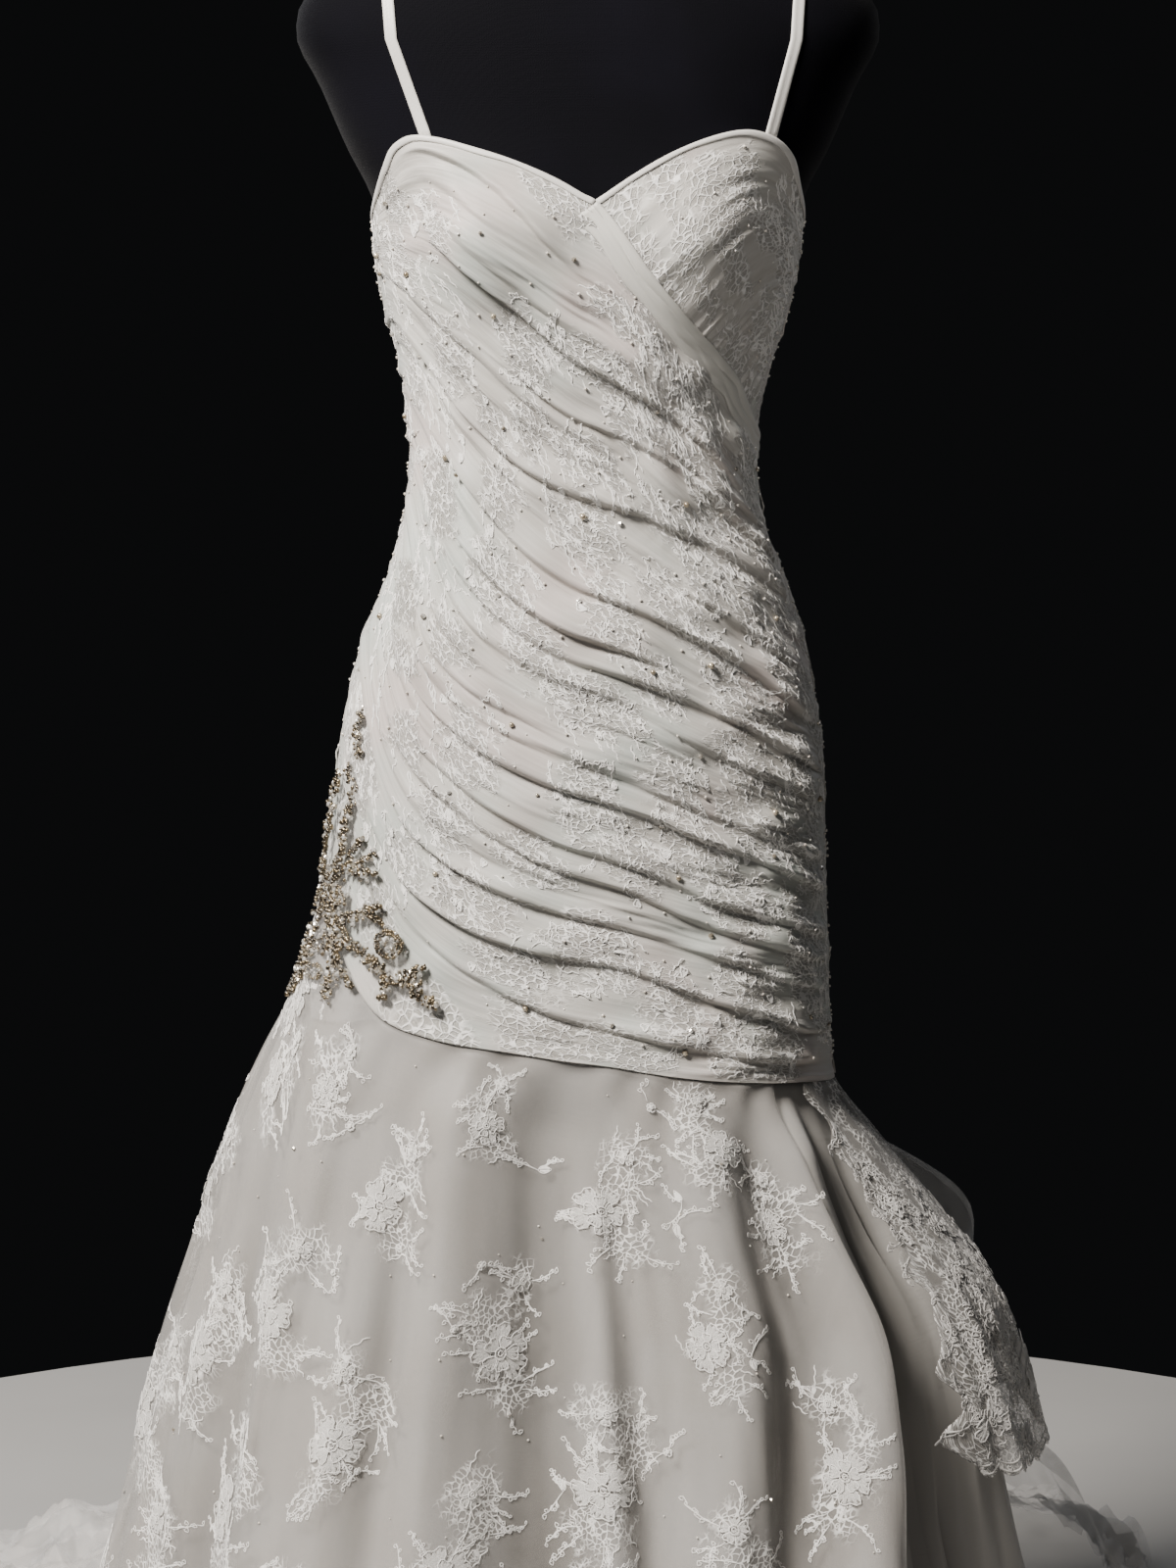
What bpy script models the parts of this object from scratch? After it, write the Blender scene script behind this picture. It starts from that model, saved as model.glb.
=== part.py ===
"""Mermaid evening dress worn by a limbless dress form on a pole stand.

Metres, +Z up, the wearer faces -Y and the wearer's left is +X. The origin is on the floor
under the pole. Every piece of cloth is a wall on one figure surface, read by an angle round
the figure (0 at the front, positive towards the wearer's left) and a height.
"""

import math
from collections import namedtuple

import bmesh
import bpy
import numpy as np
from mathutils import Vector
from mathutils.bvhtree import BVHTree

# ---------------------------------------------------------------- driving sizes

SEAM_GAP = 0.0003  # between the inner faces of pieces that meet at a seam
SEAM_STEP_BACK = 0.00030  # each piece's outer face stops this far short of an upright seam
NUDGE_HALVINGS = 20
BODICE_SEAM_HEIGHT = 1.0  # where the bodice's and the skirt's seam gaps are worked out
SKIRT_SEAM_HEIGHT = 0.65
BODICE_WALL = 0.0016  # lined and boned bodice cloth
SATIN_WALL = 0.0014  # underskirt
LACE_WALL = 0.0010  # lace and tulle
TRIM_WALL = 0.0010  # bands, placket and straps

FORM_CLEARANCE = 0.0014  # between the bodice's inside and the form
NECK_TOP = 1.500
FORM_BOTTOM = 0.700
POLE_RADIUS = 0.016
BASE_RADIUS = 0.170
BASE_THICKNESS = 0.022

V_ANGLE = 1.2  # the low point of the neckline, just off the middle
FRONT_STEPS = 12  # columns on each side of the neckline's low point
BACK_STEPS = 24  # columns round the back, from side to side
BACK_ROWS = 12  # rows of points down each back panel

# Outer surface of the dress, and above it the form's chest, shoulders and neck.
Section = namedtuple("Section", "z left right front back power")
FIGURE = [
    Section(1.500, 0.0630, 0.0630, 0.0560, 0.0590, 2.0),
    Section(1.472, 0.0680, 0.0680, 0.0580, 0.0630, 2.0),
    Section(1.450, 0.0960, 0.0960, 0.0620, 0.0720, 2.1),
    Section(1.434, 0.1360, 0.1360, 0.0680, 0.0800, 2.2),
    Section(1.414, 0.1780, 0.1780, 0.0760, 0.0880, 2.3),
    Section(1.390, 0.2080, 0.2080, 0.0840, 0.0950, 2.4),
    Section(1.360, 0.2160, 0.2160, 0.0920, 0.1010, 2.5),
    Section(1.324, 0.2010, 0.1990, 0.0990, 0.1050, 2.5),
    Section(1.278, 0.1800, 0.1790, 0.1060, 0.1070, 2.4),
    Section(1.242, 0.1610, 0.1610, 0.1120, 0.1070, 2.3),
    Section(1.205, 0.1570, 0.1565, 0.1160, 0.1060, 2.3),
    Section(1.165, 0.1490, 0.1485, 0.1130, 0.1030, 2.3),
    Section(1.125, 0.1380, 0.1360, 0.1070, 0.0980, 2.3),
    Section(1.085, 0.1325, 0.1265, 0.1020, 0.0940, 2.3),
    Section(1.045, 0.1310, 0.1250, 0.0990, 0.0920, 2.3),
    Section(1.005, 0.1360, 0.1310, 0.1000, 0.0960, 2.3),
    Section(0.965, 0.1480, 0.1465, 0.1040, 0.1060, 2.3),
    Section(0.925, 0.1650, 0.1590, 0.1090, 0.1200, 2.3),
    Section(0.885, 0.1760, 0.1680, 0.1120, 0.1310, 2.3),
    Section(0.845, 0.1845, 0.1745, 0.1140, 0.1360, 2.3),
    Section(0.800, 0.1900, 0.1768, 0.1150, 0.1360, 2.3),
    Section(0.750, 0.1950, 0.1780, 0.1150, 0.1330, 2.3),
    Section(0.700, 0.2030, 0.1800, 0.1160, 0.1320, 2.3),
    Section(0.655, 0.2155, 0.1815, 0.1190, 0.1360, 2.25),
    Section(0.615, 0.2345, 0.1830, 0.1240, 0.1450, 2.2),
    Section(0.590, 0.2455, 0.1845, 0.1290, 0.1540, 2.2),
    Section(0.545, 0.2620, 0.2060, 0.1430, 0.1800, 2.15),
    Section(0.490, 0.2780, 0.2420, 0.1610, 0.2160, 2.1),
    Section(0.430, 0.2950, 0.2830, 0.1810, 0.2540, 2.1),
    Section(0.360, 0.3140, 0.3030, 0.2060, 0.2950, 2.1),
    Section(0.280, 0.3340, 0.3160, 0.2340, 0.3400, 2.1),
    Section(0.200, 0.3580, 0.3360, 0.2620, 0.3820, 2.1),
    Section(0.120, 0.3840, 0.3610, 0.2880, 0.4220, 2.1),
    Section(0.050, 0.4080, 0.3880, 0.3080, 0.4550, 2.1),
    Section(0.000, 0.4260, 0.4080, 0.3200, 0.4760, 2.1),
]

# How far the form lies inside the figure, besides the cloth and its clearance, near its foot.
Inset = namedtuple("Inset", "z depth")
FORM_FOOT = [
    Inset(0.840, 0.000),
    Inset(0.800, 0.004),
    Inset(0.765, 0.014),
    Inset(0.735, 0.030),
    Inset(0.712, 0.054),
    Inset(FORM_BOTTOM, 0.078),
]

# The cups: a soft swell in front of the chest, by angle and height.
CUP_ANGLE = 30.0
CUP_SPREAD = 19.0
CUP_HEIGHT = 1.208
CUP_REACH = 0.050
CUP_SWELL = 0.020
FORM_CUP_SWELL = 0.016  # the form's own chest is a little flatter
CUP_START = 2.6  # degrees from the neckline's low point to the left cup's first column
CUP_ROWS = (0.0, 0.12, 0.28, 0.46, 0.64, 0.82, 1.0)

# Edges and seams, each a height for every listed angle round the figure.
Edge = namedtuple("Edge", "angle z")
TOP_EDGE = [
    Edge(-90.0, 1.226),
    Edge(-75.0, 1.239),
    Edge(-57.5, 1.260),
    Edge(-46.6, 1.276),
    Edge(-40.0, 1.281),
    Edge(-34.0, 1.280),
    Edge(-23.5, 1.272),
    Edge(-12.7, 1.260),
    Edge(-4.6, 1.247),
    Edge(V_ANGLE, 1.234),
    Edge(7.8, 1.250),
    Edge(15.9, 1.267),
    Edge(24.6, 1.279),
    Edge(33.2, 1.2845),
    Edge(43.9, 1.280),
    Edge(54.0, 1.269),
    Edge(66.8, 1.250),
    Edge(90.0, 1.226),
    Edge(115.0, 1.203),
    Edge(145.0, 1.186),
    Edge(180.0, 1.180),
    Edge(215.0, 1.186),
    Edge(245.0, 1.203),
    Edge(270.0, 1.226),
]
WRAP_EDGE = [
    Edge(V_ANGLE, 1.234),
    Edge(4.8, 1.219),
    Edge(13.3, 1.185),
    Edge(25.3, 1.153),
    Edge(40.6, 1.1265),
    Edge(53.4, 1.108),
    Edge(65.8, 1.087),
    Edge(90.0, 1.068),
]
HIP_SEAM = [
    Edge(-90.0, 0.766),
    Edge(-78.0, 0.745),
    Edge(-66.0, 0.712),
    Edge(-54.0, 0.678),
    Edge(-42.0, 0.650),
    Edge(-28.0, 0.636),
    Edge(-12.0, 0.628),
    Edge(V_ANGLE, 0.620),
    Edge(20.0, 0.609),
    Edge(40.0, 0.602),
    Edge(60.0, 0.597),
    Edge(90.0, 0.590),
    Edge(120.0, 0.598),
    Edge(150.0, 0.622),
    Edge(180.0, 0.656),
    Edge(210.0, 0.694),
    Edge(240.0, 0.738),
    Edge(270.0, 0.766),
]

# The big folds of the wrapped front: how far down each crease runs, and how far its crest
# stands out above it. Between them the cloth rises slowly, and it drops in FOLD_LIP of the way.
Fold = namedtuple("Fold", "down crest")
FOLDS = [
    Fold(0.100, 0.0030),
    Fold(0.200, 0.0035),
    Fold(0.305, 0.0030),
    Fold(0.395, 0.0040),
    Fold(0.490, 0.0045),
    Fold(0.580, 0.0035),
    Fold(0.690, 0.0045),
    Fold(0.760, 0.0035),
    Fold(0.820, 0.0040),
    Fold(0.900, 0.0045),
]
FOLD_LIP = 0.016
FOLD_FADE = (-84.0, -60.0)  # the folds flatten into the side seam between these angles
FAN_ANGLE = -25.0  # to the wearer's right of here the folds draw together
FAN_POWER = 1.5
# At the wearer's right side seam, the share of the seam's length at which a fold starts.
Fan = namedtuple("Fan", "down at_seam")
SIDE_FAN = [
    Fan(0.00, 0.00),
    Fan(0.20, 0.035),
    Fan(0.305, 0.09),
    Fan(0.490, 0.32),
    Fan(0.690, 0.66),
    Fan(0.820, 0.86),
    Fan(0.900, 0.955),
    Fan(1.00, 1.00),
]

# Soft upright folds of the skirt: place and half-width round the figure, how far each stands
# out at the floor, and how far it leans towards the wearer's left on its way down.
Flute = namedtuple("Flute", "angle width height lean")
SKIRT_FLUTES = [
    Flute(-96.0, 12.0, 0.016, -4.0),
    Flute(-70.0, 10.0, 0.020, -4.0),
    Flute(-47.0, 9.0, 0.018, -4.0),
    Flute(-24.0, 9.0, 0.026, -6.0),
    Flute(-4.0, 8.0, 0.014, 2.0),
    Flute(20.0, 9.0, 0.018, 6.0),
    Flute(41.0, 9.0, 0.026, -3.0),
    Flute(74.0, 9.0, 0.022, 3.0),
    Flute(98.0, 10.0, 0.020, 4.0),
    Flute(124.0, 11.0, 0.022, 5.0),
    Flute(152.0, 12.0, 0.024, 2.0),
    Flute(181.0, 12.0, 0.024, 0.0),
    Flute(209.0, 12.0, 0.024, -2.0),
    Flute(237.0, 11.0, 0.022, -5.0),
]

# Share of the way from the hip seam to the floor at each row of a skirt layer.
SKIRT_ROWS = (0.0, 0.09, 0.19, 0.30, 0.42, 0.54, 0.66, 0.77, 0.87, 0.94, 1.0)

# How far the satin underskirt lies inside the lace at each row's share of the way down.
Layer = namedtuple("Layer", "share depth")
UNDERSKIRT_DEPTH = [
    Layer(0.00, LACE_WALL + SEAM_GAP),
    Layer(0.09, 0.0045),
    Layer(0.19, 0.0080),
    Layer(0.42, 0.0120),
    Layer(1.00, 0.0140),
]

UNDERSKIRT_DROP = 0.0012  # its upper edge lies this far under the hip seam
SKIRT_FLOOR = 0.004  # height of the skirt layers' hems
FLUTE_GROWTH = 1.2  # power of the share of the way down by which the folds grow

# The tulle train: its reach to each side and behind, at each share of the way down.
Reach = namedtuple("Reach", "share side back")
TRAIN_REACH = [
    Reach(0.00, 0.0000, 0.000),
    Reach(0.09, 0.0080, 0.004),
    Reach(0.19, 0.0200, 0.010),
    Reach(0.30, 0.0360, 0.020),
    Reach(0.42, 0.0540, 0.036),
    Reach(0.54, 0.0840, 0.060),
    Reach(0.66, 0.1240, 0.094),
    Reach(0.77, 0.1760, 0.140),
    Reach(0.87, 0.2360, 0.216),
    Reach(0.94, 0.2960, 0.320),
    Reach(1.00, 0.3600, 0.470),
]
TRAIN_START = 120.0
TRAIN_END = 247.5
TRAIN_FLOOR = 0.0016  # height of its upper face where it lies on the floor
TRAIN_SETTLE = 6  # power of the share by which its folds flatten on the floor
TRAIN_CORNER = 12.0  # degrees over which each of its front corners is rounded off
TRAIN_CORNER_CUT = 0.60  # share of its reach that a corner loses
TRAIN_FLUTES = [
    Flute(123.0, 6.0, 0.030, 0.0),
    Flute(141.0, 8.0, 0.045, 0.0),
    Flute(160.0, 8.0, 0.040, 0.0),
    Flute(179.0, 8.0, 0.045, 0.0),
    Flute(198.0, 8.0, 0.040, 0.0),
    Flute(217.0, 8.0, 0.050, 0.0),
    Flute(235.0, 7.0, 0.030, 0.0),
]
# On the wearer's right the train stays behind the skirt until it nears the floor.
Spread = namedtuple("Spread", "share part")
TRAIN_RIGHT_SPREAD = [
    Spread(0.00, 0.10),
    Spread(0.66, 0.12),
    Spread(0.80, 0.30),
    Spread(0.90, 0.70),
    Spread(1.00, 1.00),
]
TRAIN_WING = Flute(124.0, 7.0, 0.034, 0.0)  # the tulle fold that stands out behind the overlay
TRAIN_WING_SHARE = 0.23
TRAIN_WING_REACH = 0.10

LACE_EDGE_STEP = 6  # columns from the neckline's low point to the front lace's left edge
LACE_EDGE_DRIFT = -11.0  # that edge swings towards the front on its way down
OVERLAY_STEPS = (8, 4)  # overlay: front column, and columns behind the side seam
OVERLAY_HEM = [
    Edge(60.0, 0.312),
    Edge(75.0, 0.304),
    Edge(90.0, 0.302),
    Edge(105.0, 0.330),
    Edge(120.0, 0.372),
]
OVERLAY_ROWS = 8
OVERLAY_SCALLOP = 0.008
OVERLAY_STAND = 0.010  # how far the overlay stands off the figure near its hem

BAND_LIFT = 0.0010  # of the bands that lie along the panels' edges
NECK_BAND_WIDTH = 0.009
WRAP_BAND_WIDTH = 0.017
PLACKET_HALF = 0.008
PLACKET_LIFT = 0.0005
PLACKET_ROWS = 8  # rows of the back panels that it covers
BUTTON_RADIUS = 0.0046
BUTTON_TOP_RADIUS = 0.00285
BUTTON_HEIGHT = 0.0032
BUTTON_COUNT = 12
BUTTON_PITCH = 0.0275
BUTTON_TOP_DROP = 0.016

CAP_RADIUS = 0.050  # of the neck cap
CAP_THICKNESS = 0.012
CAP_EDGE = 0.004
BASE_EDGE = 0.006

STRAP_WIDTH = 0.009
STRAP_LIFT = 0.0009  # off the form's surface
SHOULDER_PIVOT = 1.350
STRAP_UPRIGHT_SHARE = 0.7  # of its way outwards, the share a strap makes below the shoulder
STRAP_ROWS = (7, 23, 12)  # points up the front, over the shoulder and down the back
Strap = namedtuple("Strap", "side front_x shoulder_x back_x front_z back_z")
STRAPS = [
    Strap("right", -0.1155, -0.1500, -0.0980, 1.2825, 1.1895),
    Strap("left", 0.1300, 0.1560, 0.0980, 1.2825, 1.1895),
]

# The beaded applique at the wearer's right hip, by height: where it starts and ends round it.
Patch = namedtuple("Patch", "z start end")
APPLIQUE = [
    Patch(0.868, -84.0, -80.0),
    Patch(0.820, -86.0, -79.0),
    Patch(0.780, -88.0, -76.0),
    Patch(0.745, -90.0, -64.0),
    Patch(0.715, -92.0, -66.0),
    Patch(0.690, -93.0, -44.0),
    Patch(0.668, -92.0, -33.0),
    Patch(0.650, -82.0, -30.0),
    Patch(0.638, -72.0, -46.0),
]
APPLIQUE_LIFT = 0.0022
APPLIQUE_SEARCH = 0.010  # the panels are looked for from this far outside the figure
APPLIQUE_ROWS = 12
APPLIQUE_STEPS = 8

# ---------------------------------------------------------------- materials


def material(name, colour, roughness, metallic=0.0, alpha=1.0):
    """Returns a new Principled material."""
    made = bpy.data.materials.new(name)
    made.use_nodes = True
    shader = made.node_tree.nodes["Principled BSDF"]
    shader.inputs["Base Color"].default_value = (*colour, 1.0)
    shader.inputs["Roughness"].default_value = roughness
    shader.inputs["Metallic"].default_value = metallic
    shader.inputs["Alpha"].default_value = alpha
    made.diffuse_color = (*colour, alpha)
    return made


# ---------------------------------------------------------------- the figure


def curve_through(rows, x_name, y_name, x):
    """Reads a table as a smooth curve through its rows, flat beyond its ends."""
    xs = [getattr(row, x_name) for row in rows]
    ys = [getattr(row, y_name) for row in rows]
    if xs[0] > xs[-1]:
        xs, ys = xs[::-1], ys[::-1]
    slopes = np.gradient(ys, xs)
    if x <= xs[0]:
        return ys[0]
    if x >= xs[-1]:
        return ys[-1]
    k = int(np.searchsorted(xs, x)) - 1
    width = xs[k + 1] - xs[k]
    t = (x - xs[k]) / width
    rise = t * t * (3 - 2 * t)
    ease_in = t * (1 - t) ** 2 * slopes[k] * width
    ease_out = t * t * (1 - t) * slopes[k + 1] * width
    return float(ys[k] * (1 - rise) + ys[k + 1] * rise + ease_in - ease_out)


def polyline(rows, x_name, y_name, x):
    """Reads a table as straight runs between its rows."""
    xs = [getattr(row, x_name) for row in rows]
    ys = [getattr(row, y_name) for row in rows]
    if xs[0] > xs[-1]:
        xs, ys = xs[::-1], ys[::-1]
    return float(np.interp(x, xs, ys))


def bell(x, centre, spread):
    """Returns 1 at the centre, falling off smoothly on both sides."""
    return math.exp(-(((x - centre) / spread) ** 2))


def turn(angle):
    """Brings an angle in degrees to the range from -180 to 180."""
    return (angle + 180.0) % 360.0 - 180.0


def powered(value, power):
    """Raises a sine or cosine to a superellipse's power, keeping its sign."""
    return math.copysign(abs(value) ** (2.0 / power), value)


def section_point(angle, z, widths, depths, power):
    """Returns a point of a horizontal section with the given half-widths and depths."""
    sine = math.sin(math.radians(angle))
    cosine = math.cos(math.radians(angle))
    x = (widths[1] if sine > 0 else widths[0]) * powered(sine, power)
    y = -(depths[0] if cosine > 0 else depths[1]) * powered(cosine, power)
    return Vector((x, y, z))


def figure_point(angle, z, grow=0.0, swell=CUP_SWELL, side_reach=0.0, back_reach=0.0):
    """Returns a point of the figure, grown evenly, with its cups and with extra reach."""
    left, right, front, back, power = (
        curve_through(FIGURE, "z", column, z) for column in Section._fields[1:]
    )
    facing = turn(angle)
    front += swell * bell(abs(facing), CUP_ANGLE, CUP_SPREAD) * bell(z, CUP_HEIGHT, CUP_REACH)
    widths = (left + grow + side_reach, right + grow + side_reach)
    depths = (front + grow, back + grow + back_reach)
    return section_point(angle, z, widths, depths, power)


def outward(angle, z):
    """Returns the figure's normal at a point."""
    step_angle, step_z = 1.0, 0.004
    across = figure_point(angle + step_angle, z) - figure_point(angle - step_angle, z)
    up = figure_point(angle, z + step_z) - figure_point(angle, z - step_z)
    return across.cross(up).normalized()


def front_columns():
    """Returns the angles of the front's columns, from side seam to side seam."""
    right = np.linspace(-90.0, V_ANGLE, FRONT_STEPS + 1)
    left = np.linspace(V_ANGLE, 90.0, FRONT_STEPS + 1)
    return [float(a) for a in right] + [float(a) for a in left[1:]]


def back_columns():
    """Returns the angles of the back's columns, from the wearer's left to the right."""
    return [float(a) for a in np.linspace(90.0, 270.0, BACK_STEPS + 1)]


def seam_nudge(angle, z):
    """Returns the degrees by which a panel stops short of a seam, at its outer face.

    The angles are read on a squarish outline, which moves fast near its sides and middle.
    """
    seam = figure_point(angle, z)
    low, high = 0.0, 1.0
    for _ in range(NUDGE_HALVINGS):
        middle = (low + high) / 2
        short = (figure_point(angle + middle, z) - seam).length < SEAM_STEP_BACK
        low, high = (middle, high) if short else (low, middle)
    return high


def trimmed(columns, z=BODICE_SEAM_HEIGHT, start=True, end=True):
    """Draws a panel's first and last column in from its seams."""
    made = list(columns)
    if start:
        made[0] += seam_nudge(columns[0], z)
    if end:
        made[-1] -= seam_nudge(columns[-1], z)
    return made


# ---------------------------------------------------------------- building helpers


def new_object(name, mesh, surface):
    """Adds a mesh to the scene as a named object with one material."""
    made = bpy.data.objects.new(name, mesh)
    bpy.context.scene.collection.objects.link(made)
    mesh.materials.append(surface)
    mesh.shade_smooth()
    mesh.set_sharp_from_angle(angle=math.radians(40))
    return made


def wall(name, rows, thickness, surface, outwards=False):
    """Makes a panel from rows of points, top row first, running to the wearer's left.

    The points are the panel's outer face, or its inner face if it grows outwards.
    """
    across, down = len(rows[0]) - 1, len(rows) - 1
    grid = bmesh.new()
    bmesh.ops.create_grid(grid, x_segments=across, y_segments=down, size=1.0)
    for vertex in grid.verts:
        column = round((vertex.co.x + 1) / 2 * across)
        row = round((1 - vertex.co.y) / 2 * down)
        vertex.co = rows[row][column]
    mesh = bpy.data.meshes.new(name)
    grid.to_mesh(mesh)
    grid.free()
    made = new_object(name, mesh, surface)
    solid = made.modifiers.new("wall", "SOLIDIFY")
    solid.thickness = thickness
    solid.offset = 1.0 if outwards else -1.0
    solid.use_even_offset = True
    return made


def loft(name, rings, surface):
    """Makes a closed solid from rings of points, lowest first, with flat ends."""
    shell = bmesh.new()
    bmesh.ops.create_circle(shell, cap_ends=True, segments=len(rings[0]), radius=1.0)
    ring = sorted(shell.verts, key=lambda v: math.atan2(v.co.y, v.co.x))
    for vertex, place in zip(ring, rings[0]):
        vertex.co = place
    edges = list(shell.edges)
    for points in rings[1:]:
        raised = bmesh.ops.extrude_edge_only(shell, edges=edges)["geom"]
        edges = [item for item in raised if isinstance(item, bmesh.types.BMEdge)]
        top = {item for item in raised if isinstance(item, bmesh.types.BMVert)}
        edges = [edge for edge in edges if all(v in top for v in edge.verts)]
        ring = [next(e.other_vert(v) for e in v.link_edges if e.other_vert(v) in top) for v in ring]
        for vertex, place in zip(ring, points):
            vertex.co = place
    bmesh.ops.contextual_create(shell, geom=edges)
    bmesh.ops.recalc_face_normals(shell, faces=shell.faces)
    mesh = bpy.data.meshes.new(name)
    shell.to_mesh(mesh)
    shell.free()
    return new_object(name, mesh, surface)


def turned(name, bottom_radius, top_radius, height, place, surface, segments=32, edge=0.0):
    """Makes a round post or disc standing on its place, with its top edge rounded."""
    shell = bmesh.new()
    bmesh.ops.create_cone(
        shell, cap_ends=True, segments=segments, radius1=bottom_radius, radius2=top_radius, depth=height
    )
    if edge:
        rim = [e for e in shell.edges if all(v.co.z > 0 for v in e.verts)]
        bmesh.ops.bevel(
            shell, geom=rim, offset=edge, segments=3, profile=0.5, affect="EDGES", material=-1
        )
    bmesh.ops.translate(shell, verts=shell.verts, vec=(0, 0, height / 2))
    mesh = bpy.data.meshes.new(name)
    shell.to_mesh(mesh)
    shell.free()
    made = new_object(name, mesh, surface)
    made.location = place
    return made


def moved_out(points, angles, lift):
    """Moves a row of points out along the figure's normals."""
    return [point + outward(angle, point.z) * lift for point, angle in zip(points, angles)]


# ---------------------------------------------------------------- bodice


def fan_share(angle, down):
    """Returns how far down the panel a fold line lies, as a share of its height there."""
    if angle >= FAN_ANGLE:
        return down
    pull = ((FAN_ANGLE - angle) / (90.0 + FAN_ANGLE)) ** FAN_POWER
    return down * (1 - pull) + polyline(SIDE_FAN, "down", "at_seam", down) * pull


def wrap_top(angle):
    """Returns the height of the wrapped panel's upper edge."""
    if angle > V_ANGLE:
        return curve_through(WRAP_EDGE, "angle", "z", angle)
    return curve_through(TOP_EDGE, "angle", "z", angle)


def seam_height(angle):
    """Returns the height of the hip seam."""
    return curve_through(HIP_SEAM, "angle", "z", angle if angle >= -90.1 else angle + 360.0)


def wrap_rows():
    """Returns how far down each row of the wrapped panel runs, and how far it stands out."""
    rows = [(0.0, 0.0), (0.045, 0.0012)]
    for fold in FOLDS:
        rows += [(fold.down - FOLD_LIP, fold.crest), (fold.down, 0.0)]
    return rows + [(0.96, 0.0015), (1.0, 0.0)]


def fold_fade(angle):
    """Returns how much of a fold's height is left near the side seams."""
    flat, full = FOLD_FADE
    share = min(max((min(angle, -angle) - flat) / (full - flat), 0.0), 1.0)
    return share * share * (3 - 2 * share)


def front_panel(surface):
    """The ruched panel that wraps from the wearer's right cup to the left side seam."""
    columns = trimmed(front_columns())
    rows = []
    for down, crest in wrap_rows():
        row = []
        for angle in columns:
            top = wrap_top(angle) - (SEAM_GAP if angle > V_ANGLE else 0.0)
            bottom = seam_height(angle)
            z = top + (bottom - top) * fan_share(angle, down)
            row.append(figure_point(angle, z) + outward(angle, z) * crest * fold_fade(angle))
        rows.append(row)
    panel = wall("front_wrap_panel", rows, BODICE_WALL, surface)
    return panel, columns, rows


def left_cup(surface):
    """The gathered cup on the wearer's left, above the wrap's edge."""
    columns = trimmed(front_columns()[FRONT_STEPS:], start=False)
    columns[0] += CUP_START
    rows = []
    for share in CUP_ROWS:
        row = []
        for angle in columns:
            top = curve_through(TOP_EDGE, "angle", "z", angle)
            bottom = wrap_top(angle) + SEAM_GAP * 2.0
            z = top + (bottom - top) * share
            row.append(figure_point(angle, z))
        rows.append(row)
    wall("left_cup", rows, BODICE_WALL, surface)
    return columns, rows


def edge_band(name, columns, rows, first, last, width, surface):
    """A bound edge that lies on the top of a panel, made from the panel's own points."""
    picked = slice(first, last)
    upper = rows[0][picked]
    lower = rows[1][picked]
    angles = columns[picked]
    shares = [min(0.98, width / (a - b).length) for a, b in zip(upper, lower)]
    under = [a.lerp(b, share) for a, b, share in zip(upper, lower, shares)]
    strip = [moved_out(upper, angles, BAND_LIFT), moved_out(under, angles, BAND_LIFT)]
    return wall(name, strip, TRIM_WALL, surface, outwards=True)


def back_panels(surface):
    """The two halves of the back bodice, which meet under the button placket."""
    middle = BACK_STEPS // 2
    columns = back_columns()
    halves = {"back_left_panel": columns[: middle + 1], "back_right_panel": columns[middle:]}
    made = {}
    for name, part in halves.items():
        angles = trimmed(part)
        rows = []
        for share in np.linspace(0.0, 1.0, BACK_ROWS):
            row = []
            for angle in angles:
                top = curve_through(TOP_EDGE, "angle", "z", angle)
                z = top + (seam_height(angle) - top) * float(share)
                row.append(figure_point(angle, z))
            rows.append(row)
        wall(name, rows, BODICE_WALL, surface)
        made[name] = rows
    return made


def back_placket(halves, surface):
    """The strip over the centre-back opening, made from both panels' points."""
    left, right = halves["back_left_panel"], halves["back_right_panel"]
    rows = []
    for on_left, on_right in list(zip(left, right))[:PLACKET_ROWS]:
        middle = on_left[-1].lerp(on_right[0], 0.5)
        row = []
        for inner, outer in ((on_left[-1], on_left[-2]), (middle, middle), (on_right[0], on_right[1])):
            share = PLACKET_HALF / max((outer - inner).length, PLACKET_HALF)
            place = inner.lerp(outer, share)
            row.append(place + outward(180.0, place.z) * PLACKET_LIFT)
        rows.append(row)
    wall("back_placket", rows, TRIM_WALL, surface, outwards=True)
    return [row[1] for row in rows]


def back_buttons(spine, surface):
    """The row of covered buttons down the middle of the placket, all fastened."""
    for number in range(BUTTON_COUNT):
        z = spine[0].z - BUTTON_TOP_DROP - BUTTON_PITCH * number
        row = next(k for k in range(len(spine) - 1) if spine[k + 1].z <= z)
        upper, lower = spine[row], spine[row + 1]
        normal = Vector((1, 0, 0)).cross(lower - upper).normalized()
        place = upper.lerp(lower, (upper.z - z) / (upper.z - lower.z))
        button = turned(
            f"back_button_{number + 1:02d}",
            BUTTON_RADIUS,
            BUTTON_TOP_RADIUS,
            BUTTON_HEIGHT,
            place + normal * (TRIM_WALL + SEAM_GAP),
            surface,
            segments=10,
        )
        button.rotation_mode = "QUATERNION"
        button.rotation_quaternion = normal.to_track_quat("Z", "Y")


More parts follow.
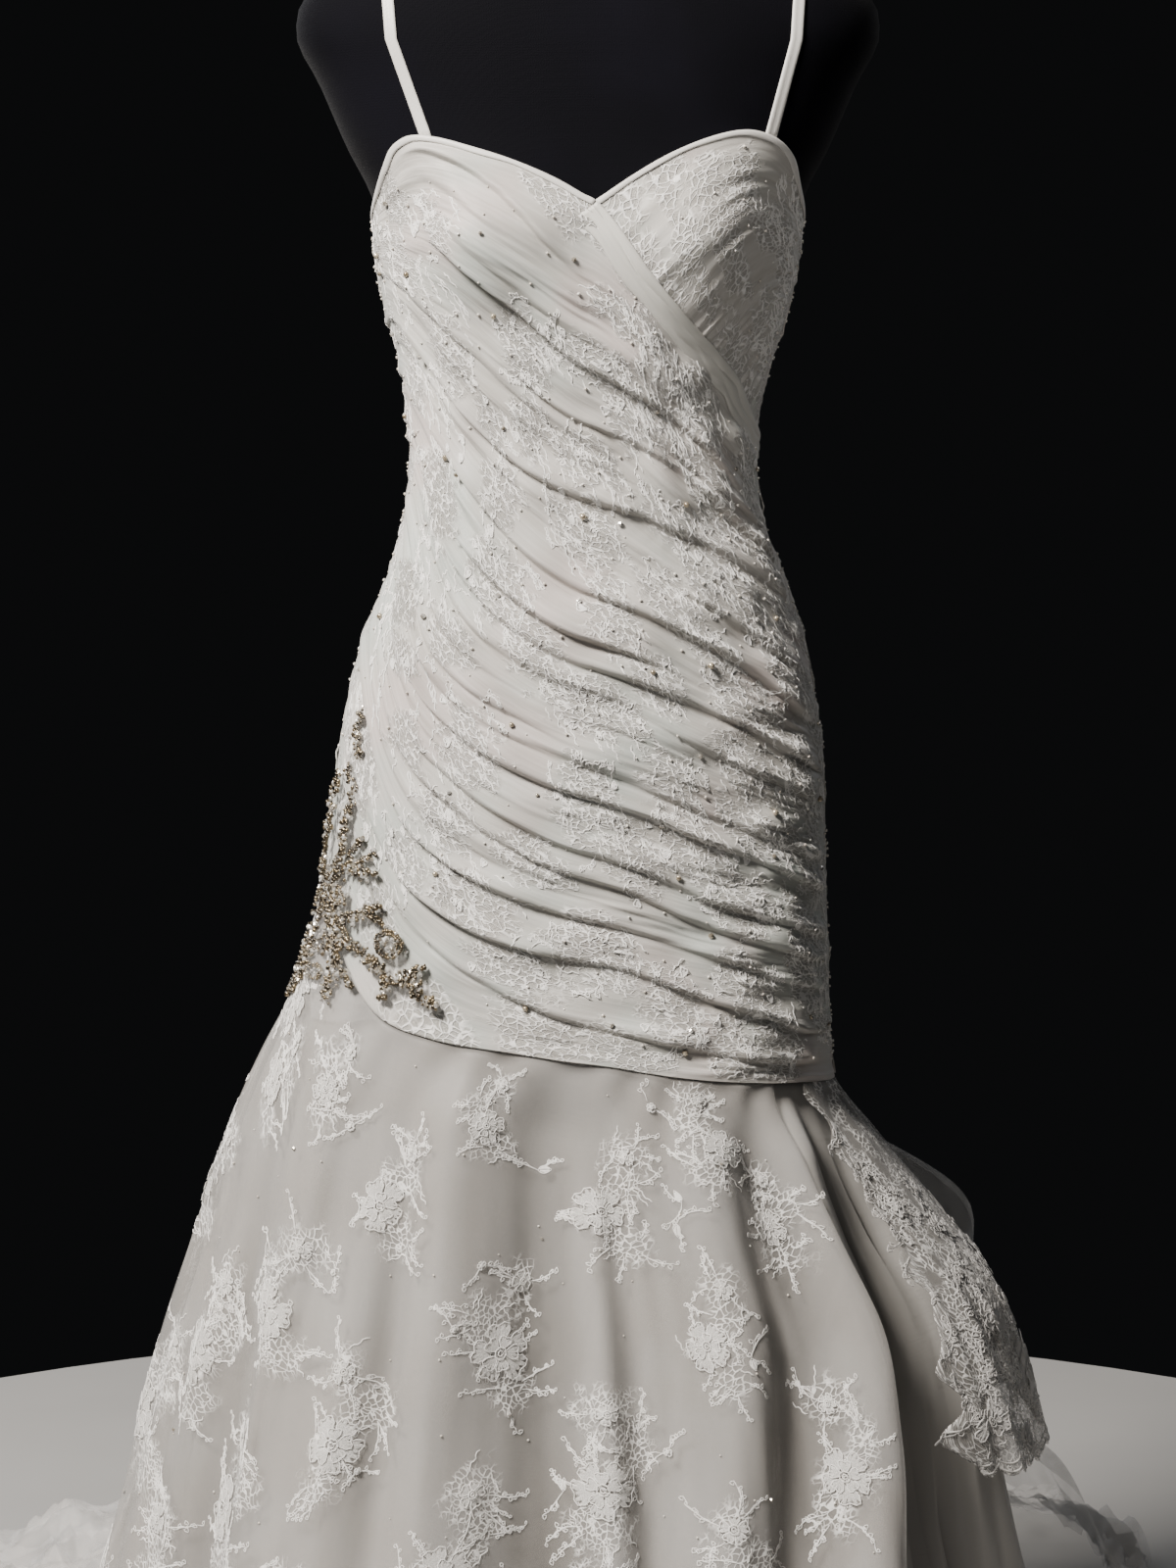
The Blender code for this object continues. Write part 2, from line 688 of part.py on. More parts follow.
def straps(form, surface):
    """The two narrow shoulder straps, laid over the form's shoulders."""
    cloth = bmesh.new()
    cloth.from_mesh(form.data)
    body = BVHTree.FromBMesh(cloth)
    cloth.free()
    front_rows, over_rows, back_rows = STRAP_ROWS
    for strap in STRAPS:
        rays = [(z, 0.0) for z in np.linspace(strap.front_z, SHOULDER_PIVOT, front_rows)]
        rays += [(SHOULDER_PIVOT, a) for a in np.linspace(0.0, 180.0, over_rows)[1:]]
        rays += [(z, 180.0) for z in np.linspace(SHOULDER_PIVOT, strap.back_z, back_rows)[1:]]
        rows = []
        for z, tilt in rays:
            behind = tilt >= 90.0
            end_x, end_z = (strap.back_x, strap.back_z) if behind else (strap.front_x, strap.front_z)
            risen = (z - end_z) / (SHOULDER_PIVOT - end_z) * STRAP_UPRIGHT_SHARE
            over = min(tilt, 180.0 - tilt) / 90.0 * (1.0 - STRAP_UPRIGHT_SHARE)
            x = end_x + (strap.shoulder_x - end_x) * (risen + over)
            heading = Vector((0, -math.cos(math.radians(tilt)), math.sin(math.radians(tilt))))
            row = []
            for side in (-0.5, 0.5):
                start = Vector((x + side * STRAP_WIDTH, 0.0, float(z)))
                place, normal, _, _ = body.ray_cast(start, heading)
                row.append(place + normal * STRAP_LIFT)
            rows.append(row)
        wall(f"strap_{strap.side}", rows[::-1], TRIM_WALL, surface, outwards=True)


# ---------------------------------------------------------------- skirt


def flute_height(angle, share, flutes):
    """Returns how far the skirt's folds push a point out."""
    height = 0.0
    for flute in flutes:
        middle = flute.angle + flute.lean * share
        height += flute.height * bell(turn(angle - middle), 0.0, flute.width)
    return height * share**FLUTE_GROWTH


def skirt_point(angle, share, depth=0.0, drop=SEAM_GAP):
    """Returns a point of a skirt layer, a share of the way from the hip seam to the floor."""
    seam = seam_height(angle) - drop
    z = seam + (SKIRT_FLOOR - seam) * share
    out = flute_height(angle, share, SKIRT_FLUTES)
    return figure_point(angle, z, grow=out - depth)


def underskirt(surface):
    """The satin underskirt: a front, and two back pieces that meet at a middle seam."""
    middle = BACK_STEPS // 2
    pieces = {
        "underskirt_front": front_columns(),
        "underskirt_back_left": back_columns()[: middle + 1],
        "underskirt_back_right": back_columns()[middle:],
    }
    for name, part in pieces.items():
        columns = trimmed(part, SKIRT_SEAM_HEIGHT)
        rows = []
        for share in SKIRT_ROWS:
            depth = curve_through(UNDERSKIRT_DEPTH, "share", "depth", share)
            rows.append([skirt_point(angle, share, depth, drop=UNDERSKIRT_DROP) for angle in columns])
        wall(name, rows, SATIN_WALL, surface)


def lace_front(surface):
    """The lace overskirt across the front, whose left edge folds under."""
    columns = [angle - 360.0 for angle in back_columns()[-4:-1]]
    columns += front_columns()[: FRONT_STEPS + LACE_EDGE_STEP + 1]
    columns = trimmed(columns, SKIRT_SEAM_HEIGHT, end=False)
    first, last = columns[0], columns[-1]
    rows = []
    for share in SKIRT_ROWS:
        row = []
        for angle in columns:
            swing = LACE_EDGE_DRIFT * share * ((angle - first) / (last - first)) ** 2
            row.append(skirt_point(angle + swing, share))
        rows.append(row)
    return wall("lace_skirt_front", rows, LACE_WALL, surface)


def lace_overlay(surface):
    """The lace overlay on the wearer's left, with its scalloped hem above the underskirt."""
    first, behind = OVERLAY_STEPS
    columns = front_columns()[FRONT_STEPS + first :] + back_columns()[1 : behind + 1]
    columns = trimmed(columns, SKIRT_SEAM_HEIGHT, start=False)
    rows = []
    for part in np.linspace(0.0, 1.0, OVERLAY_ROWS):
        row = []
        for index, angle in enumerate(columns):
            hem = curve_through(OVERLAY_HEM, "angle", "z", angle)
            hem += OVERLAY_SCALLOP * (index % 2)
            seam = seam_height(angle)
            share = float(part) * (seam - hem) / seam
            row.append(skirt_point(angle, share, -OVERLAY_STAND * float(part) ** 0.5))
        rows.append(row)
    wall("lace_overlay_left", rows, LACE_WALL, surface)


def train_half(name, columns, surface):
    """One half of the sheer tulle that falls behind and lies on the floor as a train."""
    columns = trimmed(columns, SKIRT_SEAM_HEIGHT)
    rows = []
    for share in SKIRT_ROWS:
        side = curve_through(TRAIN_REACH, "share", "side", share)
        back = curve_through(TRAIN_REACH, "share", "back", share)
        right_part = polyline(TRAIN_RIGHT_SPREAD, "share", "part", share)
        row = []
        for angle in columns:
            seam = seam_height(angle) - SEAM_GAP
            z = seam + (TRAIN_FLOOR - seam) * share
            out = flute_height(angle, share, TRAIN_FLUTES) * (1.0 - share**TRAIN_SETTLE)
            wing = TRAIN_WING.height * bell(angle, TRAIN_WING.angle, TRAIN_WING.width)
            out += wing * bell(share, TRAIN_WING_SHARE, TRAIN_WING_REACH)
            from_edge = min(angle - TRAIN_START, TRAIN_END - angle)
            keep = 1.0 - TRAIN_CORNER_CUT * bell(from_edge, 0.0, TRAIN_CORNER) * share**2
            aside = side * keep * (right_part if angle > 180.0 else 1.0)
            row.append(figure_point(angle, z, grow=out, side_reach=aside, back_reach=back * keep))
        rows.append(row)
    wall(name, rows, LACE_WALL, surface)


def beaded_applique(panels, surface):
    """The beaded spray at the wearer's right hip, on net that lies on the panels under it."""
    scene = bpy.context.evaluated_depsgraph_get()
    covers = [BVHTree.FromObject(panel, scene) for panel in panels]
    rows = []
    for z in np.linspace(APPLIQUE[0].z, APPLIQUE[-1].z, APPLIQUE_ROWS):
        start = curve_through(APPLIQUE, "z", "start", z)
        end = curve_through(APPLIQUE, "z", "end", z)
        row = []
        for angle in (float(a) for a in np.linspace(start, end, APPLIQUE_STEPS + 1)):
            normal = outward(angle, z)
            start = figure_point(angle, z) + normal * APPLIQUE_SEARCH
            nearest = [cover.find_nearest(start)[0] for cover in covers]
            place = min(nearest, key=lambda found: (found - start).length)
            row.append(place + normal * APPLIQUE_LIFT)
        rows.append(row)
    wall("beaded_applique", rows, TRIM_WALL, surface, outwards=True)


# ---------------------------------------------------------------- dress form


def form_ring(z):
    """Returns one level ring of the form, inside the cloth by its wall and clearance."""
    left, right, front, back, power = (
        curve_through(FIGURE, "z", column, z) for column in Section._fields[1:]
    )
    inset = BODICE_WALL + FORM_CLEARANCE + polyline(FORM_FOOT, "z", "depth", z)
    half = min(left, right) - inset
    chest = FORM_CUP_SWELL * bell(z, CUP_HEIGHT, CUP_REACH)
    ring = []
    for angle in sorted(turn(a) for a in front_columns() + back_columns()[1:-1]):
        deep = front - inset + chest * bell(abs(angle), CUP_ANGLE, CUP_SPREAD)
        point = section_point(angle, z, (half, half), (deep, back - inset), power)
        ring.append(point)
    return sorted(ring, key=lambda p: math.atan2(p.y, p.x))


def dress_form(cover, metal):
    """The limbless form: a padded torso with a neck, on a pole with a round foot."""
    below = [FORM_BOTTOM, 0.712, 0.735, 0.765, 0.800]
    torso = [0.840, 0.880, 0.920, 0.960, 1.000, 1.040, 1.080, 1.120]
    torso += [1.154, 1.185, 1.210, 1.230, 1.248, 1.268, 1.292]
    shoulders = [1.322, 1.348, 1.370, 1.388, 1.403, 1.416, 1.428, 1.439, 1.450]
    neck = [1.461, 1.473, NECK_TOP]
    form = loft("form_torso", [form_ring(z) for z in below + torso + shoulders + neck], cover)
    cap_place = (0, 0, NECK_TOP + SEAM_GAP)
    turned("form_neck_cap", CAP_RADIUS, CAP_RADIUS, CAP_THICKNESS, cap_place, metal, edge=CAP_EDGE)
    pole_foot = BASE_THICKNESS + SEAM_GAP
    pole_length = FORM_BOTTOM - SEAM_GAP - pole_foot
    turned("form_pole", POLE_RADIUS, POLE_RADIUS, pole_length, (0, 0, pole_foot), metal, 20)
    turned("form_base", BASE_RADIUS, BASE_RADIUS, BASE_THICKNESS, (0, 0, 0), metal, 40, BASE_EDGE)
    return form


# ---------------------------------------------------------------- the whole object


def main():
    """Clears the scene and builds every piece."""
    for old in list(bpy.data.objects):
        bpy.data.objects.remove(old, do_unlink=True)

    ruched = material("ruched_lace", (0.86, 0.85, 0.82), 0.55)
    lace = material("lace", (0.90, 0.89, 0.87), 0.60)
    satin = material("satin", (0.84, 0.83, 0.80), 0.40)
    tulle = material("tulle", (0.88, 0.88, 0.87), 0.60, alpha=0.45)
    beads = material("beads", (0.55, 0.48, 0.36), 0.25, metallic=0.6)
    cover = material("form_cover", (0.012, 0.012, 0.018), 0.85)
    metal = material("stand_metal", (0.03, 0.03, 0.03), 0.45, metallic=0.7)

    form = dress_form(cover, metal)
    wrap, wrap_columns, wrap_points = front_panel(ruched)
    cup_columns, cup_points = left_cup(ruched)
    edge_band("neck_band_right", wrap_columns, wrap_points, 0, FRONT_STEPS + 1, NECK_BAND_WIDTH, satin)
    edge_band("neck_band_left", cup_columns, cup_points, 0, None, NECK_BAND_WIDTH, satin)
    edge_band("wrap_edge_band", wrap_columns, wrap_points, FRONT_STEPS + 1, None, WRAP_BAND_WIDTH, satin)
    spine = back_placket(back_panels(ruched), satin)
    back_buttons(spine, satin)
    straps(form, satin)
    underskirt(satin)
    overskirt = lace_front(lace)
    lace_overlay(lace)
    middle = BACK_STEPS // 2
    train_half("tulle_train_left", [a for a in back_columns()[: middle + 1] if a >= TRAIN_START], tulle)
    train_half("tulle_train_right", [a for a in back_columns()[middle:] if a <= TRAIN_END], tulle)
    beaded_applique([wrap, overskirt, bpy.data.objects["back_right_panel"]], beads)


main()
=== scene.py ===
"""Finished looks of a mermaid evening dress worn by a limbless dress form.

Metres, +Z up, the wearer faces -Y and the wearer's left is +X. Cloth is read on one figure
surface by an angle round the figure (0 at the front, positive towards the wearer's left) and a
share of the way down the piece. Every piece of cloth is a thin shell on its solid's form.
"""

from __future__ import annotations

import logging
import math
import sys
from collections.abc import Callable, Sequence
from dataclasses import dataclass, field
from enum import Enum
from typing import NamedTuple

import bmesh
import bpy
import numpy as np
from mathutils import Matrix, Vector
from mathutils.bvhtree import BVHTree

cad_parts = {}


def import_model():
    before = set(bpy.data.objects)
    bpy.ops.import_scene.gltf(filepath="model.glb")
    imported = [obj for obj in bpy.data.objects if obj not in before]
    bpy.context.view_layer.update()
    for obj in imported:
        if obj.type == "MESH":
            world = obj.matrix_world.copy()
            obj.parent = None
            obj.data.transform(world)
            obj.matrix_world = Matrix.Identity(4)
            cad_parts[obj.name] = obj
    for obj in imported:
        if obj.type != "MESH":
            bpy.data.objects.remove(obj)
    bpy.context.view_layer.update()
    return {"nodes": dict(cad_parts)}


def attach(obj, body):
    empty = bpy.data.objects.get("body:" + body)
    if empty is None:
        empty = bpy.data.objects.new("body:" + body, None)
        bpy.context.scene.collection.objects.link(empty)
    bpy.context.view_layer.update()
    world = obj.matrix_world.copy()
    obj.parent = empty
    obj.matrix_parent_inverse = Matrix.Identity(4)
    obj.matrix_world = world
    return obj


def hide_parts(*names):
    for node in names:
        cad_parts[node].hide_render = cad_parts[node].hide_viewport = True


Array = np.ndarray
Material, Piece, Socket = bpy.types.Material, bpy.types.Object, bpy.types.NodeSocket
Colour = Point = tuple[float, float, float]
Rows = Sequence[tuple[float, float]]
log = logging.getLogger("evening_dress")

ROOT = "root"
V_ANGLE = 1.2  # the low point of the neckline
SIDE = 90.0  # the side seams
BACK = 180.0  # the middle of the back
SEAM_GAP = 0.0003  # the skirt's layers start this far under the hip seam
ROUND = 2 * math.pi


class Slot(Enum):
    """The finishes' material slots, by name."""

    RUCHED = "ruched_lace"
    LACE = "lace"
    UNDERSKIRT = "underskirt_satin"
    TULLE = "tulle"
    TRIM = "trim_satin"
    BEADS = "beads"
    COVER = "form_cover"


class Held(Enum):
    """How a sheet of cloth is held."""

    HUNG = "hung"
    GATHERED = "gathered"
    DRAPED = "draped"
    STRETCHED = "stretched"


# ------------------------------------------------------------------ small sums


class Table:
    """A smooth line through a few given rows, flat beyond its ends."""

    def __init__(self, rows: Rows) -> None:
        """Works out a slope at every row; a row is where a value stands, and the value."""
        self.xs, self.ys = np.array(sorted(rows), float).T
        self.slopes = np.gradient(self.ys, self.xs)

    def __call__(self, x: Array | float) -> Array:
        """Reads the line.

        Args:
            x: Where to read it.

        Returns:
            The line's value at each place.
        """
        x = np.clip(np.asarray(x, float), self.xs[0], self.xs[-1])
        k = np.clip(np.searchsorted(self.xs, x) - 1, 0, len(self.xs) - 2)
        width = self.xs[k + 1] - self.xs[k]
        t = (x - self.xs[k]) / width
        rise = t * t * (3 - 2 * t)
        ease_in = t * (1 - t) ** 2 * self.slopes[k] * width
        ease_out = t * t * (1 - t) * self.slopes[k + 1] * width
        return self.ys[k] * (1 - rise) + self.ys[k + 1] * rise + ease_in - ease_out


def bell(x: Array, centre: float, spread: float) -> Array:
    """Returns 1 at the centre, falling off smoothly on both sides."""
    return np.exp(-(((x - centre) / spread) ** 2))


def smooth(x: Array, low: float, high: float) -> Array:
    """Returns 0 below low and 1 above high, with a soft step between."""
    t = np.clip((np.asarray(x, float) - low) / (high - low), 0.0, 1.0)
    return t * t * (3 - 2 * t)


def turn(angle: Array) -> Array:
    """Brings angles in degrees to the range from -180 to 180."""
    return (np.asarray(angle, float) + 180.0) % 360.0 - 180.0


def unit(vectors: Array) -> Array:
    """Returns each vector at a length of 1."""
    return vectors / np.maximum(np.linalg.norm(vectors, axis=-1, keepdims=True), 1e-12)


def even(first: float, last: float, count: int) -> Array:
    """Returns evenly spaced numbers, both ends included."""
    return np.linspace(first, last, count)


def run_along(points: Array) -> Array:
    """Returns how far along a line of points each one lies, in metres."""
    return np.concatenate([[0.0], np.cumsum(np.linalg.norm(np.diff(points, axis=0), axis=-1))])


def heading_step(heading: float, length: float) -> Array:
    """Returns a step of that length along a heading in a plane."""
    return np.array([math.cos(heading), math.sin(heading)]) * length


def wander(x: Array, y: Array, size: float, seed: int, waves: int = 7) -> Array:
    """Returns a smooth wandering value, mostly from -1 to 1, over a plane.

    Args:
        x: Places across.
        y: Places down.
        size: Typical length of one wave, in the units of x and y.
        seed: Fixes the waves.
        waves: How many waves are added up.

    Returns:
        The value at each place.
    """
    shortest, longest, calm = 0.6, 1.7, 0.9
    pick = np.random.default_rng(seed)
    total = np.zeros(np.broadcast(x, y).shape)
    for _ in range(waves):
        heading, phase = pick.uniform(0, ROUND, 2)
        step = ROUND / (size * pick.uniform(shortest, longest))
        total += np.sin((x * math.cos(heading) + y * math.sin(heading)) * step + phase)
    return total / math.sqrt(waves * calm)


class Rumple(NamedTuple):
    """A soft unevenness: its height, the degrees of a wave across and its waves down a piece."""

    height: float
    wide: float
    tall: float
    seed: int

    def at(self, angle: Array, down: Array) -> Array:
        """Returns its height at each place."""
        return self.height * wander(angle / self.wide, down * self.tall, 1.0, self.seed)


# ------------------------------------------------------------------ the figure


class Section(NamedTuple):
    """Half-widths and depths of the figure at one height, and its outline's power."""

    z: float
    right: float
    left: float
    front: float
    back: float
    power: float


FIGURE_SECTIONS = tuple(Section(*row) for row in (
    (1.500, 0.0630, 0.0630, 0.0560, 0.0590, 2.0), (1.472, 0.0680, 0.0680, 0.0580, 0.0630, 2.0),
    (1.450, 0.0960, 0.0960, 0.0620, 0.0720, 2.1), (1.434, 0.1360, 0.1360, 0.0680, 0.0800, 2.2),
    (1.414, 0.1780, 0.1780, 0.0760, 0.0880, 2.3), (1.390, 0.2080, 0.2080, 0.0840, 0.0950, 2.4),
    (1.360, 0.2160, 0.2160, 0.0920, 0.1010, 2.5), (1.324, 0.2010, 0.1990, 0.0990, 0.1050, 2.5),
    (1.278, 0.1800, 0.1790, 0.1060, 0.1070, 2.4), (1.242, 0.1610, 0.1610, 0.1120, 0.1070, 2.3),
    (1.205, 0.1570, 0.1565, 0.1160, 0.1060, 2.3), (1.165, 0.1490, 0.1485, 0.1130, 0.1030, 2.3),
    (1.125, 0.1380, 0.1360, 0.1070, 0.0980, 2.3), (1.085, 0.1325, 0.1265, 0.1020, 0.0940, 2.3),
    (1.045, 0.1310, 0.1250, 0.0990, 0.0920, 2.3), (1.005, 0.1360, 0.1310, 0.1000, 0.0960, 2.3),
    (0.965, 0.1480, 0.1465, 0.1040, 0.1060, 2.3), (0.925, 0.1650, 0.1590, 0.1090, 0.1200, 2.3),
    (0.885, 0.1760, 0.1680, 0.1120, 0.1310, 2.3), (0.845, 0.1845, 0.1745, 0.1140, 0.1360, 2.3),
    (0.800, 0.1900, 0.1768, 0.1150, 0.1360, 2.3), (0.750, 0.1950, 0.1780, 0.1150, 0.1330, 2.3),
    (0.700, 0.2030, 0.1800, 0.1160, 0.1320, 2.3), (0.655, 0.2155, 0.1815, 0.1190, 0.1360, 2.25),
    (0.615, 0.2345, 0.1830, 0.1240, 0.1450, 2.2), (0.590, 0.2455, 0.1845, 0.1290, 0.1540, 2.2),
    (0.545, 0.2620, 0.2060, 0.1430, 0.1800, 2.15), (0.490, 0.2780, 0.2420, 0.1610, 0.2160, 2.1),
    (0.430, 0.2950, 0.2830, 0.1810, 0.2540, 2.1), (0.360, 0.3140, 0.3030, 0.2060, 0.2950, 2.1),
    (0.280, 0.3340, 0.3160, 0.2340, 0.3400, 2.1), (0.200, 0.3580, 0.3360, 0.2620, 0.3820, 2.1),
    (0.120, 0.3840, 0.3610, 0.2880, 0.4220, 2.1), (0.050, 0.4080, 0.3880, 0.3080, 0.4550, 2.1),
    (0.000, 0.4260, 0.4080, 0.3200, 0.4760, 2.1),
))  # fmt: skip


class Figure:
    """The dress's outer surface, and above it the form's chest, shoulders and neck."""

    CUP_ANGLE, CUP_SPREAD, CUP_HEIGHT, CUP_REACH, CUP_SWELL = 30.0, 19.0, 1.208, 0.050, 0.020

    def __init__(self) -> None:
        """Makes a smooth line of every column of the sections."""
        columns = zip(*FIGURE_SECTIONS)
        heights = next(columns)
        self.lines = [Table(list(zip(heights, column))) for column in columns]

    @staticmethod
    def outline(angle: Array, power: Array | float) -> tuple[Array, Array, Array, Array]:
        """Reads a rounded outline of half-width and depth 1.

        Args:
            angle: Degrees round it.
            power: 2 for an ellipse, more for squarer corners.

        Returns:
            The places to the left and ahead, and the angles' sines and cosines.
        """
        sine, cosine = np.sin(np.radians(angle)), np.cos(np.radians(angle))
        across = np.sign(sine) * np.abs(sine) ** (2 / power)
        return across, np.sign(cosine) * np.abs(cosine) ** (2 / power), sine, cosine

    def cup(self, angle: Array, z: Array) -> tuple[Array, Array]:
        """Returns the share of the cups' swell at each angle, and that at each height."""
        spread = bell(np.abs(turn(angle)), self.CUP_ANGLE, self.CUP_SPREAD)
        return spread, bell(z, self.CUP_HEIGHT, self.CUP_REACH)

    def point(self, angle: Array, z: Array, grow: Array | float = 0.0, side: Array | float = 0.0,
              back: Array | float = 0.0) -> Array:
        """Returns points of the surface.

        Args:
            angle: Degrees round the figure.
            z: Heights.
            grow: How far every half-width and depth is grown.
            side: Further reach to both sides.
            back: Further reach behind.

        Returns:
            One point for each angle and height.
        """
        angle, z = np.broadcast_arrays(np.asarray(angle, float), np.asarray(z, float))
        right, left, front, rear, power = (line(z) for line in self.lines)
        cup, tall = self.cup(angle, z)
        front = front + self.CUP_SWELL * cup * tall
        across, ahead, sine, cosine = self.outline(angle, power)
        width = np.where(sine > 0, left, right) + grow + side
        depth = np.where(cosine > 0, front + grow, rear + grow + back)
        return np.stack([width * across, -depth * ahead, z], axis=-1)

    def outward(self, angle: Array, z: Array) -> Array:
        """Works out the surface's normals.

        Args:
            angle: Degrees round the figure.
            z: Heights.

        Returns:
            One normal for each place.
        """
        across = self.point(angle + 1.0, z) - self.point(angle - 1.0, z)
        up = self.point(angle, z + 0.004) - self.point(angle, z - 0.004)
        return unit(np.cross(across, up))

    def raised(self, angle: Array, z: Array, out: Array | float) -> Array:
        """Returns points that stand out from the surface by that much."""
        return self.point(angle, z) + self.outward(angle, z) * np.asarray(out)[..., None]


FIGURE = Figure()

RIGHT_TOP_EDGE = Table((
    (-90.0, 1.226), (-75.0, 1.239), (-57.5, 1.260), (-46.6, 1.276), (-40.0, 1.281),
    (-34.0, 1.280), (-23.5, 1.272), (-12.7, 1.260), (-4.6, 1.247), (V_ANGLE, 1.234),
))  # fmt: skip
LEFT_TOP_EDGE = Table((
    (V_ANGLE, 1.234), (7.8, 1.250), (15.9, 1.267), (24.6, 1.279), (33.2, 1.2845),
    (43.9, 1.280), (54.0, 1.269), (66.8, 1.250), (90.0, 1.226), (115.0, 1.203),
    (145.0, 1.186), (180.0, 1.180), (215.0, 1.186), (245.0, 1.203), (270.0, 1.226),
))  # fmt: skip
WRAP_EDGE = Table((
    (V_ANGLE, 1.234), (4.8, 1.219), (13.3, 1.185), (25.3, 1.153), (40.6, 1.1265),
    (53.4, 1.108), (65.8, 1.087), (90.0, 1.068),
))  # fmt: skip
SMOOTH_TOP = Table((
    (-90.0, 1.226), (-60.0, 1.257), (-40.0, 1.279), (-25.0, 1.268), (-12.0, 1.250), (0.0, 1.226),
    (12.0, 1.196), (25.0, 1.160), (40.0, 1.130), (53.0, 1.108), (66.0, 1.087), (90.0, 1.068),
))  # fmt: skip
HIP_SEAM = Table((
    (-90.0, 0.766), (-78.0, 0.745), (-66.0, 0.712), (-54.0, 0.678), (-42.0, 0.650),
    (-28.0, 0.636), (-12.0, 0.628), (V_ANGLE, 0.620), (20.0, 0.609), (40.0, 0.602),
    (60.0, 0.597), (90.0, 0.590), (120.0, 0.598), (150.0, 0.622), (180.0, 0.656),
    (210.0, 0.694), (240.0, 0.738), (270.0, 0.766),
))  # fmt: skip


def top_edge(angle: Array | float) -> Array:
    """Returns the bodice's upper edge, which meets in a sharp point at the neckline's middle."""
    return np.where(np.asarray(angle) < V_ANGLE, RIGHT_TOP_EDGE(angle), LEFT_TOP_EDGE(angle))


def wrap_top(angle: Array | float) -> Array:
    """Returns the height of the wrapped front's upper edge."""
    return np.where(np.asarray(angle) > V_ANGLE, WRAP_EDGE(angle), RIGHT_TOP_EDGE(angle))


def seam_height(angle: Array | float) -> Array:
    """Returns the hip seam's height at each angle."""
    angle = np.asarray(angle, float)
    return HIP_SEAM(np.where(angle < -SIDE - 0.1, angle + 360.0, angle))


def bearing(place: Sequence[float]) -> float:
    """Returns the direction of a point from the middle, seen from above."""
    return math.atan2(place[1], place[0])


def spaced(first: float, last: float, count: int, z: float) -> Array:
    """Returns angles that lie evenly along the figure's outline at one height.

    Args:
        first: The first angle.
        last: The last angle.
        count: How many angles there are.
        z: The height.

    Returns:
        The angles, both ends included.
    """
    fine = even(first, last, 1601)
    run = run_along(FIGURE.point(fine, z))
    return np.interp(even(0.0, run[-1], count), run, fine)


# ------------------------------------------------------------------ folds


class Fold(NamedTuple):
    """One fold: where its crease runs at five even steps across, its crest and its reach."""

    a: float
    b: float
    c: float
    d: float
    e: float
    crest: float
    start: float
    end: float


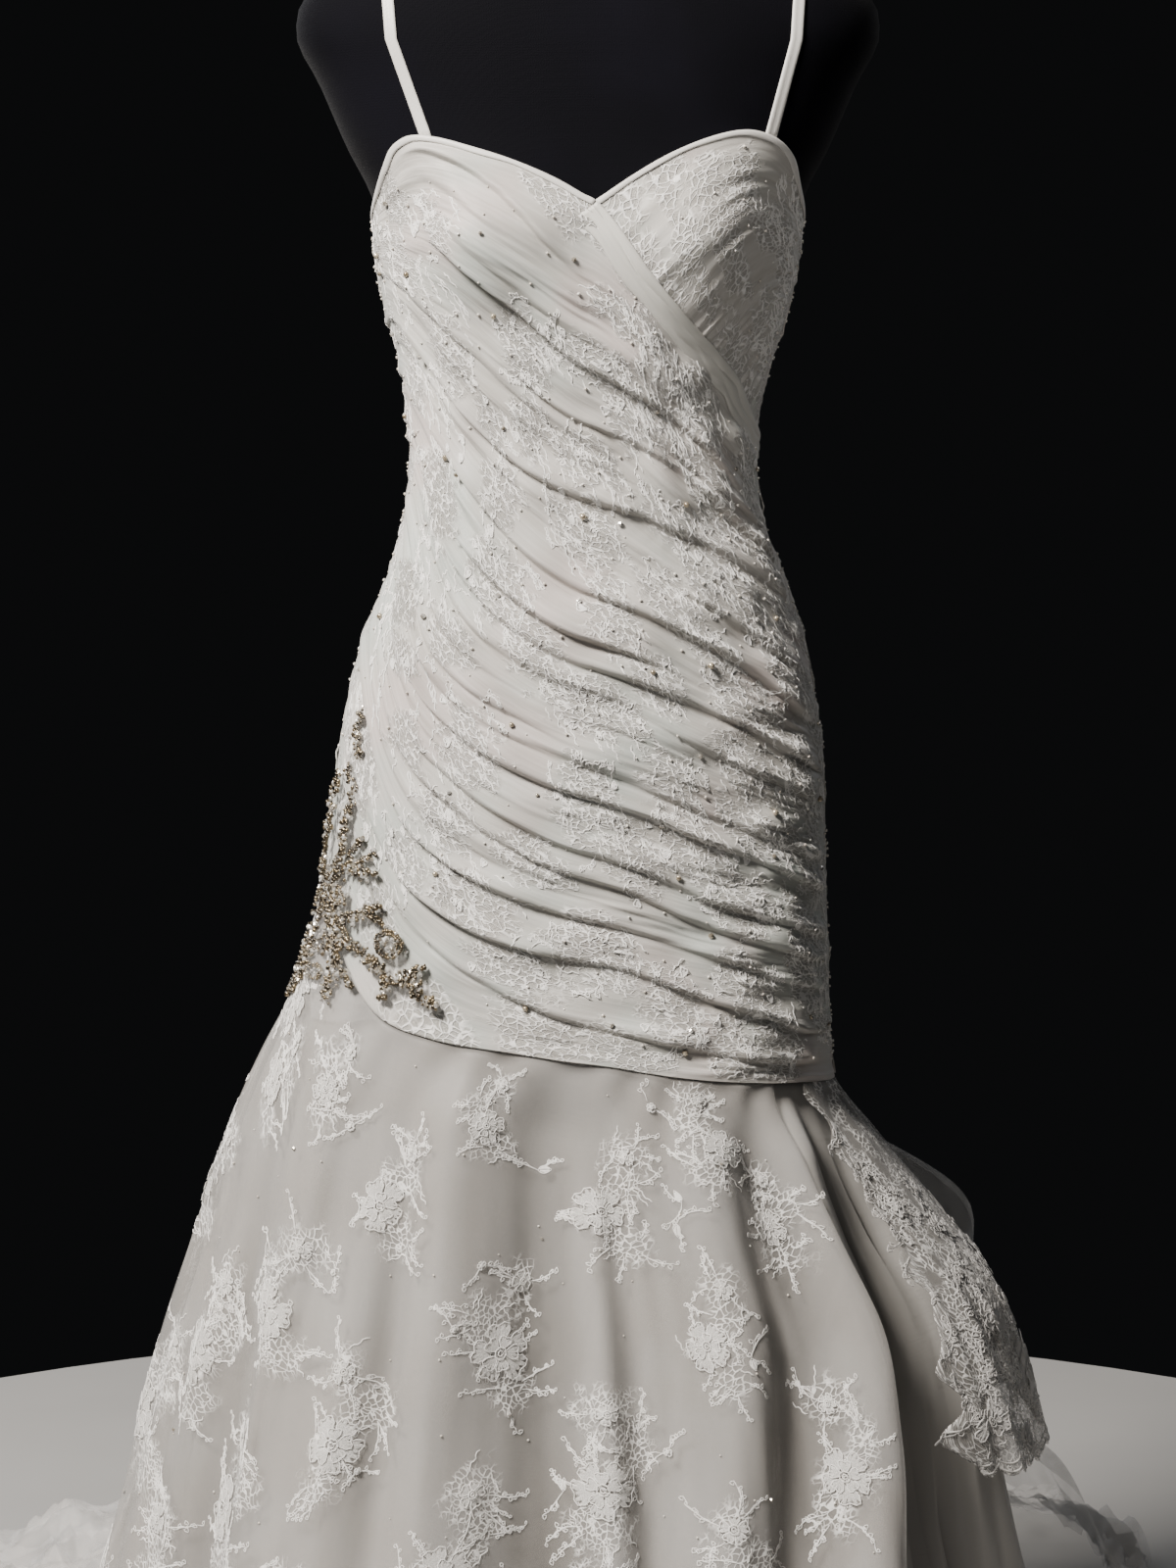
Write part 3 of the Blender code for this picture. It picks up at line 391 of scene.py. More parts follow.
class FoldFamily:
    """Folds that lie like shingles, each crest dropping sharply into the crease under it."""

    STEPS = (0.0, 0.09, 0.21, 0.37, 0.53, 0.69, 0.82, 0.91, 0.965)
    LIP, SOFT_LIP = 0.0040, 0.0060  # the drop from a crest into its crease
    BROAD, CRISP, CRISP_SHARE = 0.0125, 0.0045, 0.28  # how a crest fades upwards
    GROOVE, GROOVE_REACH = 0.12, 0.0045
    SHADOW_REACH = 0.0026
    FULLNESS, ROOM = 2.0, 0.017
    SWAY, LEAST_GAP, LOWEST = 0.0022, 0.0045, 0.992
    FADE_IN, FADE_OUT = 16.0, 20.0

    def __init__(self, folds: Sequence[Fold], marks: Sequence[float], seed: int) -> None:
        """Keeps the folds, from the top down, and the five places across that their rows mean."""
        self.folds, self.marks, self.seed = folds, marks, seed

    def lines(self, across: Array) -> Array:
        """Returns how far down each crease runs, with the piece's two edges added.

        Args:
            across: Places across, as in the folds' own marks.

        Returns:
            One row for each line and one column for each place.
        """
        made = [np.zeros_like(across)]
        for number, fold in enumerate(self.folds):
            path = Table(list(zip(self.marks, fold[:5])))(across)
            path = path + self.SWAY * wander(across, number * 40.0, 55.0, self.seed + number, 4)
            made.append(np.maximum(path, made[-1] + self.LEAST_GAP))
        made.append(np.ones_like(across))
        made = np.array(made)
        excess = np.maximum(made[-2] - self.LOWEST, 0.0)
        made[1:-1] -= excess * made[1:-1]
        return made

    def grid(self, across: Array) -> Array:
        """Returns how far down each row of a grid runs, with rows along every crease.

        Args:
            across: Places across, one for each column.

        Returns:
            One row for each row of the grid.
        """
        lines = self.lines(across)
        pairs = zip(lines[:-1], lines[1:])
        rows = [upper + (lower - upper) * step for upper, lower in pairs for step in self.STEPS]
        return np.array([*rows, lines[-1]])

    def relief(self, across: Array, height: Array, levels: Array) -> tuple[Array, Array]:
        """Works out how far the folds stand out, and the painted shade that each point gets in its
        crease.

        Args:
            across: Places across, one for each column.
            height: Each point's height, in metres.
            levels: Each line's height, in metres, with the two edges.

        Returns:
            The reach of the cloth in metres, and the painted crease shade from 0 to 1.
        """
        out, painted_fold_shade = np.zeros_like(height), np.zeros_like(height)
        for number, fold in enumerate(self.folds):
            level = levels[number + 1]
            room = np.clip((levels[number] - level) / self.ROOM, 0.10, 1.0) ** 0.7
            lip = self.LIP + self.SOFT_LIP * max(1.0 - fold.crest / 0.0042, 0.0) * room
            seen = smooth(across, fold.start, fold.start + self.FADE_IN)
            seen = seen * (1 - smooth(across, fold.end - self.FADE_OUT, fold.end))
            uneven = 1 + 0.22 * wander(across, number * 31.0, 38.0, self.seed + 50 + number, 4)
            crest = fold.crest * self.FULLNESS * room * seen * uneven
            above = height - level
            high, low = np.maximum(above, 0.0), np.minimum(above, 0.0)
            broad = np.exp(-high / (self.BROAD + fold.crest * 2.0))
            crisp = np.exp(-high / self.CRISP)
            fade = (1 - self.CRISP_SHARE) * broad + self.CRISP_SHARE * crisp
            below = np.exp(low / self.GROOVE_REACH) * (above <= 1e-7)
            out += crest * (fade * smooth(above / lip, 0.0, 1.0) - self.GROOVE * below)
            # painted shade just under each crease, broken up along its length
            near = np.exp(low / self.SHADOW_REACH) * (1 - smooth(above / lip, 0.0, 0.8))
            shade = wander(across, number * 17.0, 30.0, self.seed + 90 + number, 4)
            shade = smooth(shade, -1.1, 0.7) * smooth(crest, 0.0015, 0.0080)
            painted_fold_shade = np.maximum(painted_fold_shade, near * shade)
        return out, painted_fold_shade


# ------------------------------------------------------------------ shader sums


def operator(name: str, swapped: bool = False) -> Callable[[Value, Value | float], Value]:
    """Makes one arithmetic method of Value.

    Args:
        name: The Math node's operation.
        swapped: Whether the other number comes first.

    Returns:
        The method.
    """

    def work(self: Value, other: Value | float) -> Value:
        """Adds the Math node."""
        return self.graph.math(name, *((other, self) if swapped else (self, other)))

    return work


class Value:
    """A number that runs through a material; arithmetic on it adds Math nodes."""

    __add__ = __radd__ = operator("ADD")
    __sub__ = operator("SUBTRACT")
    __rsub__ = operator("SUBTRACT", swapped=True)
    __mul__ = __rmul__ = operator("MULTIPLY")
    most = operator("MAXIMUM")
    least = operator("MINIMUM")

    def __init__(self, graph: Graph, socket: Socket) -> None:
        """Wraps one output socket of the graph."""
        self.graph, self.socket = graph, socket

    def step(self, low: float, high: float) -> Value:
        """Steps softly from one number to another.

        Args:
            low: Where the step is 0.
            high: Where the step is 1; it may be the lower number.

        Returns:
            A value from 0 to 1.
        """
        settings = {"interpolation_type": "SMOOTHSTEP"}
        ends = {"From Min": min(low, high), "From Max": max(low, high)}
        made = self.graph.node("ShaderNodeMapRange", settings, {"Value": self, **ends})
        value = Value(self.graph, made.outputs["Result"])
        return value if low < high else 1 - value


class Graph:
    """A new Principled material and the nodes that feed it."""

    def __init__(self, name: str) -> None:
        """Makes an empty material.

        Args:
            name: The material's name.
        """
        self.material = bpy.data.materials.new(name)
        self.material.use_nodes = True
        self.tree = self.material.node_tree
        self.shader = self.tree.nodes["Principled BSDF"]
        self.place = self.node("ShaderNodeTexCoord").outputs["Object"]

    def node(self, kind: str, settings: dict | None = None,
             inputs: dict | None = None) -> bpy.types.Node:
        """Adds a node.

        Args:
            kind: The node's type.
            settings: Its own settings, set first.
            inputs: What each input socket takes: a number, a colour, a socket or a Value.

        Returns:
            The node.
        """
        made = self.tree.nodes.new(kind)
        for name, value in (settings or {}).items():
            setattr(made, name, value)
        for name, value in (inputs or {}).items():
            self.feed(made.inputs[name], value)
        return made

    def feed(self, socket: Socket, value: object) -> None:
        """Links or sets an input.

        Args:
            socket: The input.
            value: A socket or a Value to link, or a constant to set.
        """
        value = value.socket if isinstance(value, Value) else value
        if isinstance(value, Socket):
            self.tree.links.new(value, socket)
        elif isinstance(value, tuple) and len(value) == 3 and socket.type == "RGBA":
            socket.default_value = (*value, 1.0)
        else:
            socket.default_value = value

    def math(self, operation: str, *values: Value | float) -> Value:
        """Adds one Math node over the values."""
        made = self.node("ShaderNodeMath", {"operation": operation}, dict(enumerate(values)))
        return Value(self, made.outputs[0])

    def cloth(self) -> Socket:
        """Returns the place on the cloth, in metres along and down it."""
        return self.node("ShaderNodeUVMap", {"uv_map": Cloth.UV}).outputs["UV"]

    def stretch(self, place: Socket, *scale: float) -> Socket:
        """Returns coordinates multiplied along each axis."""
        scaled = self.node("ShaderNodeVectorMath", {"operation": "MULTIPLY"}, {0: place, 1: scale})
        return scaled.outputs[0]

    def attribute(self, name: str) -> Value:
        """Returns a number kept at every point of the cloth."""
        return Value(self, self.node("ShaderNodeAttribute", {"attribute_name": name}).outputs["Fac"])

    def noise(self, place: Socket, scale: float, detail: float = 2.0, warp: float = 0.0) -> Value:
        """Adds soft noise from 0 to 1, with that many waves to a metre."""
        inputs = {"Vector": place, "Scale": scale, "Detail": detail, "Distortion": warp}
        return Value(self, self.node("ShaderNodeTexNoise", None, inputs).outputs[0])

    def streaks(self, place: Socket, along: float, down: float, detail: float = 2.0,
                warp: float = 0.0) -> Value:
        """Adds noise drawn out along the cloth, by its waves to a metre along it and down it."""
        return self.noise(self.stretch(place, along, down, 1.0), 1.0, detail, warp)

    def cells(self, place: Socket, scale: float, jitter: float = 1.0) -> Value:
        """Adds irregular cells.

        Args:
            place: The coordinates.
            scale: How many cells there are to a metre.
            jitter: How irregular they are.

        Returns:
            The distance to the nearest edge between cells.
        """
        inputs = {"Vector": place, "Scale": scale, "Randomness": jitter}
        made = self.node("ShaderNodeTexVoronoi", {"feature": "DISTANCE_TO_EDGE"}, inputs)
        return Value(self, made.outputs["Distance"])

    def warped(self, place: Socket, scale: float, reach: float) -> Socket:
        """Shifts coordinates about by noise.

        Args:
            place: The coordinates.
            scale: Waves of the noise to a metre.
            reach: How far it shifts them, in metres.

        Returns:
            The shifted coordinates.
        """
        noise = self.node("ShaderNodeTexNoise", None, {"Vector": place, "Scale": scale, "Detail": 1.0})
        inputs = {0: noise.outputs["Color"], 1: (reach * 2,) * 3, 2: place}
        return self.node("ShaderNodeVectorMath", {"operation": "MULTIPLY_ADD"}, inputs).outputs[0]

    def mix(self, share: Value | float, first: object, second: object) -> Socket:
        """Mixes two colours by a share from 0 to 1."""
        mixed = self.node("ShaderNodeMix", {"data_type": "RGBA"}, {0: share, 6: first, 7: second})
        return mixed.outputs[2]

    def bump(self, height: Value) -> Socket:
        """Returns a normal from heights in metres."""
        inputs = {"Height": height, "Distance": 1.0, "Strength": 1.0}
        return self.node("ShaderNodeBump", None, inputs).outputs["Normal"]

    def finish(self, **sockets: object) -> Material:
        """Feeds the shader.

        Args:
            sockets: What each of its sockets takes, named with underscores for spaces.

        Returns:
            The material.
        """
        for name, value in sockets.items():
            self.feed(self.shader.inputs[name.replace("_", " ")], value)
        return self.material


# ------------------------------------------------------------------ finishes

CREASED = (0.17, 0.16, 0.145)  # painted shade: the colour of cloth deep in a crease or in a valley between folds


@dataclass(frozen=True)
class RuchedLace:
    """Fine lace over soft chiffon, drawn into folds, with a faint pearly colour."""

    ivory: Colour = (0.520, 0.502, 0.470)
    green_grey: Colour = (0.448, 0.480, 0.450)
    blush: Colour = (0.522, 0.455, 0.432)
    thread: Colour = (0.92, 0.91, 0.89)
    # painted shade in wrinkle troughs, and the lace's greyer ground between its threads, partly painted
    # shade beside the raised threads
    ground_and_shade_grey: Colour = (0.42, 0.40, 0.36)
    # painted shade: brownish colour laid into the creases
    crease: Colour = (0.30, 0.26, 0.21)
    cell: float = 0.0030
    fine_cell: float = 0.00125
    relief: tuple[float, float, float, float] = (0.00080, 0.00034, 0.0012, 0.00003)

    def make(self) -> Material:
        """Lays the colours one over another, from the ground to the painted shade of the creases.

        Returns:
            The material.
        """
        g = Graph("ruched_lace_over_chiffon")
        place, cloth = g.place, g.cloth()
        # the crease attribute holds the painted crease shade
        lace, crease = g.attribute(Cloth.LACE), g.attribute(Cloth.CREASE)
        net = g.cells(g.warped(g.stretch(cloth, 0.45, 1.0, 1.0), 160.0, 0.0022), 1 / self.cell)
        fine = g.cells(g.warped(cloth, 420.0, 0.0008), 1 / self.fine_cell)
        thread = net.step(0.16, 0.02).most(fine.step(0.10, 0.01) * 0.55)
        streaks = g.streaks(cloth, 14.0, 330.0, 3.0)
        wrinkles = g.streaks(cloth, 8.0, 95.0, 2.0, 0.4)
        weave = g.noise(place, 2600.0, 1.0)
        tint = self.ivory
        for share, colour in (
            (g.noise(place, 8.0).step(0.40, 0.64), self.green_grey),
            (g.noise(place, 11.0, 1.0).step(0.50, 0.70) * 0.75, self.blush),
            (streaks.step(0.35, 0.80) * 0.20, self.thread),
            # painted shade in the troughs of the wrinkles
            (wrinkles.step(0.56, 0.34) * 0.30, self.ground_and_shade_grey),
            # the lace's greyer ground between threads, partly painted shade beside the raised threads
            (lace * (1 - thread) * 0.66, self.ground_and_shade_grey),
            (thread * lace * 0.88, self.thread),
            # painted shade along the creases
            (crease * 0.27, self.crease),
        ):
            tint = g.mix(share, tint, colour)
        cord, pulled, wrinkled, woven = self.relief
        height = thread * lace * cord + streaks * pulled + wrinkles * wrinkled + weave * woven
        return g.finish(
            Base_Color=tint,
            Roughness=0.50 + lace * 0.16 + streaks * 0.05,
            Normal=g.bump(height),
            Sheen_Weight=0.25,
            Sheen_Roughness=0.4,
            Specular_IOR_Level=0.35,
        )


@dataclass(frozen=True)
class SheerNet:
    """Sheer soft net, denser where it lies in layers, with painted shade in the valleys between folds.
    """

    name: str
    colour: Colour = (0.86, 0.86, 0.85)
    warm: Colour = (0.80, 0.775, 0.745)
    least: float = 0.30
    most: float = 0.55
    thread: Colour = (0.88, 0.87, 0.85)
    cell: float = 0.0046

    def make(self) -> Material:
        """Sets how sheer the net is, and draws a web of thread where there is lace.

        Returns:
            The material.
        """
        g = Graph(self.name)
        place, cloth = g.place, g.cloth()
        drape = g.streaks(cloth, 26.0, 3.0)
        grain = g.noise(place, 1500.0, 1.0)
        cloud = g.noise(place, 14.0)
        share = drape.step(0.35, 0.72) * 0.6 + cloud.step(0.35, 0.7) * 0.4
        alpha = self.least + share * (self.most - self.least) + (grain - 0.5) * 0.16
        web = g.cells(g.warped(g.warped(cloth, 30.0, 0.006), 150.0, 0.0024), 1 / self.cell)
        thread = web.step(0.13, 0.04) * g.attribute(Cloth.LACE)
        tone = g.mix(cloud.step(0.3, 0.7), self.colour, self.warm)
        # painted shade: darker where the crease attribute marks a valley between folds
        tone = g.mix(g.attribute(Cloth.CREASE) * 0.60, tone, CREASED)
        return g.finish(
            Base_Color=g.mix(thread, tone, self.thread),
            Roughness=0.62 + grain * 0.1,
            Alpha=(alpha + thread * 0.50).least(1.0),
            Normal=g.bump(grain * 0.00006 + drape * 0.0004 + thread * 0.0003),
            Sheen_Weight=0.3,
            Sheen_Roughness=0.5,
            Specular_IOR_Level=0.2,
        )


@dataclass(frozen=True)
class LaceThread:
    """Matt corded lace thread, raised on its net."""

    name: str
    colour: Colour = (0.88, 0.87, 0.85)
    shade: Colour = (0.70, 0.68, 0.65)
    solid: float = 1.0

    def make(self) -> Material:
        """Marks the twist and the stitches; open stitches let the net show.

        Returns:
            The material.
        """
        g = Graph(self.name)
        twist = g.noise(g.place, 1400.0)
        stitch = g.cells(g.place, 780.0)
        tone = g.mix(g.noise(g.place, 60.0).step(0.35, 0.75) * 0.6, self.colour, self.shade)
        sheer = {}
        if self.solid < 1.0:
            sheer["Alpha"] = self.solid + stitch.step(0.12, 0.03) * (1.0 - self.solid)
        return g.finish(
            Base_Color=g.mix(stitch.step(0.20, 0.02) * 0.35, tone, self.shade),
            Roughness=0.66 + twist * 0.2,
            Normal=g.bump(stitch * 0.00030 + twist * 0.00012),
            Sheen_Weight=0.3,
            Specular_IOR_Level=0.3,
            **sheer,
        )


@dataclass(frozen=True)
class Satin:
    """Smooth satin with a soft gloss and faint pulled threads."""

    name: str
    colour: Colour = (0.80, 0.785, 0.755)
    shade: Colour = (0.70, 0.68, 0.65)
    roughness: float = 0.36

    def make(self) -> Material:
        """Clouds the colour, marks the pulled threads and the weave's ribs, and paints shade into the
        valleys between folds.

        Returns:
            The material.
        """
        g = Graph(self.name)
        cloth = g.cloth()
        slub = g.streaks(cloth, 30.0, 420.0, 3.0)
        cloud = g.noise(g.place, 10.0, 3.0)
        ribs = g.streaks(cloth, 1900.0, 900.0, 1.0)
        tone = g.mix(cloud.step(0.35, 0.7) * 0.7, self.colour, self.shade)
        return g.finish(
            # painted shade in the valleys between folds
            Base_Color=g.mix(g.attribute(Cloth.CREASE) * 0.6, tone, CREASED),
            Roughness=self.roughness + slub * 0.14 + ribs * 0.05,
            Normal=g.bump(slub * 0.00014 + ribs * 0.00004),
            Sheen_Weight=0.15,
            Specular_IOR_Level=0.45,
        )


@dataclass(frozen=True)
class Jersey:
    """Near-black cotton jersey with a fine knit and a little lint."""

    colour: Colour = (0.0015, 0.0015, 0.0030)
    worn: Colour = (0.0050, 0.0048, 0.0080)

    def make(self) -> Material:
        """Knits the ground, and lightens it with wear and lint.

        Returns:
            The material.
        """
        g = Graph("jersey_cover")
        knit = g.cells(g.stretch(g.place, 1.0, 1.0, 0.6), 900.0, 0.5)
        lint = g.noise(g.place, 700.0).step(0.72, 0.80)
        worn = g.noise(g.place, 9.0, 3.0).step(0.42, 0.75)
        return g.finish(
            Base_Color=g.mix(worn * 0.6 + lint * 0.2, self.colour, self.worn),
            Roughness=0.80 + worn * 0.12,
            Normal=g.bump(knit * 0.00035),
            Sheen_Weight=0.02,
            Sheen_Roughness=0.45,
            Specular_IOR_Level=0.07,
        )


@dataclass(frozen=True)
class Gem:
    """Beads and stones: plated metal, cut glass or pearl."""

    name: str
    colour: Colour
    deep: Colour
    metallic: float
    roughness: float

    def make(self) -> Material:
        """Varies the colour, the plating and the coat from stone to stone.

        Returns:
            The material.
        """
        g = Graph(self.name)
        each = g.noise(g.place, 190.0, 1.0)
        fine = g.noise(g.place, 1100.0, 1.0)
        return g.finish(
            Base_Color=g.mix(each.step(0.36, 0.64), self.colour, self.deep),
            Roughness=self.roughness + fine * 0.12,
            Metallic=self.metallic * (0.8 + each * 0.4),
            Normal=g.bump(fine * 0.00012),
            Coat_Weight=0.5 + each * 0.5,
            Coat_Roughness=0.08,
        )


@dataclass(frozen=True)
class StandMetal:
    """Dark coated steel with brushed marks, worn lighter in scattered patches."""

    colour: Colour = (0.030, 0.030, 0.032)
    worn: Colour = (0.16, 0.16, 0.165)

    def make(self) -> Material:
        """Brushes the steel and wears it.

        Returns:
            The material.
        """
        g = Graph("stand_metal")
        marks = g.noise(g.stretch(g.place, 60.0, 60.0, 900.0), 1.0, 3.0)
        worn = g.noise(g.place, 26.0, 4.0).step(0.60, 0.74)
        return g.finish(
            Base_Color=g.mix(worn * 0.5 + marks * 0.08, self.colour, self.worn),
            Roughness=0.34 + marks * 0.22,
            Metallic=0.75,
            Normal=g.bump(marks * 0.00006),
        )


@dataclass(frozen=True)
class StudioFloor:
    """Plain pale studio floor."""

    colour: Colour = (0.34, 0.336, 0.33)
    shade: Colour = (0.30, 0.296, 0.29)

    def make(self) -> Material:
        """Clouds the colour a little.

        Returns:
            The material.
        """
        g = Graph("studio_floor")
        tone = g.mix(g.noise(g.place, 1.6, 4.0).step(0.3, 0.7), self.colour, self.shade)
        return g.finish(Base_Color=tone, Roughness=0.75 + g.noise(g.place, 30.0) * 0.1)


# ------------------------------------------------------------------ cloth


def to_mesh(name: str, shape: bmesh.types.BMesh) -> bpy.types.Mesh:
    """Turns a bmesh into a mesh, and frees it.

    Args:
        name: The mesh's name.
        shape: The bmesh.

    Returns:
        The mesh.
    """
    mesh = bpy.data.meshes.new(name)
    shape.to_mesh(mesh)
    shape.free()
    return mesh


def to_piece(mesh: bpy.types.Mesh, points: Array | None = None, soft: bool = True) -> Piece:
    """Links a new object of a mesh to the scene.

    Args:
        mesh: The mesh.
        points: New places of its points, in their order.
        soft: Whether its faces are shaded smoothly.

    Returns:
        The object.
    """
    if points is not None:
        mesh.vertices.foreach_set("co", points.astype(np.float32).ravel())
        mesh.update()
    if soft:
        mesh.shade_smooth()
    made = bpy.data.objects.new(mesh.name, mesh)
    bpy.context.scene.collection.objects.link(made)
    log.info("%s: %d faces", mesh.name, len(mesh.polygons))
    return made


def points_of(mesh: bpy.types.Mesh) -> Array:
    """Reads where a mesh's points are.

    Args:
        mesh: The mesh.

    Returns:
        One row for each point.
    """
    spots = np.empty(len(mesh.vertices) * 3)
    mesh.vertices.foreach_get("co", spots)
    return spots.reshape(-1, 3)


def dress(piece: Piece, surface: Material, slot: Slot, *nodes: str) -> Piece:
    """Gives a piece its material and its body, and hides the solids that it stands for.

    Args:
        piece: The piece.
        surface: Its material.
        slot: Not used.
        nodes: The solids that it replaces.

    Returns:
        The piece.
    """
    piece.data.materials.append(surface)
    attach(piece, ROOT)
    if nodes:
        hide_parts(*nodes)
    return piece


class Surface:
    """A surface that is read by an angle round the figure and a share of the way down."""

    ANGLE_STEP, DOWN_STEP = 0.25, 0.0015

    def __init__(self, place: Callable[[Array, Array], Array]) -> None:
        """Keeps the function that gives its points."""
        self.place = place

    def frame(self, angle: Array, down: Array) -> tuple[Array, Array, Array, Array]:
        """Returns points, normals, and the surface's steps across and down.

        Args:
            angle: Angles in degrees.
            down: Shares of the way down.

        Returns:
            The points, the normals, the metres for each degree and the metres for each share.
        """
        aside, below = self.ANGLE_STEP, self.DOWN_STEP
        across = self.place(angle + aside, down) - self.place(angle - aside, down)
        upper = self.place(angle, np.clip(down - below, 0, 1))
        drop = self.place(angle, np.clip(down + below, 0, 1)) - upper
        wide = np.linalg.norm(across, axis=-1) / (2 * aside)
        tall = np.maximum(np.linalg.norm(drop, axis=-1), 1e-6) / (2 * below)
        return self.place(angle, down), unit(np.cross(across, -drop)), wide, tall


class Cloth:
    """Makes one piece of cloth as a grid laid on a surface, with a wall."""

    # The crease attribute holds painted shade for creases, clefts and the valleys between folds.
    UV, LACE, CREASE = "cloth", "lace", "crease"

    @staticmethod
    def grid(name: str, points: Array, cuts: Sequence[int] = ()) -> tuple[bpy.types.Mesh, Array, Array]:
        """Makes a flat grid for rows and columns of points.

        Args:
            name: The mesh's name.
            points: The points by row and column.
            cuts: The columns after which the grid is cut.

        Returns:
            The mesh, and the row and column of each of its points.
        """
        down, across = points.shape[0] - 1, points.shape[1] - 1
        flat = bmesh.new()
        bmesh.ops.create_grid(flat, x_segments=across, y_segments=down, size=1.0)
        if len(cuts):
            cut = set(cuts)
            gone = [f for f in flat.faces if int((f.calc_center_median().x + 1) / 2 * across) in cut]
            bmesh.ops.delete(flat, geom=gone, context="FACES")
        mesh = to_mesh(name, flat)
        spots = points_of(mesh)
        row = np.rint((1 - spots[:, 1]) / 2 * down).astype(int)
        return mesh, row, np.rint((spots[:, 0] + 1) / 2 * across).astype(int)

    @staticmethod
    def lay(name: str, points: Array, thickness: float, grain: Array | None = None,
            **marks: Array | float) -> Piece:
        """Makes a piece from a grid of points, top row first, running to the wearer's left.

        Args:
            name: The piece's name.
            points: The outer face's points, by row and column.
            thickness: The wall, laid inwards.
            grain: How far down the cloth each point is, in metres; measured if it isn't given.
            marks: Numbers kept at every point, by attribute name.

        Returns:
            The piece, with its place on the cloth in metres as its UV map.
        """
        rows, columns = points.shape[:2]
        mesh, row, column = Cloth.grid(name, points)
        wide = np.linalg.norm(np.diff(points, axis=1), axis=-1)
        along = np.concatenate([np.zeros((rows, 1)), np.cumsum(wide, axis=1)], axis=1)
        along -= along[:, columns // 2][:, None]
        tall = np.linalg.norm(np.diff(points, axis=0), axis=-1)
        drop = np.concatenate([np.zeros((1, columns)), np.cumsum(tall, axis=0)], axis=0)
        drop = drop if grain is None else grain
        corner = np.empty(len(mesh.loops), dtype=np.int32)
        mesh.loops.foreach_get("vertex_index", corner)
        spots = np.stack([along[row, column], drop[row, column]], axis=-1)[corner]
        layer = mesh.uv_layers.new(name=Cloth.UV)
        layer.data.foreach_set("uv", spots.astype(np.float32).ravel())
        for key, numbers in marks.items():
            layer = mesh.attributes.new(key, "FLOAT", "POINT")
            numbers = np.broadcast_to(numbers, (rows, columns))[row, column]
            layer.data.foreach_set("value", numbers.astype(np.float32))
        made = to_piece(mesh, points[row, column])
        solid = made.modifiers.new("wall", "SOLIDIFY")
        solid.thickness, solid.offset, solid.use_even_offset = thickness, -1.0, False
        return made


# ------------------------------------------------------------------ thread and beads


@dataclass
class Threads:
    """Cords that lie on a surface as low ridges."""

    surface: Surface
    highest: float = 0.004
    lowest: float = 0.997
    plump: float = 0.45
    tip: float = 0.45
    paths: list[Array] = field(default_factory=list)
    sizes: list[tuple[float, float, float]] = field(default_factory=list)

    def add(self, spots: Array, width: float, lift: float = 0.0, height: float | None = None) -> None:
        """Adds one cord, unless it would pass the cloth's upper or lower edge.

        Args:
            spots: Its angles and shares of the way down.
            width: The cord's width.
            lift: Its height above the cloth, besides its own.
            height: Its own height; about half its width if none is given.
        """
        if len(spots) >= 2 and spots[:, 1].min() > self.highest and spots[:, 1].max() < self.lowest:
            self.paths.append(spots)
            self.sizes.append((width, lift, width * self.plump if height is None else height))

    def build(self, name: str, gap: float = 0.0003) -> Piece:
        """Makes all the cords as one piece, from one long strip that is cut between them.

        Args:
            name: The piece's name.
            gap: How far the cords' edges stand off the cloth.

        Returns:
            The piece.
        """
        counts = np.array([len(path) for path in self.paths])
        spots = np.concatenate(self.paths)
        width, lift, height = np.repeat(np.array(self.sizes), counts, axis=0).T
        ends = np.cumsum(counts)
        first, last = np.zeros(len(spots), bool), np.zeros(len(spots), bool)
        first[ends - counts] = last[ends - 1] = True
        points, normals, _, _ = self.surface.frame(spots[:, 0], spots[:, 1])
        after = np.where(last[:, None], points, np.roll(points, -1, axis=0))
        before = np.where(first[:, None], points, np.roll(points, 1, axis=0))
        taper = np.where(first | last, self.tip, 1.0)
        side = unit(np.cross(unit(after - before), normals)) * (width / 2 * taper)[:, None]
        base = points + normals * (gap + lift)[:, None]
        crown = base + normals * (height * taper)[:, None]
        strip = np.stack([base - side, crown, base + side])
        mesh, row, column = Cloth.grid(name, strip, (ends[:-1] - 1).tolist())
        return to_piece(mesh, strip[row, column])


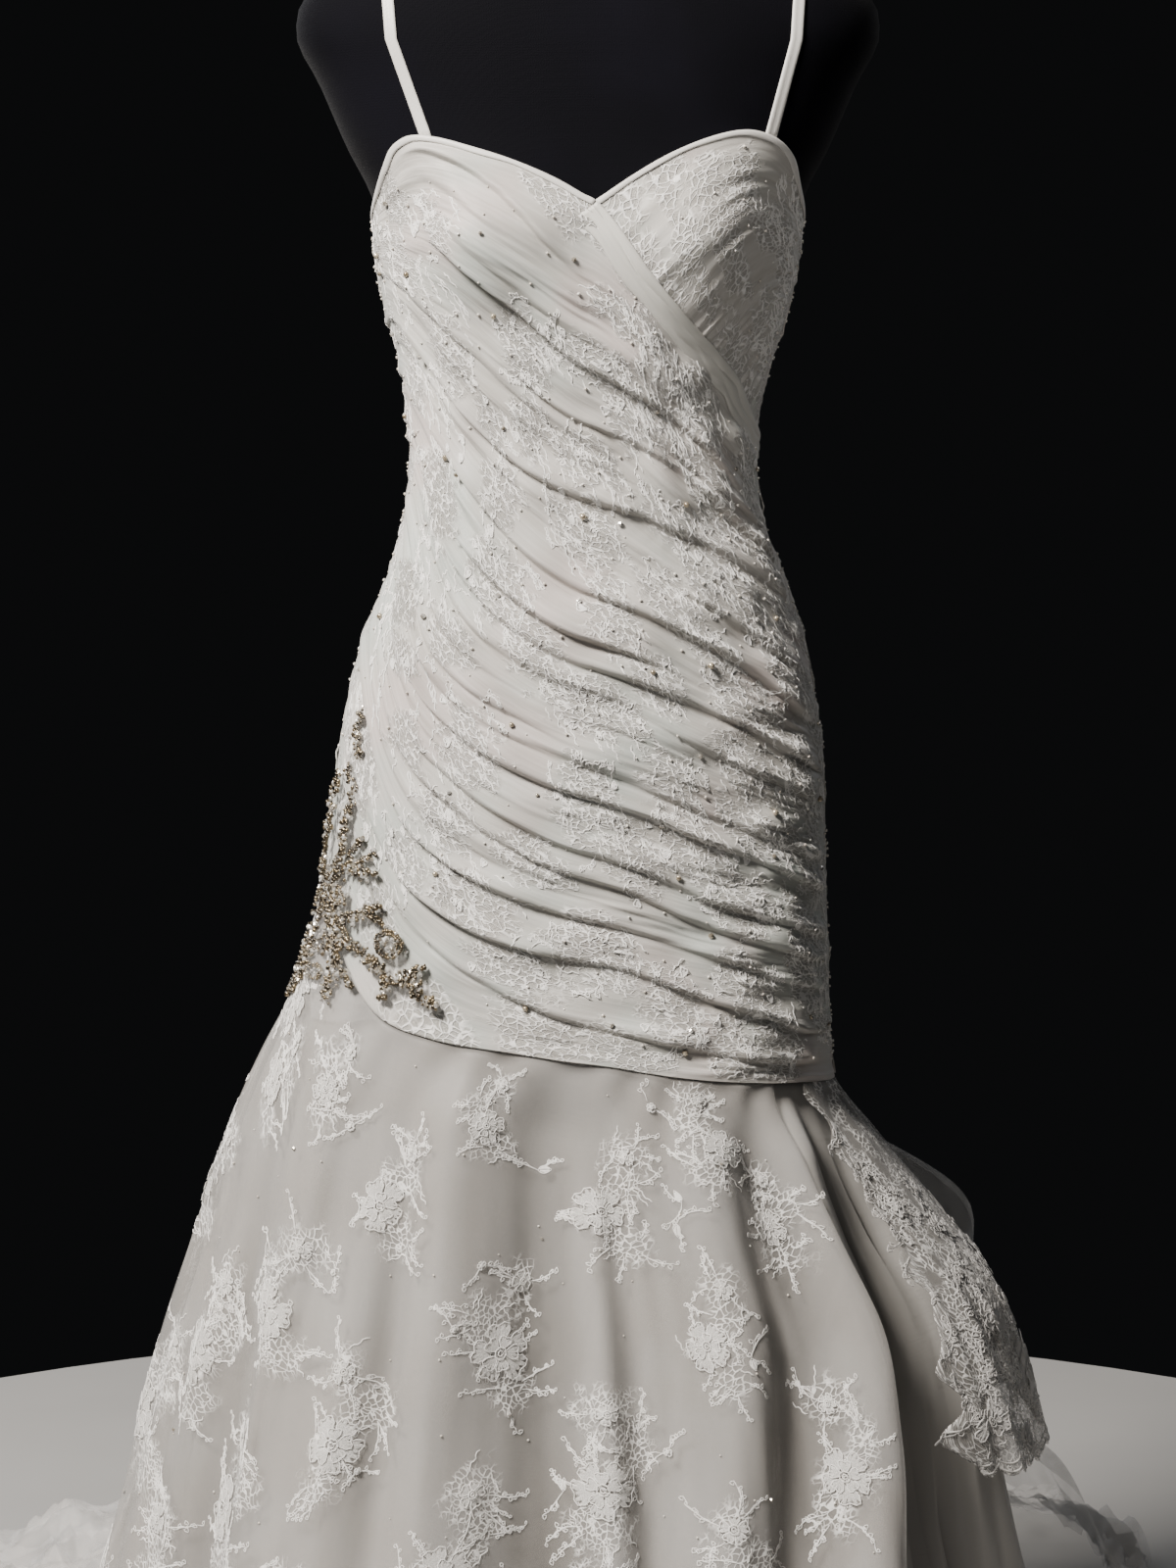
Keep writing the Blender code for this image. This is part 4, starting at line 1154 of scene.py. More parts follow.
class Beads:
    """Many small stones made as one piece: one ball is copied, and the copies are placed."""

    SQUASH, SUNK, TWIST = 0.8, 0.75, 1.7
    LEANING = (0.31, 0.17, 0.94)  # no stone's normal lies along it

    def __init__(self, name: str, flat: bool) -> None:
        """Starts an empty piece, of stones with flat cut faces or of round ones."""
        self.name, self.flat = name, flat
        self.stones: list[tuple[Array, Array, Array]] = []

    def add(self, surface: Surface, spots: Array, radii: Array, lift: Array | float = 0.0) -> None:
        """Adds stones that sit on a surface.

        Args:
            surface: The surface.
            spots: Where they are on it, a row for each.
            radii: Their radii.
            lift: How far they stand off it.
        """
        points, normals, _, _ = surface.frame(spots[:, 0], spots[:, 1])
        lifted = points + normals * np.broadcast_to(lift, radii.shape)[:, None]
        self.stones.append((lifted, normals, radii))

    @staticmethod
    def balls(count: int) -> tuple[bmesh.types.BMesh, int]:
        """Copies one ball, doubling the copies until there are enough.

        Args:
            count: How many balls are needed.

        Returns:
            The balls, and how many corners each has.
        """
        shell = bmesh.new()
        bmesh.ops.create_icosphere(shell, subdivisions=1, radius=1.0)
        corners, made = len(shell.verts), 1
        while made < count:
            more = min(made, count - made)
            shell.verts.ensure_lookup_table()
            copied = shell.verts[: more * corners]
            kept = set(copied)
            parts = [part for part in (*shell.edges, *shell.faces) if part.verts[0] in kept]
            bmesh.ops.duplicate(shell, geom=[*copied, *parts])
            made += more
        return shell, corners

    def build(self) -> Piece:
        """Turns every ball to its stone's normal and sets it in its place.

        Returns:
            The finished piece.
        """
        places, normals, radii = (np.concatenate(column) for column in zip(*self.stones))
        shell, corners = self.balls(len(radii))
        mesh = to_mesh(self.name, shell)
        ball = points_of(mesh).reshape(len(radii), corners, 3) * (1.0, 1.0, self.SQUASH)
        side = unit(np.cross(normals, self.LEANING))
        twist = np.arange(len(radii)) * self.TWIST
        first = side * np.cos(twist)[:, None] + np.cross(normals, side) * np.sin(twist)[:, None]
        axes = np.stack([first, np.cross(normals, first), normals], axis=1)
        middles = places + normals * (radii * self.SQUASH * self.SUNK)[:, None]
        spots = np.einsum("nvk,nkc->nvc", ball, axes) * radii[:, None, None] + middles[:, None]
        return to_piece(mesh, spots, soft=not self.flat)


# ------------------------------------------------------------------ bodice


@dataclass
class WrappedFront:
    """The ruched front that wraps from the wearer's right cup to the left side seam."""

    thickness: float = 0.0014
    length: float = 0.62
    columns: int = 112
    seam_nudge: float = 0.08
    proud: float = 0.0015
    hem_turn: float = 0.008
    band_cover: tuple[float, float] = (0.008, 0.019)  # under the neck's binding and the fold
    pit: float = 0.25  # how much of a dip below the figure is kept
    flat_at_seam: float = 0.62
    flat_at_hem: float = 0.4
    rumples: tuple[Rumple, ...] = (
        Rumple(0.0016, 34.0, 9.0, 31), Rumple(0.0015, 30.0, 32.0, 32), Rumple(0.0007, 20.0, 70.0, 33),
    )  # fmt: skip
    marks: tuple[float, ...] = (-60.0, -30.0, 0.0, 30.0, 60.0)
    folds: tuple[Fold, ...] = tuple(Fold(*row) for row in (
        (0.004, 0.012, 0.034, 0.027, 0.018, 0.0020, 8, 70),
        (0.012, 0.033, 0.082, 0.060, 0.050, 0.0035, -48, 14),
        (0.045, 0.086, 0.105, 0.085, 0.075, 0.0022, -50, -12),
        (0.070, 0.118, 0.125, 0.112, 0.092, 0.0025, 28, 84),
        (0.100, 0.132, 0.150, 0.120, 0.118, 0.0024, -44, 50),
        (0.135, 0.168, 0.182, 0.142, 0.150, 0.0045, -46, 62),
        (0.180, 0.205, 0.212, 0.186, 0.178, 0.0030, 6, 84),
        (0.225, 0.249, 0.248, 0.201, 0.212, 0.0040, -26, 86),
        (0.268, 0.276, 0.270, 0.225, 0.226, 0.0024, -100, 10),
        (0.304, 0.310, 0.294, 0.250, 0.242, 0.0020, -60, 30),
        (0.355, 0.366, 0.335, 0.283, 0.268, 0.0038, -104, 86),
        (0.390, 0.390, 0.366, 0.330, 0.325, 0.0026, -92, 4),
        (0.405, 0.404, 0.388, 0.372, 0.390, 0.0028, 14, 84),
        (0.440, 0.445, 0.443, 0.431, 0.455, 0.0045, -104, 84),
        (0.470, 0.478, 0.472, 0.460, 0.478, 0.0022, -104, -10),
        (0.505, 0.508, 0.500, 0.490, 0.500, 0.0045, -104, 24),
        (0.532, 0.537, 0.530, 0.518, 0.530, 0.0040, -104, 84),
        (0.568, 0.570, 0.563, 0.572, 0.580, 0.0028, -50, 84),
        (0.600, 0.604, 0.592, 0.602, 0.610, 0.0032, -104, -8),
        (0.636, 0.637, 0.625, 0.632, 0.640, 0.0034, -104, 2),
        (0.664, 0.665, 0.652, 0.657, 0.668, 0.0030, -104, 84),
        (0.694, 0.694, 0.687, 0.694, 0.710, 0.0045, -104, 86),
        (0.722, 0.722, 0.718, 0.732, 0.746, 0.0022, -104, -16),
        (0.752, 0.750, 0.748, 0.770, 0.783, 0.0038, -104, 86),
        (0.782, 0.780, 0.782, 0.806, 0.818, 0.0035, -104, 84),
        (0.812, 0.812, 0.806, 0.826, 0.838, 0.0022, -104, 10),
        (0.848, 0.842, 0.834, 0.846, 0.862, 0.0040, -104, 84),
        (0.905, 0.902, 0.884, 0.900, 0.930, 0.0045, -104, 86),
        (0.935, 0.939, 0.957, 0.968, 0.975, 0.0035, -96, 80),
        (0.958, 0.964, 0.984, 0.990, 0.990, 0.0022, -100, -14),
    ))  # fmt: skip
    gathered: Table = Table((
        (0.0, 0.0), (0.10, 0.030), (0.20, 0.070), (0.355, 0.170), (0.45, 0.262), (0.534, 0.350),
        (0.614, 0.420), (0.70, 0.500), (0.806, 0.610), (0.90, 0.720), (0.97, 0.860), (1.0, 1.0),
    ))  # fmt: skip
    pull: Table = Table((
        (-90.0, 1.0), (-70.0, 0.93), (-58.0, 0.74), (-50.0, 0.54), (-42.0, 0.38), (-29.0, 0.21),
        (-17.0, 0.09), (0.0, 0.0), (10.0, 0.0),
    ))  # fmt: skip

    def __post_init__(self) -> None:
        """Makes the folds and the surface that beads and cords lie on."""
        self.family = FoldFamily(self.folds, self.marks, 11)
        self.surface = Surface(self.place)

    def height(self, angle: Array, down: Array) -> Array:
        """Works out heights; towards the right side seam the folds draw together and climb.

        Args:
            angle: Degrees round the figure.
            down: Shares of the way down the cloth.

        Returns:
            The height of each place.
        """
        pull = self.pull(angle)
        share = down * (1 - pull) + self.gathered(down) * pull
        top = wrap_top(angle) + (SMOOTH_TOP(angle) - wrap_top(angle)) * smooth(share, 0.0, 0.09)
        return top + (seam_height(angle) - top) * share

    def relief(self, angle: Array, down: Array) -> tuple[Array, Array, Array]:
        """Works out the folds, which lie flat under the bands, at the seams and at the hem.

        Args:
            angle: Degrees round the figure.
            down: Shares of the way down the cloth.

        Returns:
            Each point's height, how far it stands out and the painted shade of its crease.
        """
        z = self.height(angle, down)
        out, painted_fold_shade = self.family.relief(angle, z, self.height(angle, self.family.lines(angle)))
        cover = np.where(angle > V_ANGLE, self.band_cover[1], self.band_cover[0])
        seen = smooth((wrap_top(angle) - z) / cover, 0.55, 1.15)
        calm = 1.0 - 0.85 * self.pull(angle)
        out = out * seen
        for rumple, fade in zip(self.rumples, (np.sqrt(calm), calm, calm)):
            out += rumple.at(angle, down) * seen * fade
        hem = smooth(z - seam_height(angle), self.hem_turn * 1.5, self.hem_turn * 0.35)
        out = np.where(out < 0, out * self.pit, out)
        out = out * (1 - self.flat_at_seam * smooth(np.abs(angle), 55.0, 86.0))
        # the painted crease shade fades under the bands and at the hem
        return z, out * (1 - self.flat_at_hem * hem) + self.proud * hem, painted_fold_shade * seen * (1 - hem)

    def place(self, angle: Array, down: Array) -> Array:
        """Returns points of the outer face."""
        z, out, _ = self.relief(angle, down)
        return FIGURE.raised(angle, z, out)

    def build(self, patches: LacePatches, cloth: Material) -> None:
        """Makes the panel.

        Args:
            patches: Where it carries lace.
            cloth: Its material.
        """
        columns = spaced(-SIDE + self.seam_nudge, SIDE - self.seam_nudge, self.columns, 1.0)
        down = self.family.grid(columns)
        angle = np.broadcast_to(columns, down.shape)
        z, out, painted_fold_shade = self.relief(angle, down)
        piece = Cloth.lay("ruched_front", FIGURE.raised(angle, z, out), self.thickness,
                          down * self.length, lace=patches.share(angle, z), crease=painted_fold_shade)
        dress(piece, cloth, Slot.RUCHED, "front_wrap_panel")


class Pleat(NamedTuple):
    """One gather of the cup: its share of the way down the wrap's edge, crest and reach."""

    share: float
    crest: float
    width: float
    start: float
    end: float


@dataclass
class GatheredCup:
    """The wearer's left cup, gathered into the wrap's edge and smooth towards the side."""

    thickness: float = 0.0014
    length: float = 0.24
    columns: int = 64
    rows: int = 210
    tucked: float = 88.0  # how far round the cup's edge runs under the wrap
    seam_nudge: float = 0.08
    lowest: float = 0.985
    rumple: Rumple = Rumple(0.00035, 1 / 3.0, 34.0, 140)
    side: Table = Table([(0.0, 1.226), (0.2, 1.215), (0.5, 1.165), (1.0, 1.070)])
    pleats: tuple[Pleat, ...] = tuple(Pleat(*row) for row in (
        (0.070, 0.0014, 0.0085, 0.00, 0.95), (0.125, 0.0010, 0.0070, 0.10, 0.80),
        (0.175, 0.0016, 0.0090, 0.00, 0.98), (0.235, 0.0012, 0.0070, 0.20, 0.98),
        (0.285, 0.0017, 0.0080, 0.00, 0.90), (0.330, 0.0016, 0.0050, 0.00, 0.60),
        (0.360, 0.0020, 0.0042, 0.00, 0.85), (0.388, 0.0018, 0.0030, 0.00, 0.42),
        (0.412, 0.0022, 0.0036, 0.00, 0.78), (0.438, 0.0019, 0.0028, 0.00, 0.42),
        (0.462, 0.0023, 0.0036, 0.00, 0.82), (0.488, 0.0019, 0.0028, 0.00, 0.46),
        (0.512, 0.0022, 0.0032, 0.00, 0.72), (0.538, 0.0019, 0.0028, 0.00, 0.50),
        (0.562, 0.0022, 0.0034, 0.00, 0.78), (0.590, 0.0018, 0.0028, 0.00, 0.52),
        (0.618, 0.0019, 0.0032, 0.00, 0.66), (0.650, 0.0016, 0.0032, 0.00, 0.56),
        (0.690, 0.0014, 0.0036, 0.00, 0.66), (0.740, 0.0012, 0.0042, 0.00, 0.70),
    ))  # fmt: skip

    def __post_init__(self) -> None:
        """Makes the surface that beads and cords lie on; it is read by shares both ways."""
        self.surface = Surface(self.place)

    def flat(self, across: Array, share: Array) -> tuple[Array, Array]:
        """Sets out the cup between the wrap's edge and the side seam.

        Args:
            across: Shares of the way from the edge to the seam.
            share: Shares of the way down.

        Returns:
            The angle and height of each place.
        """
        edge = V_ANGLE + (self.tucked - V_ANGLE) * share
        seam = (SIDE - self.seam_nudge) * across
        top_rise = top_edge(V_ANGLE * (1 - across) + seam)
        top_rise = top_rise - (WRAP_EDGE(V_ANGLE) * (1 - across) + self.side(0.0) * across)
        level = WRAP_EDGE(edge) * (1 - across) + self.side(share) * across
        level = level + top_rise * (1 - share) ** 1.5 + 2 * SEAM_GAP * (1 - across)
        return edge * (1 - across) + seam, level

    def relief(self, across: Array, share: Array) -> tuple[Array, Array]:
        """Works out the gathers, each a round crest between two clefts.

        Args:
            across: Shares of the way from the wrap's edge to the side seam.
            share: Shares of the way down.

        Returns:
            How far each place stands out, and the painted shade in its cleft.
        """
        length = 0.245 - 0.075 * across
        out, painted_fold_shade = np.zeros_like(share), np.zeros_like(share)
        for number, pleat in enumerate(self.pleats):
            middle = pleat.share + 0.006 * wander(across * 3.0, number * 7.0, 1.4, 80 + number, 4)
            off = (share - middle) * length / pleat.width
            seen = 1 - smooth(across, pleat.end - 0.30, pleat.end)
            seen = seen * smooth(across, pleat.start - 0.06, pleat.start + 0.05)
            uneven = 1 + 0.25 * wander(across * 4.0, number * 5.0, 1.3, 120 + number, 4)
            crest = pleat.crest * seen * uneven * (1 - 0.75 * smooth(across, 0.40, 0.75))
            crest = crest * (0.55 + 0.45 * smooth(pleat.share, 0.28, 0.40))
            out += crest * (bell(off, 0.0, 0.55) - 0.35 * bell(off, 0.95, 0.32))
            # painted shade in the cleft below each gather
            painted_fold_shade = np.maximum(painted_fold_shade, bell(off, 0.92, 0.26) * np.clip(crest / 0.0030, 0, 1) * 0.4)
        out += self.rumple.at(across, share)
        return out * smooth(share, 0.012, 0.05), painted_fold_shade

    def place(self, across: Array, share: Array) -> Array:
        """Returns points of the outer face."""
        return FIGURE.raised(*self.flat(across, share), self.relief(across, share)[0])

    def build(self, patches: LacePatches, cloth: Material) -> None:
        """Makes the cup.

        Args:
            patches: Where it carries lace.
            cloth: Its material.
        """
        across, share = np.meshgrid(even(0, 1, self.columns), even(0, self.lowest, self.rows))
        lace, painted_fold_shade = patches.share(*self.flat(across, share)), self.relief(across, share)[1]
        piece = Cloth.lay("gathered_cup", self.place(across, share), self.thickness,
                          share * self.length, lace=lace, crease=painted_fold_shade)
        dress(piece, cloth, Slot.RUCHED, "left_cup")


@dataclass
class BackBodice:
    """Both halves of the back, softly draped towards the placket, which they meet under."""

    thickness: float = 0.0014
    columns: int = 56
    rows: int = 150
    seam_nudge: float = 0.08
    crest: float = 0.0022
    crest_change: float = 0.0008
    sag: float = 0.07  # how much lower a drape runs at the middle
    proud: float = 0.0030
    rumple: Rumple = Rumple(0.0006, 25.0, 9.0, 250)
    drapes: tuple[float, ...] = (
        0.06, 0.12, 0.19, 0.25, 0.33, 0.39, 0.47, 0.53, 0.60, 0.66, 0.73, 0.79, 0.86, 0.93,
    )  # fmt: skip

    def shape(self, angle: Array, down: Array) -> tuple[Array, Array, Array]:
        """Works out the drapes, each falling sharply at its lower edge.

        Args:
            angle: Degrees round the figure.
            down: Shares of the way down.

        Returns:
            Points of the outer face, their heights and the painted shade in their creases.
        """
        top, seam = top_edge(angle), seam_height(angle)
        z = top + (seam - top) * down
        out, painted_fold_shade = np.zeros_like(z), np.zeros_like(z)
        from_middle = np.abs(angle - BACK) / 90.0
        fade = smooth(from_middle, 0.10, 0.34)
        for number, share in enumerate(self.drapes):
            level = share + self.sag * (1 - from_middle) ** 1.5 * (1 - share)
            level = level + 0.008 * wander(angle / 30.0, number * 3.0, 1.5, 200 + number, 4)
            off = (down - level) * (top - seam)
            crest = (self.crest + self.crest_change * math.sin(number * 2.3)) * fade
            crest = crest * (1 + 0.3 * wander(angle / 20.0, number * 9.0, 1.5, 230 + number, 4))
            ramp = np.exp(np.minimum(off, 0.0) / 0.010) * (off <= 0)
            drop = np.exp(-np.maximum(off, 0.0) / 0.0022) * (off > 0)
            out += crest * (ramp + drop)
            # painted shade just under each drape's lower edge
            painted_fold_shade = np.maximum(painted_fold_shade, bell(off, 0.0035, 0.0018) * np.clip(crest / 0.003, 0, 1) * 0.8)
        out = (out + self.rumple.at(angle, down)) * smooth(down, 0.010, 0.035)
        hem = smooth(z - seam, 0.024, 0.006)
        return FIGURE.raised(angle, z, out * (1 - 0.8 * hem) + self.proud * hem), z, painted_fold_shade

    def build(self, patches: LacePatches, cloth: Material) -> None:
        """Makes both halves.

        Args:
            patches: Where they carry lace.
            cloth: Their material.
        """
        for side, first in (("left", SIDE), ("right", BACK)):
            last = first + 90.0 - self.seam_nudge
            columns = spaced(first + self.seam_nudge, last, self.columns, 1.0)
            points, z, painted_fold_shade = self.shape(*np.meshgrid(columns, even(0.0, 1.0, self.rows)))
            lace = patches.share(turn(columns), z)
            piece = Cloth.lay(f"draped_back_{side}", points, self.thickness, lace=lace, crease=painted_fold_shade)
            dress(piece, cloth, Slot.RUCHED, f"back_{side}_panel")


@dataclass
class EdgeBands:
    """The bound neckline and the folded band along the wrap's edge."""

    wall: float = 0.0005
    columns: int = 96
    more_columns: int = 24  # the folded band's, besides
    neck_wave: float = 0.0004
    wrap_wave: float = 0.0011
    neck_profile: Rows = (
        (0.0038, -0.0022), (0.0010, -0.0024), (-0.0006, -0.0020), (-0.0011, -0.0009),
        (-0.0010, 0.0002), (-0.0004, 0.0009), (0.0008, 0.0012), (0.0022, 0.0012),
        (0.0032, 0.0010), (0.0036, 0.0006), (0.0037, 0.0002),
    )  # fmt: skip
    wrap_profile: Rows = (
        (0.0040, 0.0004), (0.0008, 0.0003), (-0.0010, 0.0006), (-0.0013, 0.0012),
        (-0.0005, 0.0020), (0.0010, 0.0026), (0.0030, 0.0024), (0.0048, 0.0014), (0.0056, 0.0012),
        (0.0066, 0.0020), (0.0086, 0.0024), (0.0104, 0.0020), (0.0116, 0.0011), (0.0124, 0.0012),
        (0.0136, 0.0018), (0.0152, 0.0018), (0.0164, 0.0011), (0.0172, 0.0005),
    )  # fmt: skip
    merge: float = 0.030

    @staticmethod
    def along(angle: Array, z: Array, profile: Rows, wave: float, emerges: float) -> Array:
        """Lays a profile along an edge.

        Args:
            angle: The edge's angles.
            z: Its heights.
            profile: Each row's distance below the edge and its height off the figure.
            wave: How far the rows wander up and down.
            emerges: The length over which the band rises out of the cloth at its start.

        Returns:
            Points by row and column.
        """
        least = 0.0005
        edge = FIGURE.point(angle, z)
        below = np.cross(unit(np.gradient(edge, axis=0)), FIGURE.outward(angle, z))
        below *= np.where(below[:, 2:] > 0, -1.0, 1.0)
        degree = FIGURE.point(angle + 0.5, z) - FIGURE.point(angle - 0.5, z)
        step = np.linalg.norm(degree, axis=-1)
        run = run_along(edge)
        rows = []
        for number, (drop, lift) in enumerate(profile):
            if emerges:
                lift = least + (lift - least) * (0.25 + 0.75 * smooth(run, 0.0, emerges))
            drop = drop + wave * wander(angle / 14.0, number * 0.15, 1.0, 300) * (drop > 0.002)
            at = angle + drop * (below * unit(degree)).sum(-1) / step
            rows.append(FIGURE.raised(at, z + drop * below[:, 2], lift))
        return np.array(rows)

    def build(self, satin: Material, folded: Material) -> None:
        """Makes the three bands.

        Args:
            satin: The bindings' material.
            folded: The folded band's material.
        """
        right = spaced(-SIDE + 0.1, V_ANGLE - 0.01, self.columns, 1.2)
        left = spaced(V_ANGLE + 0.01, SIDE - 0.1, self.columns, 1.2)
        wrap = spaced(V_ANGLE + 0.15, SIDE - 0.4, self.columns + self.more_columns, 1.2)
        neck = self.neck_profile, self.neck_wave, 0.0
        fold = self.wrap_profile, self.wrap_wave, self.merge
        for name, node, angle, z, lie, cloth in (
            ("neck_binding_right", "neck_band_right", right, top_edge(right), neck, satin),
            ("neck_binding_left", "neck_band_left", left, top_edge(left), neck, satin),
            ("wrap_edge_fold", "wrap_edge_band", wrap, WRAP_EDGE(wrap), fold, folded),
        ):
            piece = Cloth.lay(name, self.along(angle, z, *lie), self.wall, crease=0.0)
            dress(piece, cloth, Slot.TRIM, node)


@dataclass
class Fastening:
    """The placket at the centre back and its row of covered buttons, all fastened."""

    half: float = 0.0085
    lift: float = 0.0022
    under: float = 0.0010
    wall: float = 0.0006
    foot: float = 0.62
    rows: int = 60
    count: int = 12
    pitch: float = 0.0275
    top_drop: float = 0.016
    radius: float = 0.0047
    height: float = 0.0036
    profile: Rows = (
        (-1.0, 0.0), (-0.92, 0.6), (-0.80, 0.95), (-0.70, 0.86), (-0.4, 1.0), (0.0, 1.05),
        (0.4, 1.0), (0.70, 0.86), (0.80, 0.95), (0.92, 0.6), (1.0, 0.0),
    )  # fmt: skip
    rings: Rows = ((1.0, 0.22), (0.98, 0.42), (0.84, 0.62), (0.55, 0.84), (0.22, 0.97), (0.05, 1.0))

    def build(self, satin: Material) -> None:
        """Makes the placket and the buttons.

        Args:
            satin: Their material.
        """
        top, seam = float(top_edge(BACK)), float(seam_height(BACK))
        z = even(top + 0.0006, top + (seam - top) * self.foot, self.rows)[:, None]
        degree = np.linalg.norm(FIGURE.point(BACK + 1.0, 1.0) - FIGURE.point(BACK, 1.0))
        side, rise = np.array(self.profile).T
        out = self.under + self.lift * 0.6 * rise
        points = FIGURE.raised(*np.broadcast_arrays(BACK + side * self.half / degree, z), out)
        piece = Cloth.lay("button_placket", points, self.wall, crease=0.0)
        dress(piece, satin, Slot.TRIM, "back_placket")
        for number in range(self.count):
            z = top - self.top_drop - self.pitch * number
            self.button(number + 1, z, satin)

    def button(self, number: int, z: float, satin: Material) -> None:
        """Makes one domed button with a rolled rim.

        Args:
            number: Its number, from the top.
            z: The height of its middle.
            satin: Its material.
        """
        normal = FIGURE.outward(np.array(BACK), np.array(z))
        place = Matrix.Translation(FIGURE.point(BACK, z) + normal * (self.under + self.lift * 0.63))
        shell = bmesh.new()
        bmesh.ops.create_circle(shell, cap_ends=True, segments=20, radius=self.radius * 0.90)
        shell.faces.ensure_lookup_table()
        face = shell.faces[0]
        for share, rise in self.rings:
            raised = bmesh.ops.extrude_face_region(shell, geom=[face])["geom"]
            if share < 1.0:
                bmesh.ops.delete(shell, geom=[face], context="FACES_ONLY")
            face = next(item for item in raised if isinstance(item, bmesh.types.BMFace))
            for vertex in face.verts:
                flat = vertex.co.xy.normalized() * self.radius * share
                vertex.co = (*flat, rise * self.height)
        bmesh.ops.recalc_face_normals(shell, faces=shell.faces)
        turned = Vector(normal).to_track_quat("Z", "Y").to_matrix().to_4x4()
        bmesh.ops.transform(shell, matrix=place @ turned, verts=shell.verts)
        piece = to_piece(to_mesh(f"covered_button_{number:02d}", shell))
        dress(piece, satin, Slot.TRIM, f"back_button_{number:02d}")


class Strap(NamedTuple):
    """Where one strap starts in front, crosses the shoulder and ends behind."""

    side: str
    front_x: float
    shoulder_x: float
    back_x: float


@dataclass
class ShoulderStraps:
    """Two narrow satin straps, laid over the form's shoulders."""

    straps: tuple[Strap, ...] = (
        Strap("right", -0.1155, -0.150, -0.098),
        Strap("left", 0.1300, 0.156, 0.098),
    )
    front_z: float = 1.2830
    back_z: float = 1.1860
    tucked: float = 0.004
    pivot: float = 1.350
    upright_share: float = 0.7
    width: float = 0.0088
    wall: float = 0.0005
    profile: Rows = (
        (-0.5, 0.0006), (-0.47, 0.0014), (-0.34, 0.0019), (-0.16, 0.0016), (0.0, 0.0015),
        (0.16, 0.0016), (0.34, 0.0019), (0.47, 0.0014), (0.5, 0.0006),
    )  # fmt: skip

    def build(self, torso: Piece, satin: Material) -> None:
        """Makes both straps on the torso: up the chest, over the shoulder and down the back.

        Args:
            torso: The form that they lie on.
            satin: Their material.
        """
        body = BVHTree.FromObject(torso, bpy.context.evaluated_depsgraph_get())
        rays = [(z, 0.0) for z in even(self.front_z - self.tucked, self.pivot, 12)]
        rays += [(self.pivot, tilt) for tilt in even(0.0, 180.0, 49)[1:]]
        rays += [(z, 180.0) for z in even(self.pivot, self.back_z - self.tucked, 24)[1:]]
        for strap in self.straps:
            points = np.array([self.row(body, strap, float(z), float(tilt)) for z, tilt in rays[::-1]])
            piece = Cloth.lay(f"shoulder_strap_{strap.side}", points, self.wall, crease=0.0)
            dress(piece, satin, Slot.TRIM, f"strap_{strap.side}")

    def row(self, body: BVHTree, strap: Strap, z: float, tilt: float) -> list[Vector]:
        """Finds one row of points across a strap.

        Args:
            body: The torso.
            strap: The strap.
            z: The height that the rays start from.
            tilt: Their tilt, from 0 ahead to 180 behind.

        Returns:
            The points.
        """
        behind = tilt >= 90.0
        end_x, end_z = (strap.back_x, self.back_z) if behind else (strap.front_x, self.front_z)
        risen = (z - end_z) / (self.pivot - end_z) * self.upright_share
        over = min(tilt, 180.0 - tilt) / 90.0 * (1.0 - self.upright_share)
        x = end_x + (strap.shoulder_x - end_x) * (risen + over)
        heading = Vector((0.0, -math.cos(math.radians(tilt)), math.sin(math.radians(tilt))))
        made = []
        for side, lift in self.profile:
            place, normal, _, _ = body.ray_cast(Vector((x + side * self.width, 0.0, z)), heading)
            made.append(place + normal * lift)
        return made


# ------------------------------------------------------------------ skirt


class Flute(NamedTuple):
    """One upright soft fold: its place, half-width, height at the floor and lean."""

    angle: float
    width: float
    height: float
    lean: float = 0.0


class Crease(NamedTuple):
    """A soft fold with one steep side: its angle at the seam and the floor, height and turn."""

    seam: float
    floor: float
    height: float
    steep: float
    width: float


SKIRT_FLUTES = (
    Flute(-96, 12, 0.013, -4), Flute(-76, 9, 0.016, -4), Flute(-53, 10, 0.032, 25),
    Flute(-20, 7, 0.044, 2), Flute(-6, 8, -0.040, 4), Flute(24, 6.5, 0.030, -12),
    Flute(38, 6, -0.010, -22), Flute(49, 6.5, 0.042, -21), Flute(76, 9, 0.016, 3),
    Flute(98, 10, 0.018, 4), Flute(124, 11, 0.026, 5), Flute(152, 12, 0.032, 2),
    Flute(181, 12, 0.032), Flute(209, 12, 0.032, -2), Flute(237, 11, 0.026, -5),
)  # fmt: skip
SKIRT_CREASES = (
    Crease(1.0, 7.5, 0.0280, 1.0, 8.0), Crease(-31.0, -25.0, 0.0260, 1.0, 8.0),
    Crease(27.0, 20.0, 0.0050, 1.0, 6.0), Crease(-60.0, -60.0, 0.0120, 1.0, 9.0),
    Crease(-41.0, -46.0, 0.0070, 1.0, 6.0), Crease(-80.0, -82.0, 0.0080, 1.0, 6.0),
    Crease(66.0, 70.0, 0.0060, -1.0, 7.0), Crease(100.0, 104.0, 0.0080, 1.0, 8.0),
    Crease(140.0, 143.0, 0.0080, -1.0, 9.0), Crease(192.0, 194.0, 0.0080, 1.0, 9.0),
    Crease(226.0, 222.0, 0.0080, -1.0, 9.0),
)  # fmt: skip


